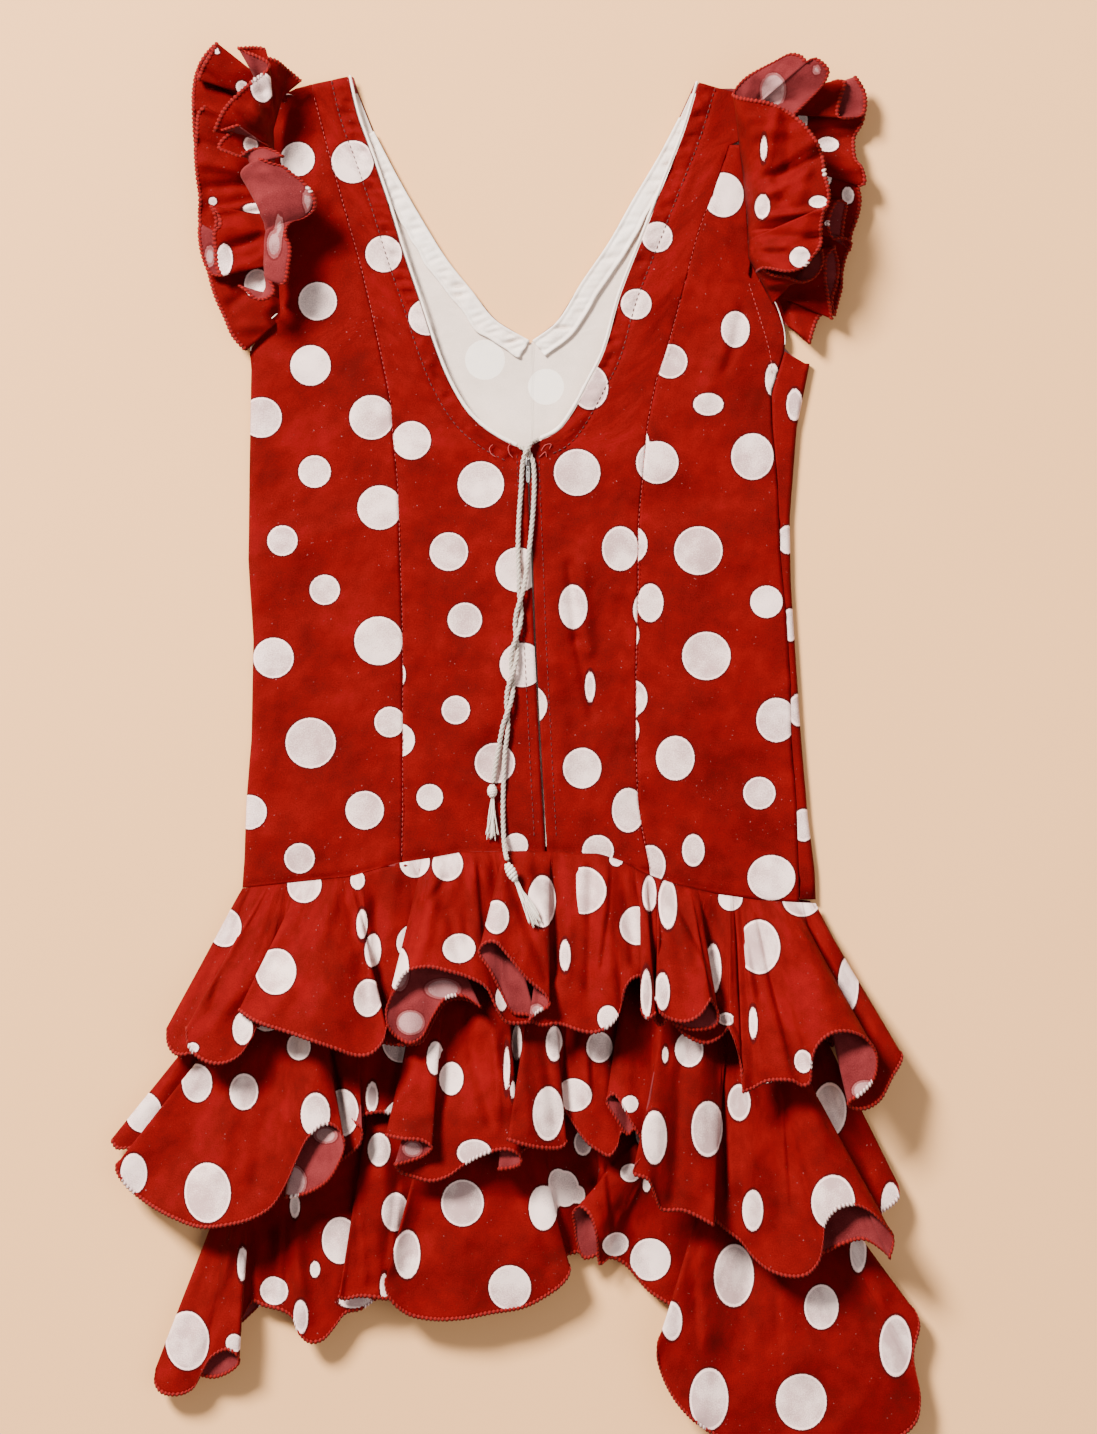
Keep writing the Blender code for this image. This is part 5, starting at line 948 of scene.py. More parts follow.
# Lines sewn flat on the back, and the white edges that show at the armholes, as x, y.
SEWN_LINES = {
    "princess_stitches_left": tuple((x, y) for y, x in LEFT_PRINCESS),
    "princess_stitches_right": tuple((x, y) for y, x in RIGHT_PRINCESS if y < 345),
    "strip_stitches": ((108, 284), (114, 265), (119, 247), (120, 235)),
}
EDGE_LINES = {
    "armhole_edge_right": ((118.5, 279), (122.5, 271), (126, 259), (126.3, 251)),
    "armhole_edge_left": ((-127, 268), (-134, 261.5), (-139.5, 254.5), (-140.5, 249)),
}
LOOSE_THREADS = (
    ((-19.5, 202.5, 0), (-21.2, 200.5, 0.7), (-20.4, 197.8, 1.0), (-18, 196.2, 0.2)),
    ((-10.2, 203.6, 0), (-11.8, 201.2, 0.8), (-11.3, 198, 1.0), (-9.4, 195.8, 0.2)),
    ((4.5, 199, 0), (6.5, 202, 1.0), (9.5, 202.5, 0.8), (8.4, 199.6, 0.2)),
    ((3.6, 196, 0), (6.6, 198.6, 0.9), (7.4, 196.0, 0.2)),
)
TASSEL_YARNS = 34
YARN_RADIUS = 0.26
WINDING_RADIUS = 0.95  # of the cord where it winds over its knot
WINDING_TURNS = 2.5
WINDING_CLEAR = 0.9  # from the knot's ends and from below it
BRAID_STEP = 0.4
CORD_SAMPLE = 2.0  # between the points sampled along a cord's path
BRAID_CORE = 0.58  # of the cord's radius
BRAID_STRAND = 0.44  # and how far the strands stand out of it
BRAID_PITCH = 7.5
HIP_ROWS = 9  # from the hip seam to the first level above it
FRONT_ACROSS = 3  # steps from seam to hem of a hidden front flounce
BARE_FLOOR = 0.01
FACE_DOWN = 1  # the front's cloth is under this height where it lies on the floor
FACE_UP = 2  # and over this one where it comes round the side
RUFFLE_MIDDLE = 12
DOWN = Vector((0, 0, -1))
RUFFLES = ("flounce", "frill")
UNPRINTED_LOOKS = {"front_lining": "lining", "neck_facing": "piping", "zip": "tape"}
UNPRINTED = tuple(UNPRINTED_LOOKS)

VIEW_CENTRE = (0.01655, 0.015)
VIEW_TALL = 0.717
CAMERA_HEIGHT = 3.0
LIGHTS = (
    ("key", (-1.75, 2.05, 2.35), 0.9, 530.0, (1.0, 0.95, 0.90)),
    ("fill", (1.6, -0.6, 2.4), 2.0, 30.0, (1.0, 0.98, 0.97)),
)
WORLD_COLOUR = (0.98, 0.95, 0.95, 1.0)
WORLD_STRENGTH = 0.38
FLOOR_LIGHT = (0.84, 0.445, 0.183, 1.0)
FLOOR_DARK = (0.79, 0.41, 0.165, 1.0)
# Lit and shaded copies of each cloth's ground colour: the looks mix them in random patches of painted
# shade.
RED_LIT = (0.150, 0.0005, 0.0010, 1.0)
RED_SHADE = (0.072, 0.0003, 0.0005, 1.0)
DOT_WHITE = (0.87, 0.66, 0.60, 1.0)
DOT_TIRED = (0.56, 0.48, 0.50)
DOT_RIM = (1.0, 0.70, 0.64, 1.0)
DOT_OUTLINE = (0.035, 0.0005, 0.001, 1.0)
WRONG_LIT = (0.18, 0.023, 0.025, 1.0)
WRONG_SHADE = (0.085, 0.007, 0.008, 1.0)
WRONG_DOT = (0.46, 0.25, 0.24, 1.0)
LINT = (0.62, 0.35, 0.33, 1.0)
LINT_LEVEL = 0.785
LINT_SHARE = 0.22
LINING_LIT = (0.84, 0.675, 0.575, 1.0)
LINING_SHADE = (0.70, 0.555, 0.47, 1.0)
LINING_DOT = (1.0, 0.89, 0.79, 1.0)
LINING_TIRED = (0.96, 0.96, 0.96)
METAL_DARK = (0.30, 0.29, 0.29, 1)
METAL_LIT = (0.62, 0.61, 0.60, 1)
FLOOR_HALF = 4.0  # metres
SHADER_INPUTS = {
    "rough": "Roughness", "sheen": "Sheen Weight", "sheen_rough": "Sheen Roughness",
    "shine": "Specular IOR Level", "metal": "Metallic",
}
THREAD_RED = (0.42, 0.004, 0.003, 1.0)
# THREAD_DARK is the sewing thread's own colour, and also the painted shade between the overlock's beads.
THREAD_DARK = (0.06, 0.0005, 0.0005, 1.0)
THREAD_BRIGHT = (0.62, 0.09, 0.08, 1.0)
PIPING_LIT = (0.96, 0.86, 0.78, 1.0)
THREAD_DEEP = (0.05, 0.001, 0.001, 1.0)
THREAD_SUBTLE = (0.14, 0.0008, 0.0012, 1.0)
THREAD_PALE = (0.85, 0.66, 0.62, 1.0)
CORD_LIT = (1.0, 0.89, 0.78, 1.0)
CORD_SHADE = (0.58, 0.48, 0.39, 1.0)
# Painted shade in the grooves of the braid.
CORD_DEEP = (0.27, 0.20, 0.15, 1.0)


def placed(points):
    p = np.asarray(points, float).reshape(-1, 3).copy()
    p[:, 0] += CENTRE[0]
    p[:, 1] += CENTRE[1]
    return p * MM


def finer_cloth(grid, along, across=None):
    """A grid's own smooth surface with a point every `along` mm, closer where its far edge turns."""
    n, m = grid.shape[:2]
    rows = grid.reshape(n, -1)
    dense_at = np.linspace(0, n - 1, (n - 1) * 8 + 1)
    hem = smooth_at(rows, dense_at).reshape(-1, m, 3)[:, -1]
    step = np.diff(hem, axis=0)
    length = np.linalg.norm(step, axis=1)
    heading = step / np.maximum(length, 1e-6)[:, None]
    bend = np.arccos(np.clip((heading[1:] * heading[:-1]).sum(axis=1), -1, 1))
    length[1:] += TURN_WEIGHT * bend
    walked = np.concatenate([[0], np.cumsum(length)])
    count = int(walked[-1] / along) + 2
    at = np.interp(np.linspace(0, walked[-1], count), walked, dense_at)
    rows = smooth_at(rows, at).reshape(count, m, 3)
    width = np.linalg.norm(np.diff(rows, axis=1), axis=2).sum(axis=1).mean()
    steps = int(width / (across or along)) + 2
    columns = rows.transpose(1, 0, 2).reshape(m, -1)
    found = smooth_at(columns, np.linspace(0, m - 1, steps))
    return found.reshape(steps, count, 3).transpose(1, 0, 2)


def walked_along(grid, axis):
    """How far along the cloth each point of a grid lies, in that direction."""
    steps = np.linalg.norm(np.diff(grid, axis=axis), axis=2)
    zero = np.zeros_like(np.take(steps, [0], axis=axis))
    return np.concatenate([zero, np.cumsum(steps, axis=axis)], axis=axis)


def normals(grid):
    du = np.gradient(grid, axis=0)
    dv = np.gradient(grid, axis=1)
    n = np.cross(du, dv)
    return n / np.maximum(np.linalg.norm(n, axis=2), 1e-9)[..., None]


def ripple(u, v, wave, seed, count=7):
    """Soft noise from -1 to 1 with about this wavelength."""
    draw = np.random.default_rng(seed)
    total = 0.0
    for _ in range(count):
        turn = draw.uniform(0, 2 * math.pi)
        k = 2 * math.pi / (wave * draw.uniform(0.7, 1.5))
        total = total + np.sin(k * (u * math.cos(turn) + v * math.sin(turn)) + draw.uniform(0, 6.28))
    return total / math.sqrt(count) / 1.4


def crumpled(u, v, wave, seed):
    """Noise of the same kind that turns over in soft creases, as cloth does."""
    return 0.5 - np.sqrt(ripple(u, v, wave, seed) ** 2 + CREASE_SOFT)


def quads(n, m):
    i = np.arange(n * m).reshape(n, m)
    return np.stack([i[:-1, :-1], i[1:, :-1], i[1:, 1:], i[:-1, 1:]], axis=-1).reshape(-1, 4)


def stacked(cloths):
    """The points and faces of several grids as one set."""
    points, faces, start = [], [], 0
    for c in cloths:
        n, m = c.grid.shape[:2]
        points.append(c.grid.reshape(-1, 3))
        faces.append(quads(n, m) + start)
        start += n * m
    return np.vstack(points), np.vstack(faces)


def tree_of(cloths):
    points, faces = stacked(cloths)
    return BVHTree.FromPolygons(points.tolist(), faces.tolist())


class Cloth:
    """One fine grid of a piece, with its cloth coordinates and its distance to the dots."""

    def __init__(self, piece, grid):
        self.piece = piece
        self.grid = grid
        self.u = walked_along(grid, 0)
        self.v = walked_along(grid, 1)
        self.dot = np.full(grid.shape[:2], FAR)
        self.cut_u = self.u  # across the piece as it was cut

    def apart(self, i, j):
        """How far over the cloth each point lies from point i, j."""
        return np.hypot(self.u - self.u[i], self.v - self.v[i, j])

    def add_dot(self, i, j, x, y, rx, ry, side=0, edge=0.0):
        """A dot whose outline from above is this ellipse, on the layer of point i, j only.

        Where a pleat cuts it, side is 1 or -1 for the right or left part and edge is the cut's x.
        """
        near = (self.apart(i, j) < 1.7 * max(rx, ry) + 5) & ((self.grid[..., 0] - edge) * side >= 0)
        self.add_ellipse(near, x, y, rx, ry)

    def add_ellipse(self, near, x, y, rx, ry):
        plan = np.hypot((self.grid[..., 0] - x) / rx, (self.grid[..., 1] - y) / ry) - 1
        self.dot = np.where(near, np.minimum(self.dot, plan * min(rx, ry)), self.dot)

    def add_round_dot(self, i, j, radius):
        self.dot = np.minimum(self.dot, self.apart(i, j) - radius)

    def place_dots(self, table):
        tree = tree_of([self])
        across = self.grid.shape[1] - 1
        for x, y, *rest in table:
            hit = tree.ray_cast(Vector((x, y, HIGH)), DOWN)
            if hit[0] is None:
                hit = tree.find_nearest(Vector((x, y, RUFFLE_MIDDLE)))
            i, j = divmod(hit[2], across)
            self.add_dot(i, j, x, y, *rest)

    def fill_dots(self, seen, seed):
        """Dots of the same print over the cloth that doesn't show from above."""
        draw = np.random.default_rng(seed)
        n, m = self.grid.shape[:2]
        middle = m // 2
        for k, v in enumerate(np.arange(DOT_SPACE / 3, self.v[:, -1].max(), DOT_SPACE * 0.8)):
            for u in np.arange(DOT_SPACE / 2 * (k % 2), self.u[-1, middle], DOT_SPACE):
                u_here = u + draw.uniform(-5, 5)
                i = min(int(np.searchsorted(self.u[:, middle], u_here)), n - 1)
                j = min(int(np.searchsorted(self.v[i], v + draw.uniform(-5, 5))), m - 1)
                spot = self.apart(i, j) < DOT_RADIUS
                if seen[spot].mean() > 0.15 or self.dot[spot].min() < 4:
                    continue
                self.add_round_dot(i, j, DOT_RADIUS * draw.uniform(0.9, 1.1))


def seen_from_above(cloths):
    """For each cloth, which of its points nothing covers."""
    tree = tree_of(cloths)
    found = []
    for c in cloths:
        tops = []
        for x, y, _ in c.grid.reshape(-1, 3):
            hit = tree.ray_cast(Vector((x, y, HIGH)), DOWN)[0]
            tops.append(HIGH if hit is None else hit.z)
        found.append(np.array(tops).reshape(c.grid.shape[:2]) - c.grid[..., 2] < 1.0)
    return found


def mesh_of(name, points, faces, attributes, uv=None):
    """A mesh with float attributes at its points and a UV map in metres of cloth."""
    data = bpy.data.meshes.new(name)
    data.from_pydata(points.tolist(), [], faces.tolist())
    for key, values in attributes.items():
        data.attributes.new(key, "FLOAT", "POINT").data.foreach_set("value", values)
    if uv is not None:
        layer = data.uv_layers.new(name="cloth")
        corner = np.empty(len(data.loops), np.int32)
        data.loops.foreach_get("vertex_index", corner)
        layer.data.foreach_set("uv", uv[corner].reshape(-1))
    data.shade_smooth()
    return data


def add(name, data, looks, body="dress"):
    piece = bpy.data.objects.new(name, data)
    bpy.context.scene.collection.objects.link(piece)
    for look in looks:
        data.materials.append(look)
    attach(piece, body)
    return piece


def cloth_piece(name, cloths, looks, right_side_up, thickness=CLOTH):
    """One piece of cloth with its right side and its wrong side, from grids that may share edges."""
    points, faces = stacked(cloths)
    points = placed(points)
    points[:, 2] = np.maximum(points[:, 2], (thickness / 2 + LIES) * MM)
    dot = np.concatenate([c.dot.reshape(-1) for c in cloths])
    uv = np.vstack([np.stack([c.cut_u.reshape(-1), c.v.reshape(-1)], axis=1) for c in cloths]) * MM
    if len(cloths) > 1:
        _, first, index = np.unique(
            np.round(points / (0.05 * MM)).astype(int), axis=0, return_index=True, return_inverse=True
        )
        points, dot, uv, faces = points[first], dot[first], uv[first], index.reshape(-1)[faces]
    a, b, c = points[faces[:, 0]], points[faces[:, 1]], points[faces[:, 2]]
    if (np.cross(b - a, c - a)[:, 2].sum() > 0) != right_side_up:
        faces = faces[:, ::-1]
    piece = add(name, mesh_of(name, points, faces, {"dot": dot}, uv), looks)
    shell = piece.modifiers.new("cloth", "SOLIDIFY")
    shell.thickness = thickness * MM
    shell.offset = 0.0
    shell.material_offset = 1
    return piece


# Pieces, floor upwards, as rows of points.
def over_cloth(ground, gap):
    """What a ruffle lies on: this far over any cloth, and right on the floor where there is none."""
    def height(x, y):
        under = ground.at(x, y)
        return under + np.where(under > BARE_FLOOR, gap, 0.0)

    return height


def no_rise(x):
    return 0.0 * x


def build_skirt(keep):
    """From the floor up: front flounces, skirt base, back flounces."""
    ground = Ground()
    on_ground = over_cloth(ground, LAY_GAP)
    on_front = over_cloth(ground, FRONT_GAP)

    for name, hem_line, seam, ends, arches in FRONTS:
        count = 2 * arches + 1
        hem_x = np.linspace(hem_line[0][0], hem_line[-1][0], count)
        rows = [
            (None, x, float(line(hem_line, x)), FRONT_WAVE * (i % 2)) for i, x in enumerate(hem_x)
        ]
        rows[0] = (ends[0], *rows[0][1:])
        rows[-1] = (ends[1], *rows[-1][1:])
        moved = -HIP_GAP if seam is FRONT_HIP else FRONT_UNDER
        seam = tuple((x, y + moved) for x, y in seam)
        grid = ruffle(rows, seam, 0, FRONT_ACROSS, on_front, no_rise, FRONT_STEPS)
        keep[name] = [grid]
        ground.lay(grid)

    for name, gap in (("skirt_base_front", BASE_GAP), ("skirt_base_back", LAY_GAP)):
        u = np.linspace(0, 1, 25)[:, None]
        v = np.linspace(0, 1, 6)[None, :]
        x = (BASE_LEFT[0] * (1 - u) + BASE_RIGHT[0] * u) * (1 - v)
        x = x + (BASE_LEFT[1] * (1 - u) + BASE_RIGHT[1] * u) * v
        y = (line(HIP_SEAM, x) - BASE_BELOW_HIP) * (1 - v) + line(SEAM_3, x) * v
        grid = np.stack([x, y, ground.at(x, y) + gap + WALL / 2], axis=2)
        keep[name] = [grid]
        ground.lay(grid)

    def bodice_rise(x):
        return np.maximum(back_height(x) - ground.at(x, line(HIP_SEAM, x)) - LAY_GAP - WALL / 2, 0)

    cloths = (
        ("flounce_3_back", FLOUNCE_3, SEAM_3, no_rise),
        ("flounce_2_back", FLOUNCE_2, SEAM_2, no_rise),
        ("flounce_1_back", FLOUNCE_1, HIP_SEAM, bodice_rise),
    )
    for name, table, seam, rise in cloths:
        if seam is HIP_SEAM:
            seam = tuple((x, y - HIP_GAP) for x, y in HIP_SEAM)
        grid = ruffle(table, seam, 0, RUFFLE_STEPS, on_ground, rise)
        keep[name] = [grid]
        ground.lay(grid)
    return ground


def even(low, high, step):
    """Levels about a step apart, both ends among them."""
    return np.linspace(low, high, int((high - low) / step) + 2)


def build_back(keep, ground):
    """Four back panels in princess cut, with a zip up the middle and a U neck."""
    neck_left = moved_line(smooth(NECK_LEFT, 3), PIPING_SPACE)
    neck_right = moved_line(smooth(NECK_RIGHT, 3), -PIPING_SPACE)
    half = SEAM_SHOWN / 2

    def shifted(table, dx):
        return tuple((y, x + dx) for y, x in table)

    curl = (0, 0.006, 0.012, 0.022, 0.035, 0.055, 0.085)
    pieces = (
        ("back_side_left", LEFT_SILHOUETTE, shifted(LEFT_PRINCESS, -half), SHOULDER_LEFT,
         (*curl, *even(0.115, 1, 0.025))),
        ("back_centre_left", shifted(LEFT_PRINCESS, half), join_lines(zip_edge(-1), neck_left, 200.2),
         SHOULDER_LEFT, even(0, 1, 0.024)),
        ("back_centre_right", join_lines(zip_edge(1), neck_right, 203), shifted(RIGHT_PRINCESS, -half),
         SHOULDER_RIGHT, even(0, 1, 0.024)),
        ("back_side_right", shifted(RIGHT_PRINCESS, half), shifted(RIGHT_SIDE_SEAM, -half),
         None, even(0, 1, 0.025)),
    )
    for name, left, right, top, columns in pieces:
        edge = LEFT_SILHOUETTE if name == "back_side_left" else None
        levels = even(-10, 382 if top else STRAP_POINT, PANEL_FINE)
        bottom = tuple((x, y - 0.8) for x, y in HIP_SEAM)
        grid = panel(left, right, levels, columns, bottom, top)
        share = np.linspace(0, 1, HIP_ROWS, endpoint=False)[None, :, None]
        hip_rows = grid[:, :1] * (1 - share) + grid[:, 1:2] * share
        grid = np.concatenate([hip_rows, grid[:, 1:]], axis=1)
        grid[..., 2] = bodice_height(grid[..., 0], grid[..., 1], edge)
        keep[name] = [grid]
        ground.lay(grid[::4, ::3])


def build_front(keep, ground):
    """The front lies face down; at the right it comes round the side to the seam on the back."""
    below = even(-20, 243, HIDDEN_FINE)
    levels = (*below, *even(248, 383, HIDDEN_FINE))
    columns = even(0, 1, 0.035)
    centre = tuple((y, V_POINT[1]) for y in (-30, V_POINT[0] - 0.01))
    left_in = centre + tuple(sorted(V_LEFT))
    right_in = centre + tuple(sorted(V_RIGHT))
    right_out = tuple((y, x - WRAP_RADIUS) for y, x in RIGHT_SILHOUETTE if y < 243)
    right_out += ((243, 138.5 - WRAP_RADIUS),) + FRONT_ARMHOLE_RIGHT[1:]
    left_out = tuple((y, x) for y, x in LEFT_SILHOUETTE if y < 240) + FRONT_ARMHOLE_LEFT
    left = panel(left_out, left_in, levels, columns, FRONT_HIP, SHOULDER_LEFT)
    right = panel(right_in, right_out, levels, columns, FRONT_HIP, SHOULDER_RIGHT)
    left[..., 2] = FRONT_Z
    right[..., 2] = FRONT_Z

    edge = right[-1, : len(below)]
    seam_x = line(RIGHT_SIDE_SEAM, edge[:, 1]) + SEAM_GAP / 2
    turn = [edge]
    rise = back_height(seam_x) - FRONT_Z
    for angle in range(-75, 91, 15):
        a = math.radians(angle)
        turned = edge.copy()
        turned[:, 0] += WRAP_RADIUS * math.cos(a)
        turned[:, 2] = FRONT_Z + rise * (1 + math.sin(a)) / 2
        turn.append(turned)
    last = turn[-1].copy()
    last[-1, 1] = STRIP_TOP
    last[:, 0] = line(RIGHT_SIDE_SEAM, last[:, 1]) + SEAM_GAP / 2
    for share in even(0.15, 1, 0.15):
        turn.append(turn[len(range(-75, 91, 15))] * (1 - share) + last * share)
    keep["front_bodice"] = [left, right, np.stack(turn)]
    for grid in (left, right):
        ground.lay(grid[::4, ::4])

    levels = even(LINING_FOOT, 378, HIDDEN_FINE / 2)
    columns = even(0, 1, 0.04)
    inner_left = centre + tuple((y, x - 0.6) for y, x in sorted(V_LEFT))
    inner_right = centre + tuple((y, x + 0.6) for y, x in sorted(V_RIGHT))
    left = panel(LINING_LEFT, inner_left, levels, columns, None, None)
    right = panel(inner_right, LINING_RIGHT, levels, columns, None, None)
    left[..., 2] = LINING_Z
    right[..., 2] = LINING_Z
    keep["front_lining"] = [left, right]

    for name, edge_line, side in (("left", V_LEFT, 1), ("right", V_RIGHT, -1)):
        rows = [p for p in edge_line if p[0] < 383]
        rows[-1] = (V_POINT[0] + 0.5, V_POINT[1] - 0.7 * side)
        outer = moved_line(rows, side * FACING_WIDTH)
        pair = np.array([[(x, y, FACING_Z) for y, x in rows], [(x, y, FACING_Z) for y, x in outer]])
        keep[f"neck_facing_{name}"] = [finer_cloth(pair.transpose(1, 0, 2), 1.2, 0.7)]


def build_zip_tape(keep):
    y = even(2, 199, 4)
    middle = line(ZIP_LINE, y)
    across = np.linspace(-TAPE_HALF, TAPE_HALF, 13)
    columns = [np.stack([middle + dx, y, 0 * y + FACING_Z], axis=1) for dx in across]
    keep["zip_tape"] = [np.stack(columns)]


def build_frills(keep, ground, names):
    """Sleeve frills: fold lines run out from the armhole."""
    def on_ground(x, y):
        return ground.at(x, y) + LAY_GAP

    for name, table, armhole, out in names:
        seam = tuple((y, x + out) for y, x in armhole)
        grid = ruffle(table, seam, 1, FRILL_STEPS, on_ground, no_rise)
        x, y = grid[..., 0], grid[..., 1]
        if names is LOWER_FRILLS:
            inside = np.abs(x) < np.abs(line(armhole, y)) + 1.0
            grid[..., 2] = np.where(inside, np.minimum(grid[..., 2], UNDER_PANEL), grid[..., 2])
        else:
            grid[..., 2] -= SEAM_SINK * (1 - np.linspace(0, 1, grid.shape[1])) ** 8
        keep[name] = [grid]
        ground.lay(grid)


def all_rows():
    """Every piece of cloth as grids of points, and the ground that the cords lie on."""
    keep = {}
    skirt = build_skirt(keep)
    top = Ground()
    build_front(keep, top)
    build_frills(keep, top, LOWER_FRILLS)
    build_back(keep, top)
    build_frills(keep, top, UPPER_FRILLS)
    build_zip_tape(keep)
    top.high = np.maximum(top.high, skirt.high)
    return keep, top


# Surface relief.
def bell(away, half):
    """1 on a line, and down to 0.37 this far from it."""
    return np.exp(-((away / half) ** 2))


def pleats(x, y, table):
    """Steps of pressed folds: x, y at both ends, the side that stands up, its width and height."""
    total = np.zeros(x.shape)
    for x0, y0, x1, y1, side, wide, high in table:
        length = math.hypot(x1 - x0, y1 - y0)
        ahead = (x1 - x0) / length, (y1 - y0) / length
        along = (x - x0) * ahead[0] + (y - y0) * ahead[1]
        off = ((x - x0) * ahead[1] - (y - y0) * ahead[0]) * side
        ends = np.clip(np.minimum(along, length - along) / 8 + 0.5, 0, 1)
        step = np.clip(off / PLEAT_EDGE + 0.5, 0, 1)
        total += high * step * bell(np.maximum(off, 0), wide) * ends
    return total


def gathered(cloth, depth):
    """Gathers along a ruffle's seam, flutes that run to its hem, and soft wrinkles all over.

    The height depends on the place alone, so that layers which lie on each other stay in order.
    """
    x, y, z = (cloth.grid[..., k] for k in range(3))
    t = cloth.v / np.maximum(cloth.v[:, -1:], 1e-6)
    if cloth.piece in SEAM_OVER:
        t = np.clip((line(SEAM_OVER[cloth.piece], x) - y) / FLOUNCE_DEPTH, 0, 1)
    elif cloth.piece.startswith("frill"):
        armhole = LEFT_ARMHOLE if "left" in cloth.piece else RIGHT_ARMHOLE
        t = np.clip((np.abs(x) - np.abs(line(armhole, y))) / FRILL_DEPTH, 0, 1)
    cloth.cut_u = cloth.u[:, -1:] + 0 * cloth.v
    if cloth.piece.startswith("flounce"):
        across, down = x / (1 - FAN * y), y
    else:
        across, down = y, x
    held = np.minimum(t * 8, 1)
    relief = depth * ripple(across, 0.15 * down, 9, 1) * (1 - t) ** 1.6 * np.minimum(t * 12, 1)
    relief += FLUTE_DEPTH * ripple(across + 5 * ripple(across, down, 50, 3), 0.15 * down, 22, 4) * held
    relief += crumpled(across, 0.5 * down, 36, 5) * 1.7 * held
    relief += 0.22 * ripple(x, y, 14, 2) * held
    relief += CREASE_DEPTH * creases(x, y, FLOUNCE_CREASES.get(cloth.piece, ())) * held
    relief += PLEAT_DEPTH * pleats(x, y, PLEATS.get(cloth.piece, ())) * held
    relief = np.where(relief < 0, relief * np.minimum(t * 4, 1), relief)
    cloth.grid = cloth.grid.copy()
    cloth.grid[..., 2] += np.maximum(relief, -LOW_MOST) * np.clip(z / 4, 0, 1)


def near_line(x, y, table):
    """How far each point lies from a polyline whose rows are x, y, and how far along it."""
    p = np.asarray(table, float)
    best = np.full(x.shape, 1e9)
    along = np.zeros(x.shape)
    walked = 0.0
    for a, b in zip(p, p[1:]):
        d = b - a
        s = np.clip(((x - a[0]) * d[0] + (y - a[1]) * d[1]) / (d @ d), 0, 1)
        here = np.hypot(x - a[0] - s * d[0], y - a[1] - s * d[1])
        length = math.hypot(*d)
        along = np.where(here < best, walked + s * length, along)
        best = np.minimum(best, here)
        walked += length
    return best, along


def creases(x, y, table):
    """Soft ridges and troughs: each row is x, y at both ends, half width and height."""
    total = np.zeros(x.shape)
    for x0, y0, x1, y1, half, high in table:
        d = near_line(x, y, ((x0, y0), (x1, y1)))[0]
        total += high * bell(d, half)
    return total


def bodice_relief(cloth, edges, seed):
    """Sewn-in edges, puckers beside them, the stitched neck and zip, and the creases of wear."""
    g = cloth.grid
    x, y = g[..., 0], g[..., 1]
    relief = 0.7 * ripple(x, y, 60, 5) + 1.8 * crumpled(x + 0.4 * y, 0.8 * y, 62, 6)
    relief += 0.55 * crumpled(x, y, 24, 7) + 0.1 * ripple(x, y, 9, 8)
    relief += 2.0 * creases(x, y, BODICE_CREASES)
    for near in edges:
        d = np.abs(x - line(near, y))
        relief -= 0.2 * bell(d, STITCH_DIP)
        relief += 0.3 * bell(d, 4) * ripple(0.3 * d, y, 6, seed + 2)
    for table in (NECK_LEFT, NECK_RIGHT):
        d, along = near_line(x, y, [(b, a) for a, b in smooth(table, 3)])
        relief += 2.6 * bell(d - 5.0, 3.4) * crumpled(along + 0.5 * d, 0.2 * d, 8, seed + 3)
        relief += 0.9 * bell(d - 6.0, 3.4) * ripple(along - 0.4 * d, 0.2 * d, 5.5, seed + 5)
        relief -= 0.5 * bell(d - NECK_STITCH, STITCH_DIP)
    d = np.abs(x - line(ZIP_LINE, y))
    below_neck = y < NECK_FOOT
    relief -= 0.2 * bell(d - ZIP_STITCH, STITCH_DIP) * below_neck
    relief += 0.2 * bell(d, 5) * ripple(0 * x, y, 9, seed + 4) * below_neck
    hip = y - line(HIP_SEAM, x)
    relief -= 0.8 * bell(hip, 2.0)
    cloth.grid = g.copy()
    cloth.grid[..., 2] += relief
    over_frill = (y > STRIP_FROM) & (cloth.grid[..., 2] < OVER_FRILL)
    cloth.grid[..., 2] = np.where(over_frill, OVER_FRILL, cloth.grid[..., 2])


def facing_relief(cloth, seed):
    """Two rolled and stitched edges with crumpled cloth between them."""
    t = cloth.v / cloth.v[:, -1:]
    relief = 0.5 * bell(t - 0.05, 0.07) + 0.5 * bell(t - 0.93, 0.07)
    relief -= 0.3 * bell(t - 0.2, 0.06) + 0.3 * bell(t - 0.78, 0.06)
    relief += 1.6 * crumpled(cloth.u + 3 * t, cloth.v * 0.5, 8, seed) * np.sin(math.pi * t)
    swing = 0.6 * ripple(cloth.u, 0 * t, 14, seed + 1) * t
    cloth.grid = cloth.grid.copy()
    cloth.grid[..., 2] += relief
    cloth.grid[..., 0] += swing
    cloth.grid[..., 1] += swing


# Looks.
def look(name):
    made = bpy.data.materials.new(name)
    made.use_nodes = True
    return made, made.node_tree, made.node_tree.nodes["Principled BSDF"]


def node(tree, kind, settings=(), **inputs):
    made = tree.nodes.new(kind)
    for key, value in dict(settings).items():
        setattr(made, key, value)
    for key, value in inputs.items():
        socket = made.inputs[int(key[1:])] if key[0] == "n" and key[1:].isdigit() else made.inputs[key]
        if isinstance(value, bpy.types.NodeSocket):
            tree.links.new(value, socket)
        else:
            socket.default_value = value
    return made


def maths(tree, operation, a, b=0.0):
    return node(tree, "ShaderNodeMath", {"operation": operation}, n0=a, n1=b).outputs[0]


def mixed(tree, share, a, b, blend="MIX"):
    made = node(tree, "ShaderNodeMix", {"data_type": "RGBA", "blend_type": blend})
    for socket, value in zip((made.inputs[0], made.inputs[6], made.inputs[7]), (share, a, b)):
        if isinstance(value, bpy.types.NodeSocket):
            tree.links.new(value, socket)
        else:
            socket.default_value = value
    return made.outputs[2]


def attribute(tree, name):
    return node(tree, "ShaderNodeAttribute", {"attribute_name": name}).outputs["Fac"]


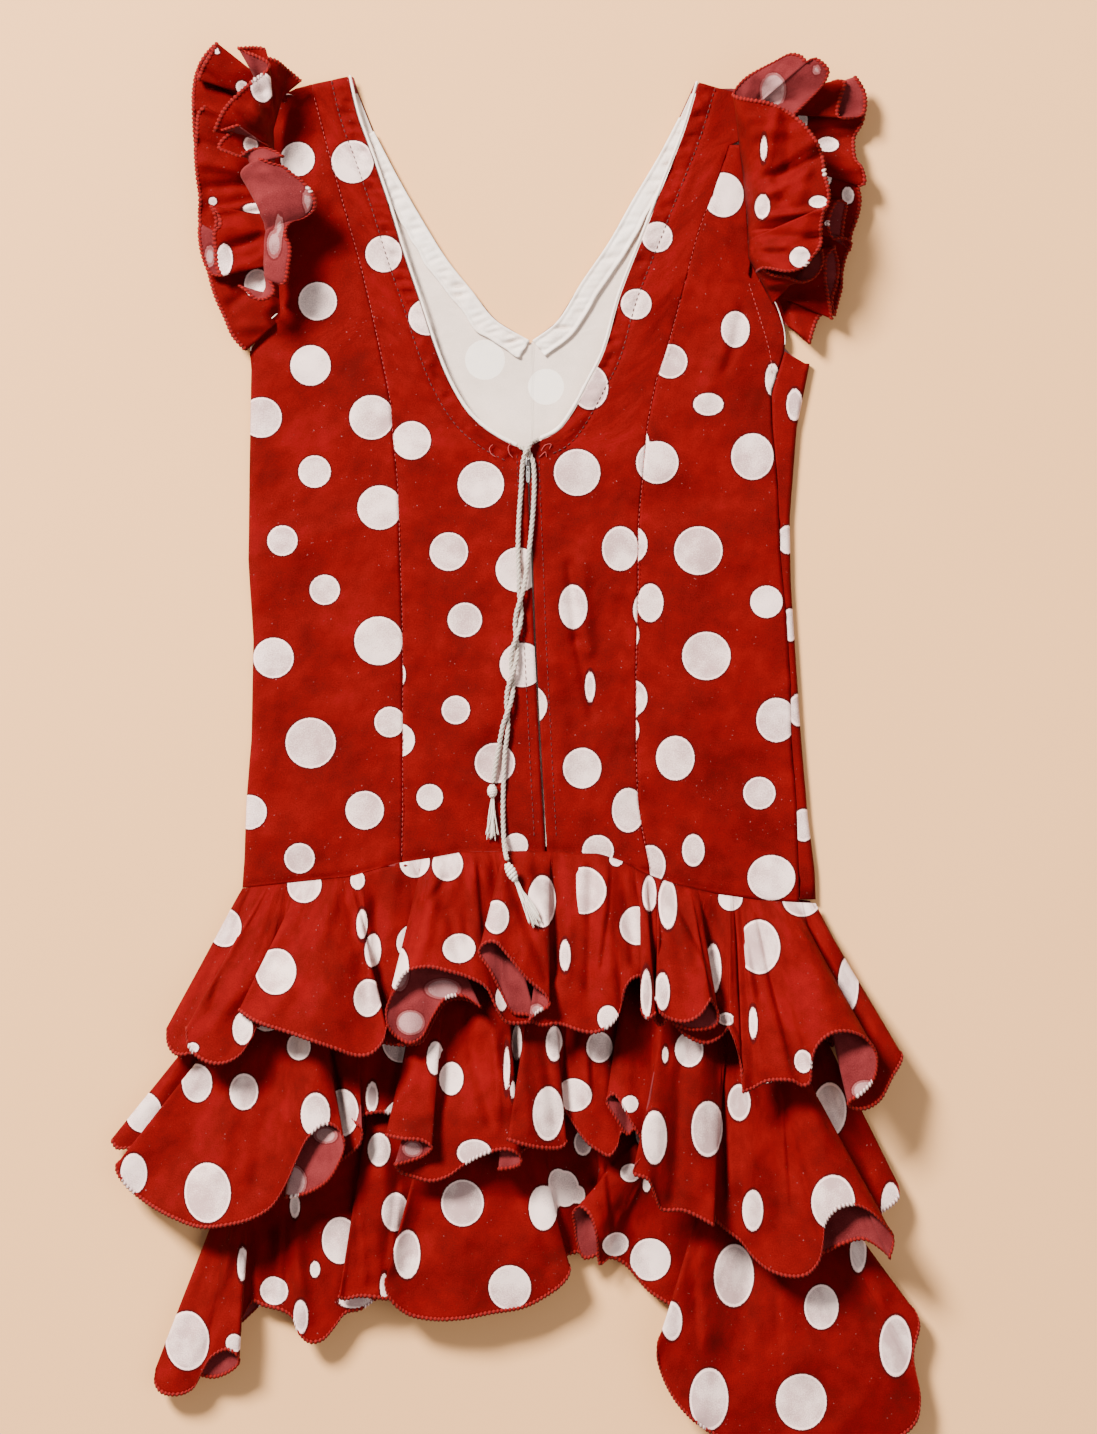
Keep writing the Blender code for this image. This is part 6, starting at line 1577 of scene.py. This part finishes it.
def over_the_cloth(tree):
    return node(tree, "ShaderNodeUVMap", {"uv_map": "cloth"}).outputs["UV"]


def in_the_room(tree):
    return node(tree, "ShaderNodeTexCoord").outputs["Object"]


def weighted(tree, *terms):
    """The sum of values, each times its weight."""
    total = maths(tree, "MULTIPLY", *terms[0])
    for value, weight in terms[1:]:
        total = maths(tree, "ADD", total, maths(tree, "MULTIPLY", value, weight))
    return total


def surface(tree, shader, colour, bump, **constants):
    """Links a look's colour and bump, and sets the constants of its shader."""
    tree.links.new(colour, shader.inputs["Base Color"])
    if bump is not None:
        tree.links.new(bump.outputs[0], shader.inputs["Normal"])
    for key, value in constants.items():
        shader.inputs[SHADER_INPUTS[key]].default_value = value


def noise(tree, where, scale, detail=2.0):
    return node(tree, "ShaderNodeTexNoise", Vector=where, Scale=scale, Detail=detail).outputs["Fac"]


def weave_height(tree, where, pitch):
    """Over-and-under threads: two crossed waves and a little slub."""
    scale = 0.314 / pitch
    across = node(tree, "ShaderNodeTexWave", {"bands_direction": "X"}, Vector=where, Scale=scale,
                  Distortion=0.6).outputs["Fac"]
    along = node(tree, "ShaderNodeTexWave", {"bands_direction": "Y"}, Vector=where, Scale=scale,
                 Distortion=0.6).outputs["Fac"]
    threads = maths(tree, "MULTIPLY", across, along)
    return maths(tree, "ADD", threads, maths(tree, "MULTIPLY", noise(tree, where, 900.0), 0.6))


def stepped(tree, value, start, end, top=1.0):
    """From 0 at the start to `top` at the end, and level beyond them."""
    made = node(tree, "ShaderNodeMapRange", {"clamp": True}, Value=value)
    made.inputs["From Min"].default_value = start
    made.inputs["From Max"].default_value = end
    made.inputs["To Max"].default_value = top
    return made.outputs[0]


def band(tree, value, middle, half, top):
    """`top` where the value is at the middle, down to 0 at half its width away."""
    away = maths(tree, "ABSOLUTE", maths(tree, "SUBTRACT", value, middle))
    return stepped(tree, away, half, half * 0.4, top)


def cotton(
    name, ground, shade, dot, rim, outline, dot_share=1.0, sheen=0.25, tired=DOT_TIRED, edges=1.0
):
    """Plain-weave cotton printed with dots: the dot attribute is the distance to a dot's edge in mm."""
    made, tree, shader = look(name)
    where = over_the_cloth(tree)
    far = attribute(tree, "dot")
    rough_edge = maths(tree, "MULTIPLY", maths(tree, "SUBTRACT", noise(tree, where, 1300.0), 0.5), 0.7)
    far = maths(tree, "ADD", far, rough_edge)
    inside = stepped(tree, far, 0.15, -0.15, dot_share)
    broad = noise(tree, where, 26.0, 3.0)
    patch = noise(tree, where, 120.0, 3.0)
    fibre = noise(tree, where, 1500.0, 2.0)
    # Random patches of painted shade: the ground colour is mixed towards its shaded copy by noise.
    shade_blotch = weighted(tree, (broad, 0.9), (patch, 0.5), (fibre, 0.7))
    red = mixed(tree, stepped(tree, shade_blotch, 0.80, 1.30), shade, ground)
    worn = weighted(tree, (noise(tree, where, 22.0, 3.0), 1.0), (patch, 0.45), (fibre, 0.55))
    tired = [c * share for c, share in zip(dot, tired)] + [1.0]
    pale = mixed(tree, stepped(tree, worn, 0.86, 1.12), tired, dot)
    colour = mixed(tree, inside, red, pale)
    colour = mixed(tree, band(tree, far, -0.45, 0.60, 0.9 * dot_share * edges), colour, rim)
    colour = mixed(tree, band(tree, far, 0.42, 0.42, 0.8 * dot_share * edges), colour, outline)
    lint = maths(tree, "GREATER_THAN", noise(tree, in_the_room(tree), 900.0, 1.0), LINT_LEVEL)
    colour = mixed(tree, maths(tree, "MULTIPLY", lint, LINT_SHARE), colour, LINT)
    soft = node(tree, "ShaderNodeBump", Strength=0.5, Distance=0.0012, Height=noise(tree, where, 90.0, 4.0))
    bump = node(tree, "ShaderNodeBump", Strength=0.4, Distance=0.0002, Normal=soft.outputs[0],
                Height=weave_height(tree, where, THREAD * MM))
    surface(tree, shader, colour, bump, rough=0.86, sheen=sheen, sheen_rough=0.45, shine=0.08)
    return made


def thread_look(name, colour, dark, spot, twist, sheen=0.2):
    """Sewing or cord yarn: a fine slanting twist with painted shade along it and in the grooves between
    beads or strands, and the dots' colour where it crosses a dot.
    """
    made, tree, shader = look(name)
    where = over_the_cloth(tree)
    turned = node(tree, "ShaderNodeMapping", Vector=where)
    turned.inputs["Rotation"].default_value = (0, 0, math.radians(38))
    ply = node(tree, "ShaderNodeTexWave", Vector=turned.outputs[0], Scale=0.314 / (twist * MM),
               Distortion=1.5).outputs["Fac"]
    # Painted shade along the twist: the dark colour where the ply wave is low.
    base = mixed(tree, ply, dark, colour)
    if spot is not None:
        far = attribute(tree, "dot")
        knot = attribute(tree, "knot")
        # Painted shade in the grooves: the dark colour where the knot attribute, the bead or strand height,
        # is low.
        base = mixed(tree, knot, dark, base)
        inside = maths(tree, "LESS_THAN", far, 0.0)
        base = mixed(tree, maths(tree, "MULTIPLY", inside, knot), base, spot)
    bump = node(tree, "ShaderNodeBump", Strength=0.6, Distance=0.0002, Height=ply)
    surface(tree, shader, base, bump, rough=0.8, sheen=sheen, shine=0.2)
    return made


def metal_look(name):
    made, tree, shader = look(name)
    worn = noise(tree, in_the_room(tree), 1500.0, 4.0)
    surface(tree, shader, mixed(tree, worn, METAL_DARK, METAL_LIT), None, metal=1.0)
    rough = maths(tree, "ADD", maths(tree, "MULTIPLY", worn, 0.25), 0.28)
    tree.links.new(rough, shader.inputs["Roughness"])
    return made


# Threads, cords and metal.
def swept(path, radius, sides, up=None, out=None, closed=True):
    """Rings of points along a path. `radius` is one number or one for each ring and side."""
    path = np.asarray(path, float)
    ahead = np.gradient(path, axis=0)
    ahead /= np.maximum(np.linalg.norm(ahead, axis=1), 1e-9)[:, None]
    if out is None:
        out = np.cross(ahead, (0.0, 0.0, 1.0))
        out /= np.maximum(np.linalg.norm(out, axis=1), 1e-6)[:, None]
        up = np.cross(out, ahead)
    angle = np.arange(sides) * 2 * math.pi / sides
    size = np.broadcast_to(np.asarray(radius, float), (len(path), sides)).copy()
    if closed:
        size[0] *= 0.02
        size[-1] *= 0.02
    ring = np.cos(angle)[None, :, None] * out[:, None] + np.sin(angle)[None, :, None] * up[:, None]
    points = path[:, None] + ring * size[..., None]
    i = np.arange(len(path) * sides).reshape(len(path), sides)
    j = np.roll(i, -1, axis=1)
    faces = np.stack([i[:-1], i[1:], j[1:], j[:-1]], axis=-1).reshape(-1, 4)
    walked = distance_along(path)
    uv = np.stack(np.broadcast_arrays(walked[:, None], angle[None, :]), axis=-1).reshape(-1, 2)
    return points.reshape(-1, 3), faces, uv


def joined(parts):
    """Several swept pieces as one set of points, faces and UVs."""
    points, faces, uvs, start = [], [], [], 0
    for p, f, uv in parts:
        points.append(p)
        faces.append(f + start)
        uvs.append(uv)
        start += len(p)
    return np.vstack(points), np.vstack(faces), np.vstack(uvs)


def add_thread(name, parts, look_used, dot=None, knot=None):
    points, faces, uv = joined(parts)
    attributes = {"dot": np.full(len(points), FAR) if dot is None else dot}
    if knot is not None:
        attributes["knot"] = knot
    points = placed(points)
    points[:, 2] = np.maximum(points[:, 2], LIES * MM)
    return add(name, mesh_of(name, points, faces, attributes, uv * MM), [look_used])


def overlock(name, cloth, look_used):
    """The knobbly thread sewn over a hem."""
    hem, walked = cloth.grid[:, -1], cloth.u[:, -1]
    up = normals(cloth.grid)[:, -1]
    out = hem - cloth.grid[:, -2]
    out /= np.maximum(np.linalg.norm(out, axis=1), 1e-6)[:, None]
    at = np.arange(0, walked[-1], OVERLOCK_STEP)

    def read(values):
        return np.stack([np.interp(at, walked, values[:, k]) for k in range(3)], axis=1)

    knot = np.abs(np.sin(math.pi * at / STITCH + 0.5 * ripple(at, 0 * at, 9, len(name))))
    bead = 0.48 + 0.62 * knot[:, None]
    sides = 6
    flat = np.sqrt(np.cos(np.arange(sides) * 2 * math.pi / sides) ** 2 * OVERLOCK_WIDE**2 + 0.45)
    path = read(hem) - read(out) * 0.5
    parts = [swept(path, bead * flat[None, :], sides, read(up), read(out))]
    dot = np.repeat(np.interp(at, walked, cloth.dot[:, -1]), sides)
    # The knot attribute also paints shade in the gaps between the beads.
    return add_thread(name, parts, look_used, dot, np.repeat(knot**1.5, sides))


def stitches(name, path, sewing, look_used):
    """A row of stitches that dips into the cloth at each end."""
    length, gap, radius = sewing
    path = np.asarray(path, float)
    walked = distance_along(path)
    parts = []
    for start in np.arange(1.0, walked[-1] - length, length + gap):
        at = start + length * np.linspace(0, 1, 5)
        run = np.stack([np.interp(at, walked, path[:, k]) for k in range(3)], axis=1)
        run[:, 2] += (0.0, 0.22, 0.28, 0.22, 0.0)
        parts.append(swept(run, radius, 5))
    return add_thread(name, parts, look_used)


def braid(pitch, walked, sides, radius):
    """The radius of a round braid at each ring and side."""
    angle = np.arange(sides) * 2 * math.pi / sides
    turn = 2 * math.pi * walked[:, None] / pitch
    over = np.abs(np.sin(1.5 * (angle[None, :] + turn)))
    under = np.abs(np.sin(1.5 * (angle[None, :] - turn)))
    return radius * (BRAID_CORE + BRAID_STRAND * np.maximum(over, 0.7 * under) ** 1.8)


def braided(run, radius, step, sides=16, pitch=BRAID_PITCH):
    """A braid along a run, and how high each of its points stands, from 0 in a groove."""
    path = spaced(run, step)
    walked = distance_along(path)
    size = braid(pitch, walked, sides, radius)
    return swept(path, size, sides), ((size / radius - BRAID_CORE) / BRAID_STRAND).reshape(-1)


def cord_runs(ground):
    """The routes of the two cords, as their solids have them."""
    centre = smooth(TWISTED_RUN, 12)
    walked = distance_along(centre)
    runs = {}
    for name, start, end, phase in (
        ("cord_a", CORD_A_START, CORD_A_END, math.pi),
        ("cord_b", CORD_B_START, CORD_B_END, 0.0),
    ):
        run = [(x, y, cord_height(x, y, ground) + h) for x, y, h in start]
        for (x, y), s in zip(centre[::3], walked[::3]):
            a = phase + 2 * math.pi * s / TWIST_PITCH
            high = TWIST_RADIUS * (1 + math.sin(a))
            run.append((x + TWIST_RADIUS * math.cos(a), y, cord_height(x, y, ground) + high))
        run += [(x, y, cord_height(x, y, ground) + h) for x, y, h in end]
        runs[name] = spaced(smooth(run, 6), CORD_STEP)
    return runs


def tassel(name, x, y, half_width, half_length, aim, ground, look_used):
    """A knot with the cord wound over it, and a brush of loose yarn."""
    draw = np.random.default_rng(len(name) + ord(name[-1]))
    z = ground.near(x, y) + SEAM_GAP + half_width
    toward = math.atan2(aim[1] - y, aim[0] - x)
    ahead = np.array((math.cos(toward), math.sin(toward), 0.0))
    side = np.array((-ahead[1], ahead[0], 0.0))
    up = np.array((0.0, 0.0, 1.0))
    middle = np.array((x, y, z))
    parts = []
    body = half_width * 0.72
    turns = np.linspace(0, 1, 200)
    for phase in (0.0, math.pi):
        a = turns * 2 * math.pi * WINDING_TURNS + phase
        swell = np.sin(math.pi * np.clip(turns * 0.9 + 0.05, 0, 1)) ** 0.6 * body * 0.85
        run = (middle + np.outer((turns - 0.5) * 2 * (half_length - WINDING_CLEAR), ahead)
               + np.outer(np.cos(a) * swell, side) + np.outer(np.sin(a) * swell, up))
        run[:, 2] = np.maximum(run[:, 2], z - half_width + WINDING_CLEAR)
        parts.append(swept(run, WINDING_RADIUS, 9))
    length = math.hypot(aim[0] - x, aim[1] - y)
    for _ in range(TASSEL_YARNS):
        share = draw.uniform(-1, 1)
        reach = length * draw.uniform(0.82, 1.0)
        wave = draw.uniform(-0.7, 0.7)
        layer = draw.uniform(0.3, 2.2)
        run = []
        for s in (0.06, 0.2, 0.4, 0.6, 0.8, 1.0):
            off = TASSEL_SPREAD * share * s**1.2 + wave * math.sin(5 * s + share)
            p = middle[:2] + ahead[:2] * reach * s + side[:2] * off
            floor = ground.near(*p) + SEAM_GAP + layer
            down = min(s / 0.3, 1.0)
            inside = s * reach < half_length / 2
            run.append((*p, z if inside else max(floor, z * (1 - down) + floor * down)))
        parts.append(swept(smooth(run, 4), YARN_RADIUS, 5))
    return add_thread(name + "_yarn", parts, look_used)


def zip_pieces(looks):
    """Slider with its bridge, a pull tab with a hole, and the zip's coil down the slit."""
    x, y = SLIDER_AT
    top = float(back_height(0)) + WALL / 2
    low = FACING_Z + WALL / 2 + SEAM_GAP
    width, length = SLIDER_SIZE
    parts = []
    for end in (-1, 1):
        path = [
            (x + width * 0.28 * end, y + 1.0 + length * s, (top + low) / 2)
            for s in even(-0.48, 0.48, 0.08)
        ]
        size = 0.62 + 0.12 * np.sin(np.linspace(0, math.pi, len(path)))
        parts.append(swept(path, size[:, None] * np.array([1, 1.15] * 4), 8))
    bridge = [
        (x, y + 1.0 + 2.9 * math.cos(a), top - 0.55 + 0.75 * math.sin(a)) for a in even(0, math.pi, 0.2)
    ]
    parts.append(swept(bridge, 0.45, 8))
    slider = add_thread("zip_slider_metal", parts, looks["metal"])
    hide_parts("zip_slider")

    low, high = (np.array(corner) * 1000 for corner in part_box("zip_pull"))
    low[:2] -= CENTRE
    high[:2] -= CENTRE
    middle = (low + high) / 2
    half = (high - low) / 2
    loop = []
    for a in np.linspace(0, 2 * math.pi, 60):
        c, s = math.cos(a), math.sin(a)
        loop.append((middle[0] + half[0] * 0.62 * math.copysign(abs(c) ** 0.6, c),
                     middle[1] + half[1] * 0.86 * math.copysign(abs(s) ** 0.75, s), middle[2]))
    parts = [swept(loop, np.array([0.36, 0.34, 0.3, 0.34] * 2), 8, closed=False)]
    bar = [(middle[0], middle[1] + half[1] * s, middle[2]) for s in even(-0.8, 0.35, 0.1)]
    parts.append(swept(bar, 0.3, 8))
    points, faces, uv = joined(parts)
    data = mesh_of("zip_tab_metal", placed(points), faces, {"dot": np.full(len(points), FAR)}, uv * MM)
    tab = add("zip_tab_metal", data, [looks["metal"]], body="pull_tab")
    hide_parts("zip_pull")

    y = even(4, 184, COIL_STEP)
    path = np.stack([line(ZIP_LINE, y), y, 0 * y + COIL_Z], axis=1)
    bead = 0.5 + 0.25 * np.abs(np.sin(math.pi * y / 1.1))[:, None]
    add_thread("zip_coil", [swept(path, bead * np.ones((1, 6)), 6)], looks["zip_thread"])


def table_line(table):
    """Points LINE_STEP apart along a smooth line through the table's points."""
    p = smooth(table, 4)
    walked = distance_along(p)
    at = np.arange(0, walked[-1], LINE_STEP)
    return [(np.interp(a, walked, p[:, 0]), np.interp(a, walked, p[:, 1])) for a in at]


def surface_line(tree, points, lift):
    """The same x and y, lifted off whatever lies there."""
    run = []
    for x, y in points:
        hit = tree.ray_cast(Vector((x, y, HIGH)), DOWN)[0]
        run.append((x, y, (hit.z if hit else back_height(x) + WALL / 2) + lift))
    return run


def add_relief(cloth, seed, hidden):
    name = cloth.piece
    if name.startswith(RUFFLES):
        gathered(cloth, HIDDEN_GATHER_DEPTH if hidden else GATHER_DEPTH)
    elif name.startswith("back_"):
        bodice_relief(cloth, SEAMS_BESIDE[name], 10 * seed)
    elif name.startswith("neck_facing"):
        facing_relief(cloth, seed)
    elif name in ("front_bodice", "front_lining"):
        x, y, z = (cloth.grid[..., k] for k in range(3))
        cloth.grid = cloth.grid.copy()
        if name == "front_bodice":
            cloth.grid[..., 2] += (0.3 * ripple(x, y, 60, seed) + 0.3) * (z < FACE_DOWN)
        else:
            cloth.grid[..., 2] += 0.3 * ripple(x, y, 40, seed)


def fine_cloths(keep):
    """Every piece of cloth as fine grids with their relief."""
    made = {}
    for seed, (name, grids) in enumerate(keep.items()):
        hidden = name.endswith("_front") or name == "skirt_base_back"
        if name.startswith(RUFFLES):
            grids = [finer_cloth(grids[0], HIDDEN_FINE if hidden else FINE)]
        elif name.startswith("skirt_base"):
            grids = [finer_cloth(grids[0], HIDDEN_FINE)]
        made[name] = [Cloth(name, g) for g in grids]
        for c in made[name]:
            add_relief(c, seed, hidden)
    return made


def print_dots(made):
    """The dots that show, where the tables have them, and the same print over what doesn't show."""
    every = [c for cloths in made.values() for c in cloths]
    seen = dict(zip(map(id, every), seen_from_above(every)))
    printed = [n for n in made if not n.startswith(UNPRINTED)]
    for seed, name in enumerate(printed):
        key = name.rsplit("_", 1)[0] if name.startswith("frill") else name
        for c in made[name]:
            if name in PANEL_DOTS:
                near = c.grid[..., 2] > FACE_UP if name == "front_bodice" else True
                for row in PANEL_DOTS[name]:
                    c.add_ellipse(near, *row)
            elif key in RUFFLE_DOTS:
                c.place_dots([row for row in RUFFLE_DOTS[key] if on_this_layer(c, row, seen[id(c)])])
            if name == "front_bodice" or name not in PANEL_DOTS:
                c.fill_dots(seen[id(c)], 100 + seed)
    for x, y, r in LINING_DOTS:
        for c in made["front_lining"]:
            c.dot = np.minimum(c.dot, np.hypot(c.grid[..., 0] - x, c.grid[..., 1] - y) - r)


def cloth_pieces(made, looks):
    pieces = {}
    for name, cloths in made.items():
        right, wrong = "red", "wrong"
        for start, one_look in UNPRINTED_LOOKS.items():
            if name.startswith(start):
                right = wrong = one_look
        right_side_up = not (name.endswith("_front") or name == "front_bodice")
        piece = cloth_piece(name + "_cloth", cloths, (looks[right], looks[wrong]), right_side_up)
        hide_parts(name)
        pieces[name] = piece
    return pieces


def on_this_layer(cloth, row, seen):
    """Whether this cloth is the one that shows at the dot."""
    x, y = row[:2]
    d = np.hypot(cloth.grid[..., 0] - x, cloth.grid[..., 1] - y)
    near = d < 4
    return bool(near.any() and seen[near].any())


def declare(name, cloths):
    """The flat size that the piece was cut to, its longest width and its area, worked out and not kept."""
    area = 0.0
    for c in cloths:
        g = c.grid
        a, b, d, e = g[:-1, :-1], g[1:, :-1], g[1:, 1:], g[:-1, 1:]
        area += np.linalg.norm(np.cross(b - a, d - a), axis=2).sum() / 2
        area += np.linalg.norm(np.cross(d - a, e - a), axis=2).sum() / 2
    width = max(c.u[-1].max() for c in cloths)
    if name in ("front_bodice", "front_lining"):
        width = sum(c.u[-1].max() for c in cloths)
    area = area * MM * MM
    width = round(float(width) * MM, 4)


def camera_and_light():
    data = bpy.data.cameras.new("camera")
    camera = bpy.data.objects.new("camera", data)
    bpy.context.scene.collection.objects.link(camera)
    camera.location = (VIEW_CENTRE[0], VIEW_CENTRE[1], CAMERA_HEIGHT)
    data.sensor_fit = "VERTICAL"
    data.sensor_height = 36.0
    data.lens = 36.0 * CAMERA_HEIGHT / VIEW_TALL
    data.clip_end = 20.0
    bpy.context.scene.camera = camera

    for name, at, size, power, colour in LIGHTS:
        lamp = bpy.data.lights.new(name, "AREA")
        lamp.size = size
        lamp.energy = power
        lamp.color = colour
        made = bpy.data.objects.new(name, lamp)
        made.location = at
        made.rotation_euler = (-Vector(at)).to_track_quat("-Z", "Y").to_euler()
        bpy.context.scene.collection.objects.link(made)
    world = bpy.data.worlds.new("studio")
    world.use_nodes = True
    world.node_tree.nodes["Background"].inputs["Color"].default_value = WORLD_COLOUR
    world.node_tree.nodes["Background"].inputs["Strength"].default_value = WORLD_STRENGTH
    bpy.context.scene.world = world

    made, tree, shader = look("floor")
    tint = mixed(tree, noise(tree, in_the_room(tree), 6.0, 3.0), FLOOR_DARK, FLOOR_LIGHT)
    surface(tree, shader, tint, None, rough=0.7)
    data = bpy.data.meshes.new("floor")
    far = FLOOR_HALF
    data.from_pydata([(-far, -far, 0), (far, -far, 0), (far, far, 0), (-far, far, 0)], [], [(0, 1, 2, 3)])
    floor = bpy.data.objects.new("floor", data)
    bpy.context.scene.collection.objects.link(floor)
    data.materials.append(made)


def all_looks():
    lining = LINING_DOT, LINING_DOT, LINING_LIT
    return {
        "red": cotton(
            "red_dotted_cotton", RED_LIT, RED_SHADE, DOT_WHITE, DOT_RIM, DOT_OUTLINE, 1.0, 0.0
        ),
        "wrong": cotton(
            "red_cotton_wrong_side", WRONG_LIT, WRONG_SHADE, WRONG_DOT, WRONG_LIT, WRONG_SHADE, 0.85, 0.03
        ),
        "lining": cotton(
            "white_lining_cotton", LINING_LIT, LINING_SHADE, *lining, 0.9, 0.1, LINING_TIRED, 0.0
        ),
        "tape": cotton("zip_tape_weave", LINING_LIT, LINING_SHADE, *lining, 0.0, 0.1),
        "overlock": thread_look("overlock_thread", THREAD_RED, THREAD_DARK, THREAD_PALE, 0.5, 0.0),
        "bright": thread_look("bright_sewing_thread", THREAD_BRIGHT, THREAD_RED, None, 0.4),
        "piping": cotton("white_piping_cotton", PIPING_LIT, LINING_LIT, *lining, 0.0, 0.1),
        "sewing": thread_look("sewing_thread", THREAD_DARK, THREAD_DEEP, None, 0.4),
        "subtle": thread_look("red_sewing_thread", THREAD_SUBTLE, THREAD_DARK, None, 0.4),
        "cord": thread_look("white_cord_yarn", CORD_LIT, CORD_SHADE, None, 0.7),
        "braid": thread_look("white_cord_braid", CORD_LIT, CORD_DEEP, CORD_LIT, 0.7),
        "zip_thread": thread_look("zip_coil_thread", CORD_LIT, LINING_SHADE, None, 0.9),
        "metal": metal_look("dull_zip_metal"),
    }


def sew_neck(back, looks):
    """The U neck's stitching and its piping, thin at the shoulders and thick at the foot."""
    for name, table, side in (("left", NECK_LEFT, 1), ("right", NECK_RIGHT, -1)):
        rows = moved_line(smooth(table, 6), side * NECK_STITCH)
        path = surface_line(back, [(x, y) for y, x in rows], STITCH_LIFT)
        stitches(f"neck_stitches_{name}", path, NECK_SEWING, looks["sewing"])
        run = spaced(smooth([(x, y, float(back_height(x))) for y, x in table], 4), PIPING_STEP)
        walked = np.arange(len(run)) * PIPING_STEP
        thin, thick = PIPING_SHOWN
        size = np.interp(run[:, 1], (NECK_FOOT, 250), (thick, thin))
        size = size * (1 + 0.1 * ripple(walked, 0 * walked, 6, side + 3))
        piping = add_thread(f"neck_piping_{name}_cloth", [swept(run, size[:, None], 12)], looks["piping"])
        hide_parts(f"neck_piping_{name}")


def sew_lines(back, looks):
    """Seam stitching, the white edges at the armholes and the loose threads at the zip's end."""
    for name, table in SEWN_LINES.items():
        path = surface_line(back, table_line(table), SEAM_LIFT)
        stitches(name, path, SEAM_SEWING, looks["bright"])
    for name, table in EDGE_LINES.items():
        path = surface_line(back, table_line(table), EDGE_LIFT)
        add_thread(name, [swept(spaced(smooth(path, 3), 0.8), EDGE_RADIUS, 8)], looks["piping"])
    for i, loop in enumerate(LOOSE_THREADS):
        path = [(x, y, float(back_height(x)) + WALL / 2 + LOOSE_LIFT + h) for x, y, h in loop]
        thread = swept(smooth(path, 6), LOOSE_RADIUS, 6)
        add_thread(f"loose_thread_{i + 1}", [thread], looks["bright"])


def sew_zip(back, looks):
    """A sliver of lining at the zip's foot, and the stitching on each side."""
    y = even(1.5, SLIVER_TOP, 1)
    path = np.stack([line(ZIP_LINE, y) + 0.35, y, 0 * y + ZIP_SLIVER_Z], axis=1)
    size = (0.3 + 0.25 * (1 - y / SLIVER_TOP))[:, None] * np.ones((1, 8))
    add_thread("zip_lining_edge", [swept(path, size, 8)], looks["piping"])
    y = even(6, 198, 2)
    for name, side in (("left", -1), ("right", 1)):
        x = line(ZIP_LINE, y) + side * ZIP_STITCH
        path = surface_line(back, list(zip(x, y)), STITCH_LIFT)
        stitches("zip_stitches_" + name, path, ZIP_SEWING, looks["subtle"])


def tie_cords(ground, looks):
    """The drawstring's two ends, each with its tassel."""
    runs = cord_runs(ground)
    for name, *rest in TASSELS:
        tassel(name, *rest, ground, looks["cord"])
        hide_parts(name)
    for name, run in runs.items():
        tube, high = braided(run, CORD_RADIUS, BRAID_STEP)
        # The strand heights go in as the knot attribute, which paints shade in the braid's grooves.
        piece = add_thread(name + "_braid", [tube], looks["braid"], None, high**1.2)
        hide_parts(name)
        where = placed(spaced(run, CORD_SAMPLE))


def main():
    camera_and_light()
    keep, ground = all_rows()
    looks = all_looks()
    made = fine_cloths(keep)
    print_dots(made)
    pieces = cloth_pieces(made, looks)
    trims = {name: [] for name in pieces}
    for name in pieces:
        if name.startswith(RUFFLES):
            trims[name].append(overlock(name + "_overlock", made[name][0], looks["overlock"]))

    back = tree_of([made[name][0] for name in BACK])
    sew_neck(back, looks)
    sew_lines(back, looks)
    sew_zip(back, looks)
    tie_cords(ground, looks)
    zip_pieces(looks)
    for name, piece in pieces.items():
        declare(name, made[name])


main()
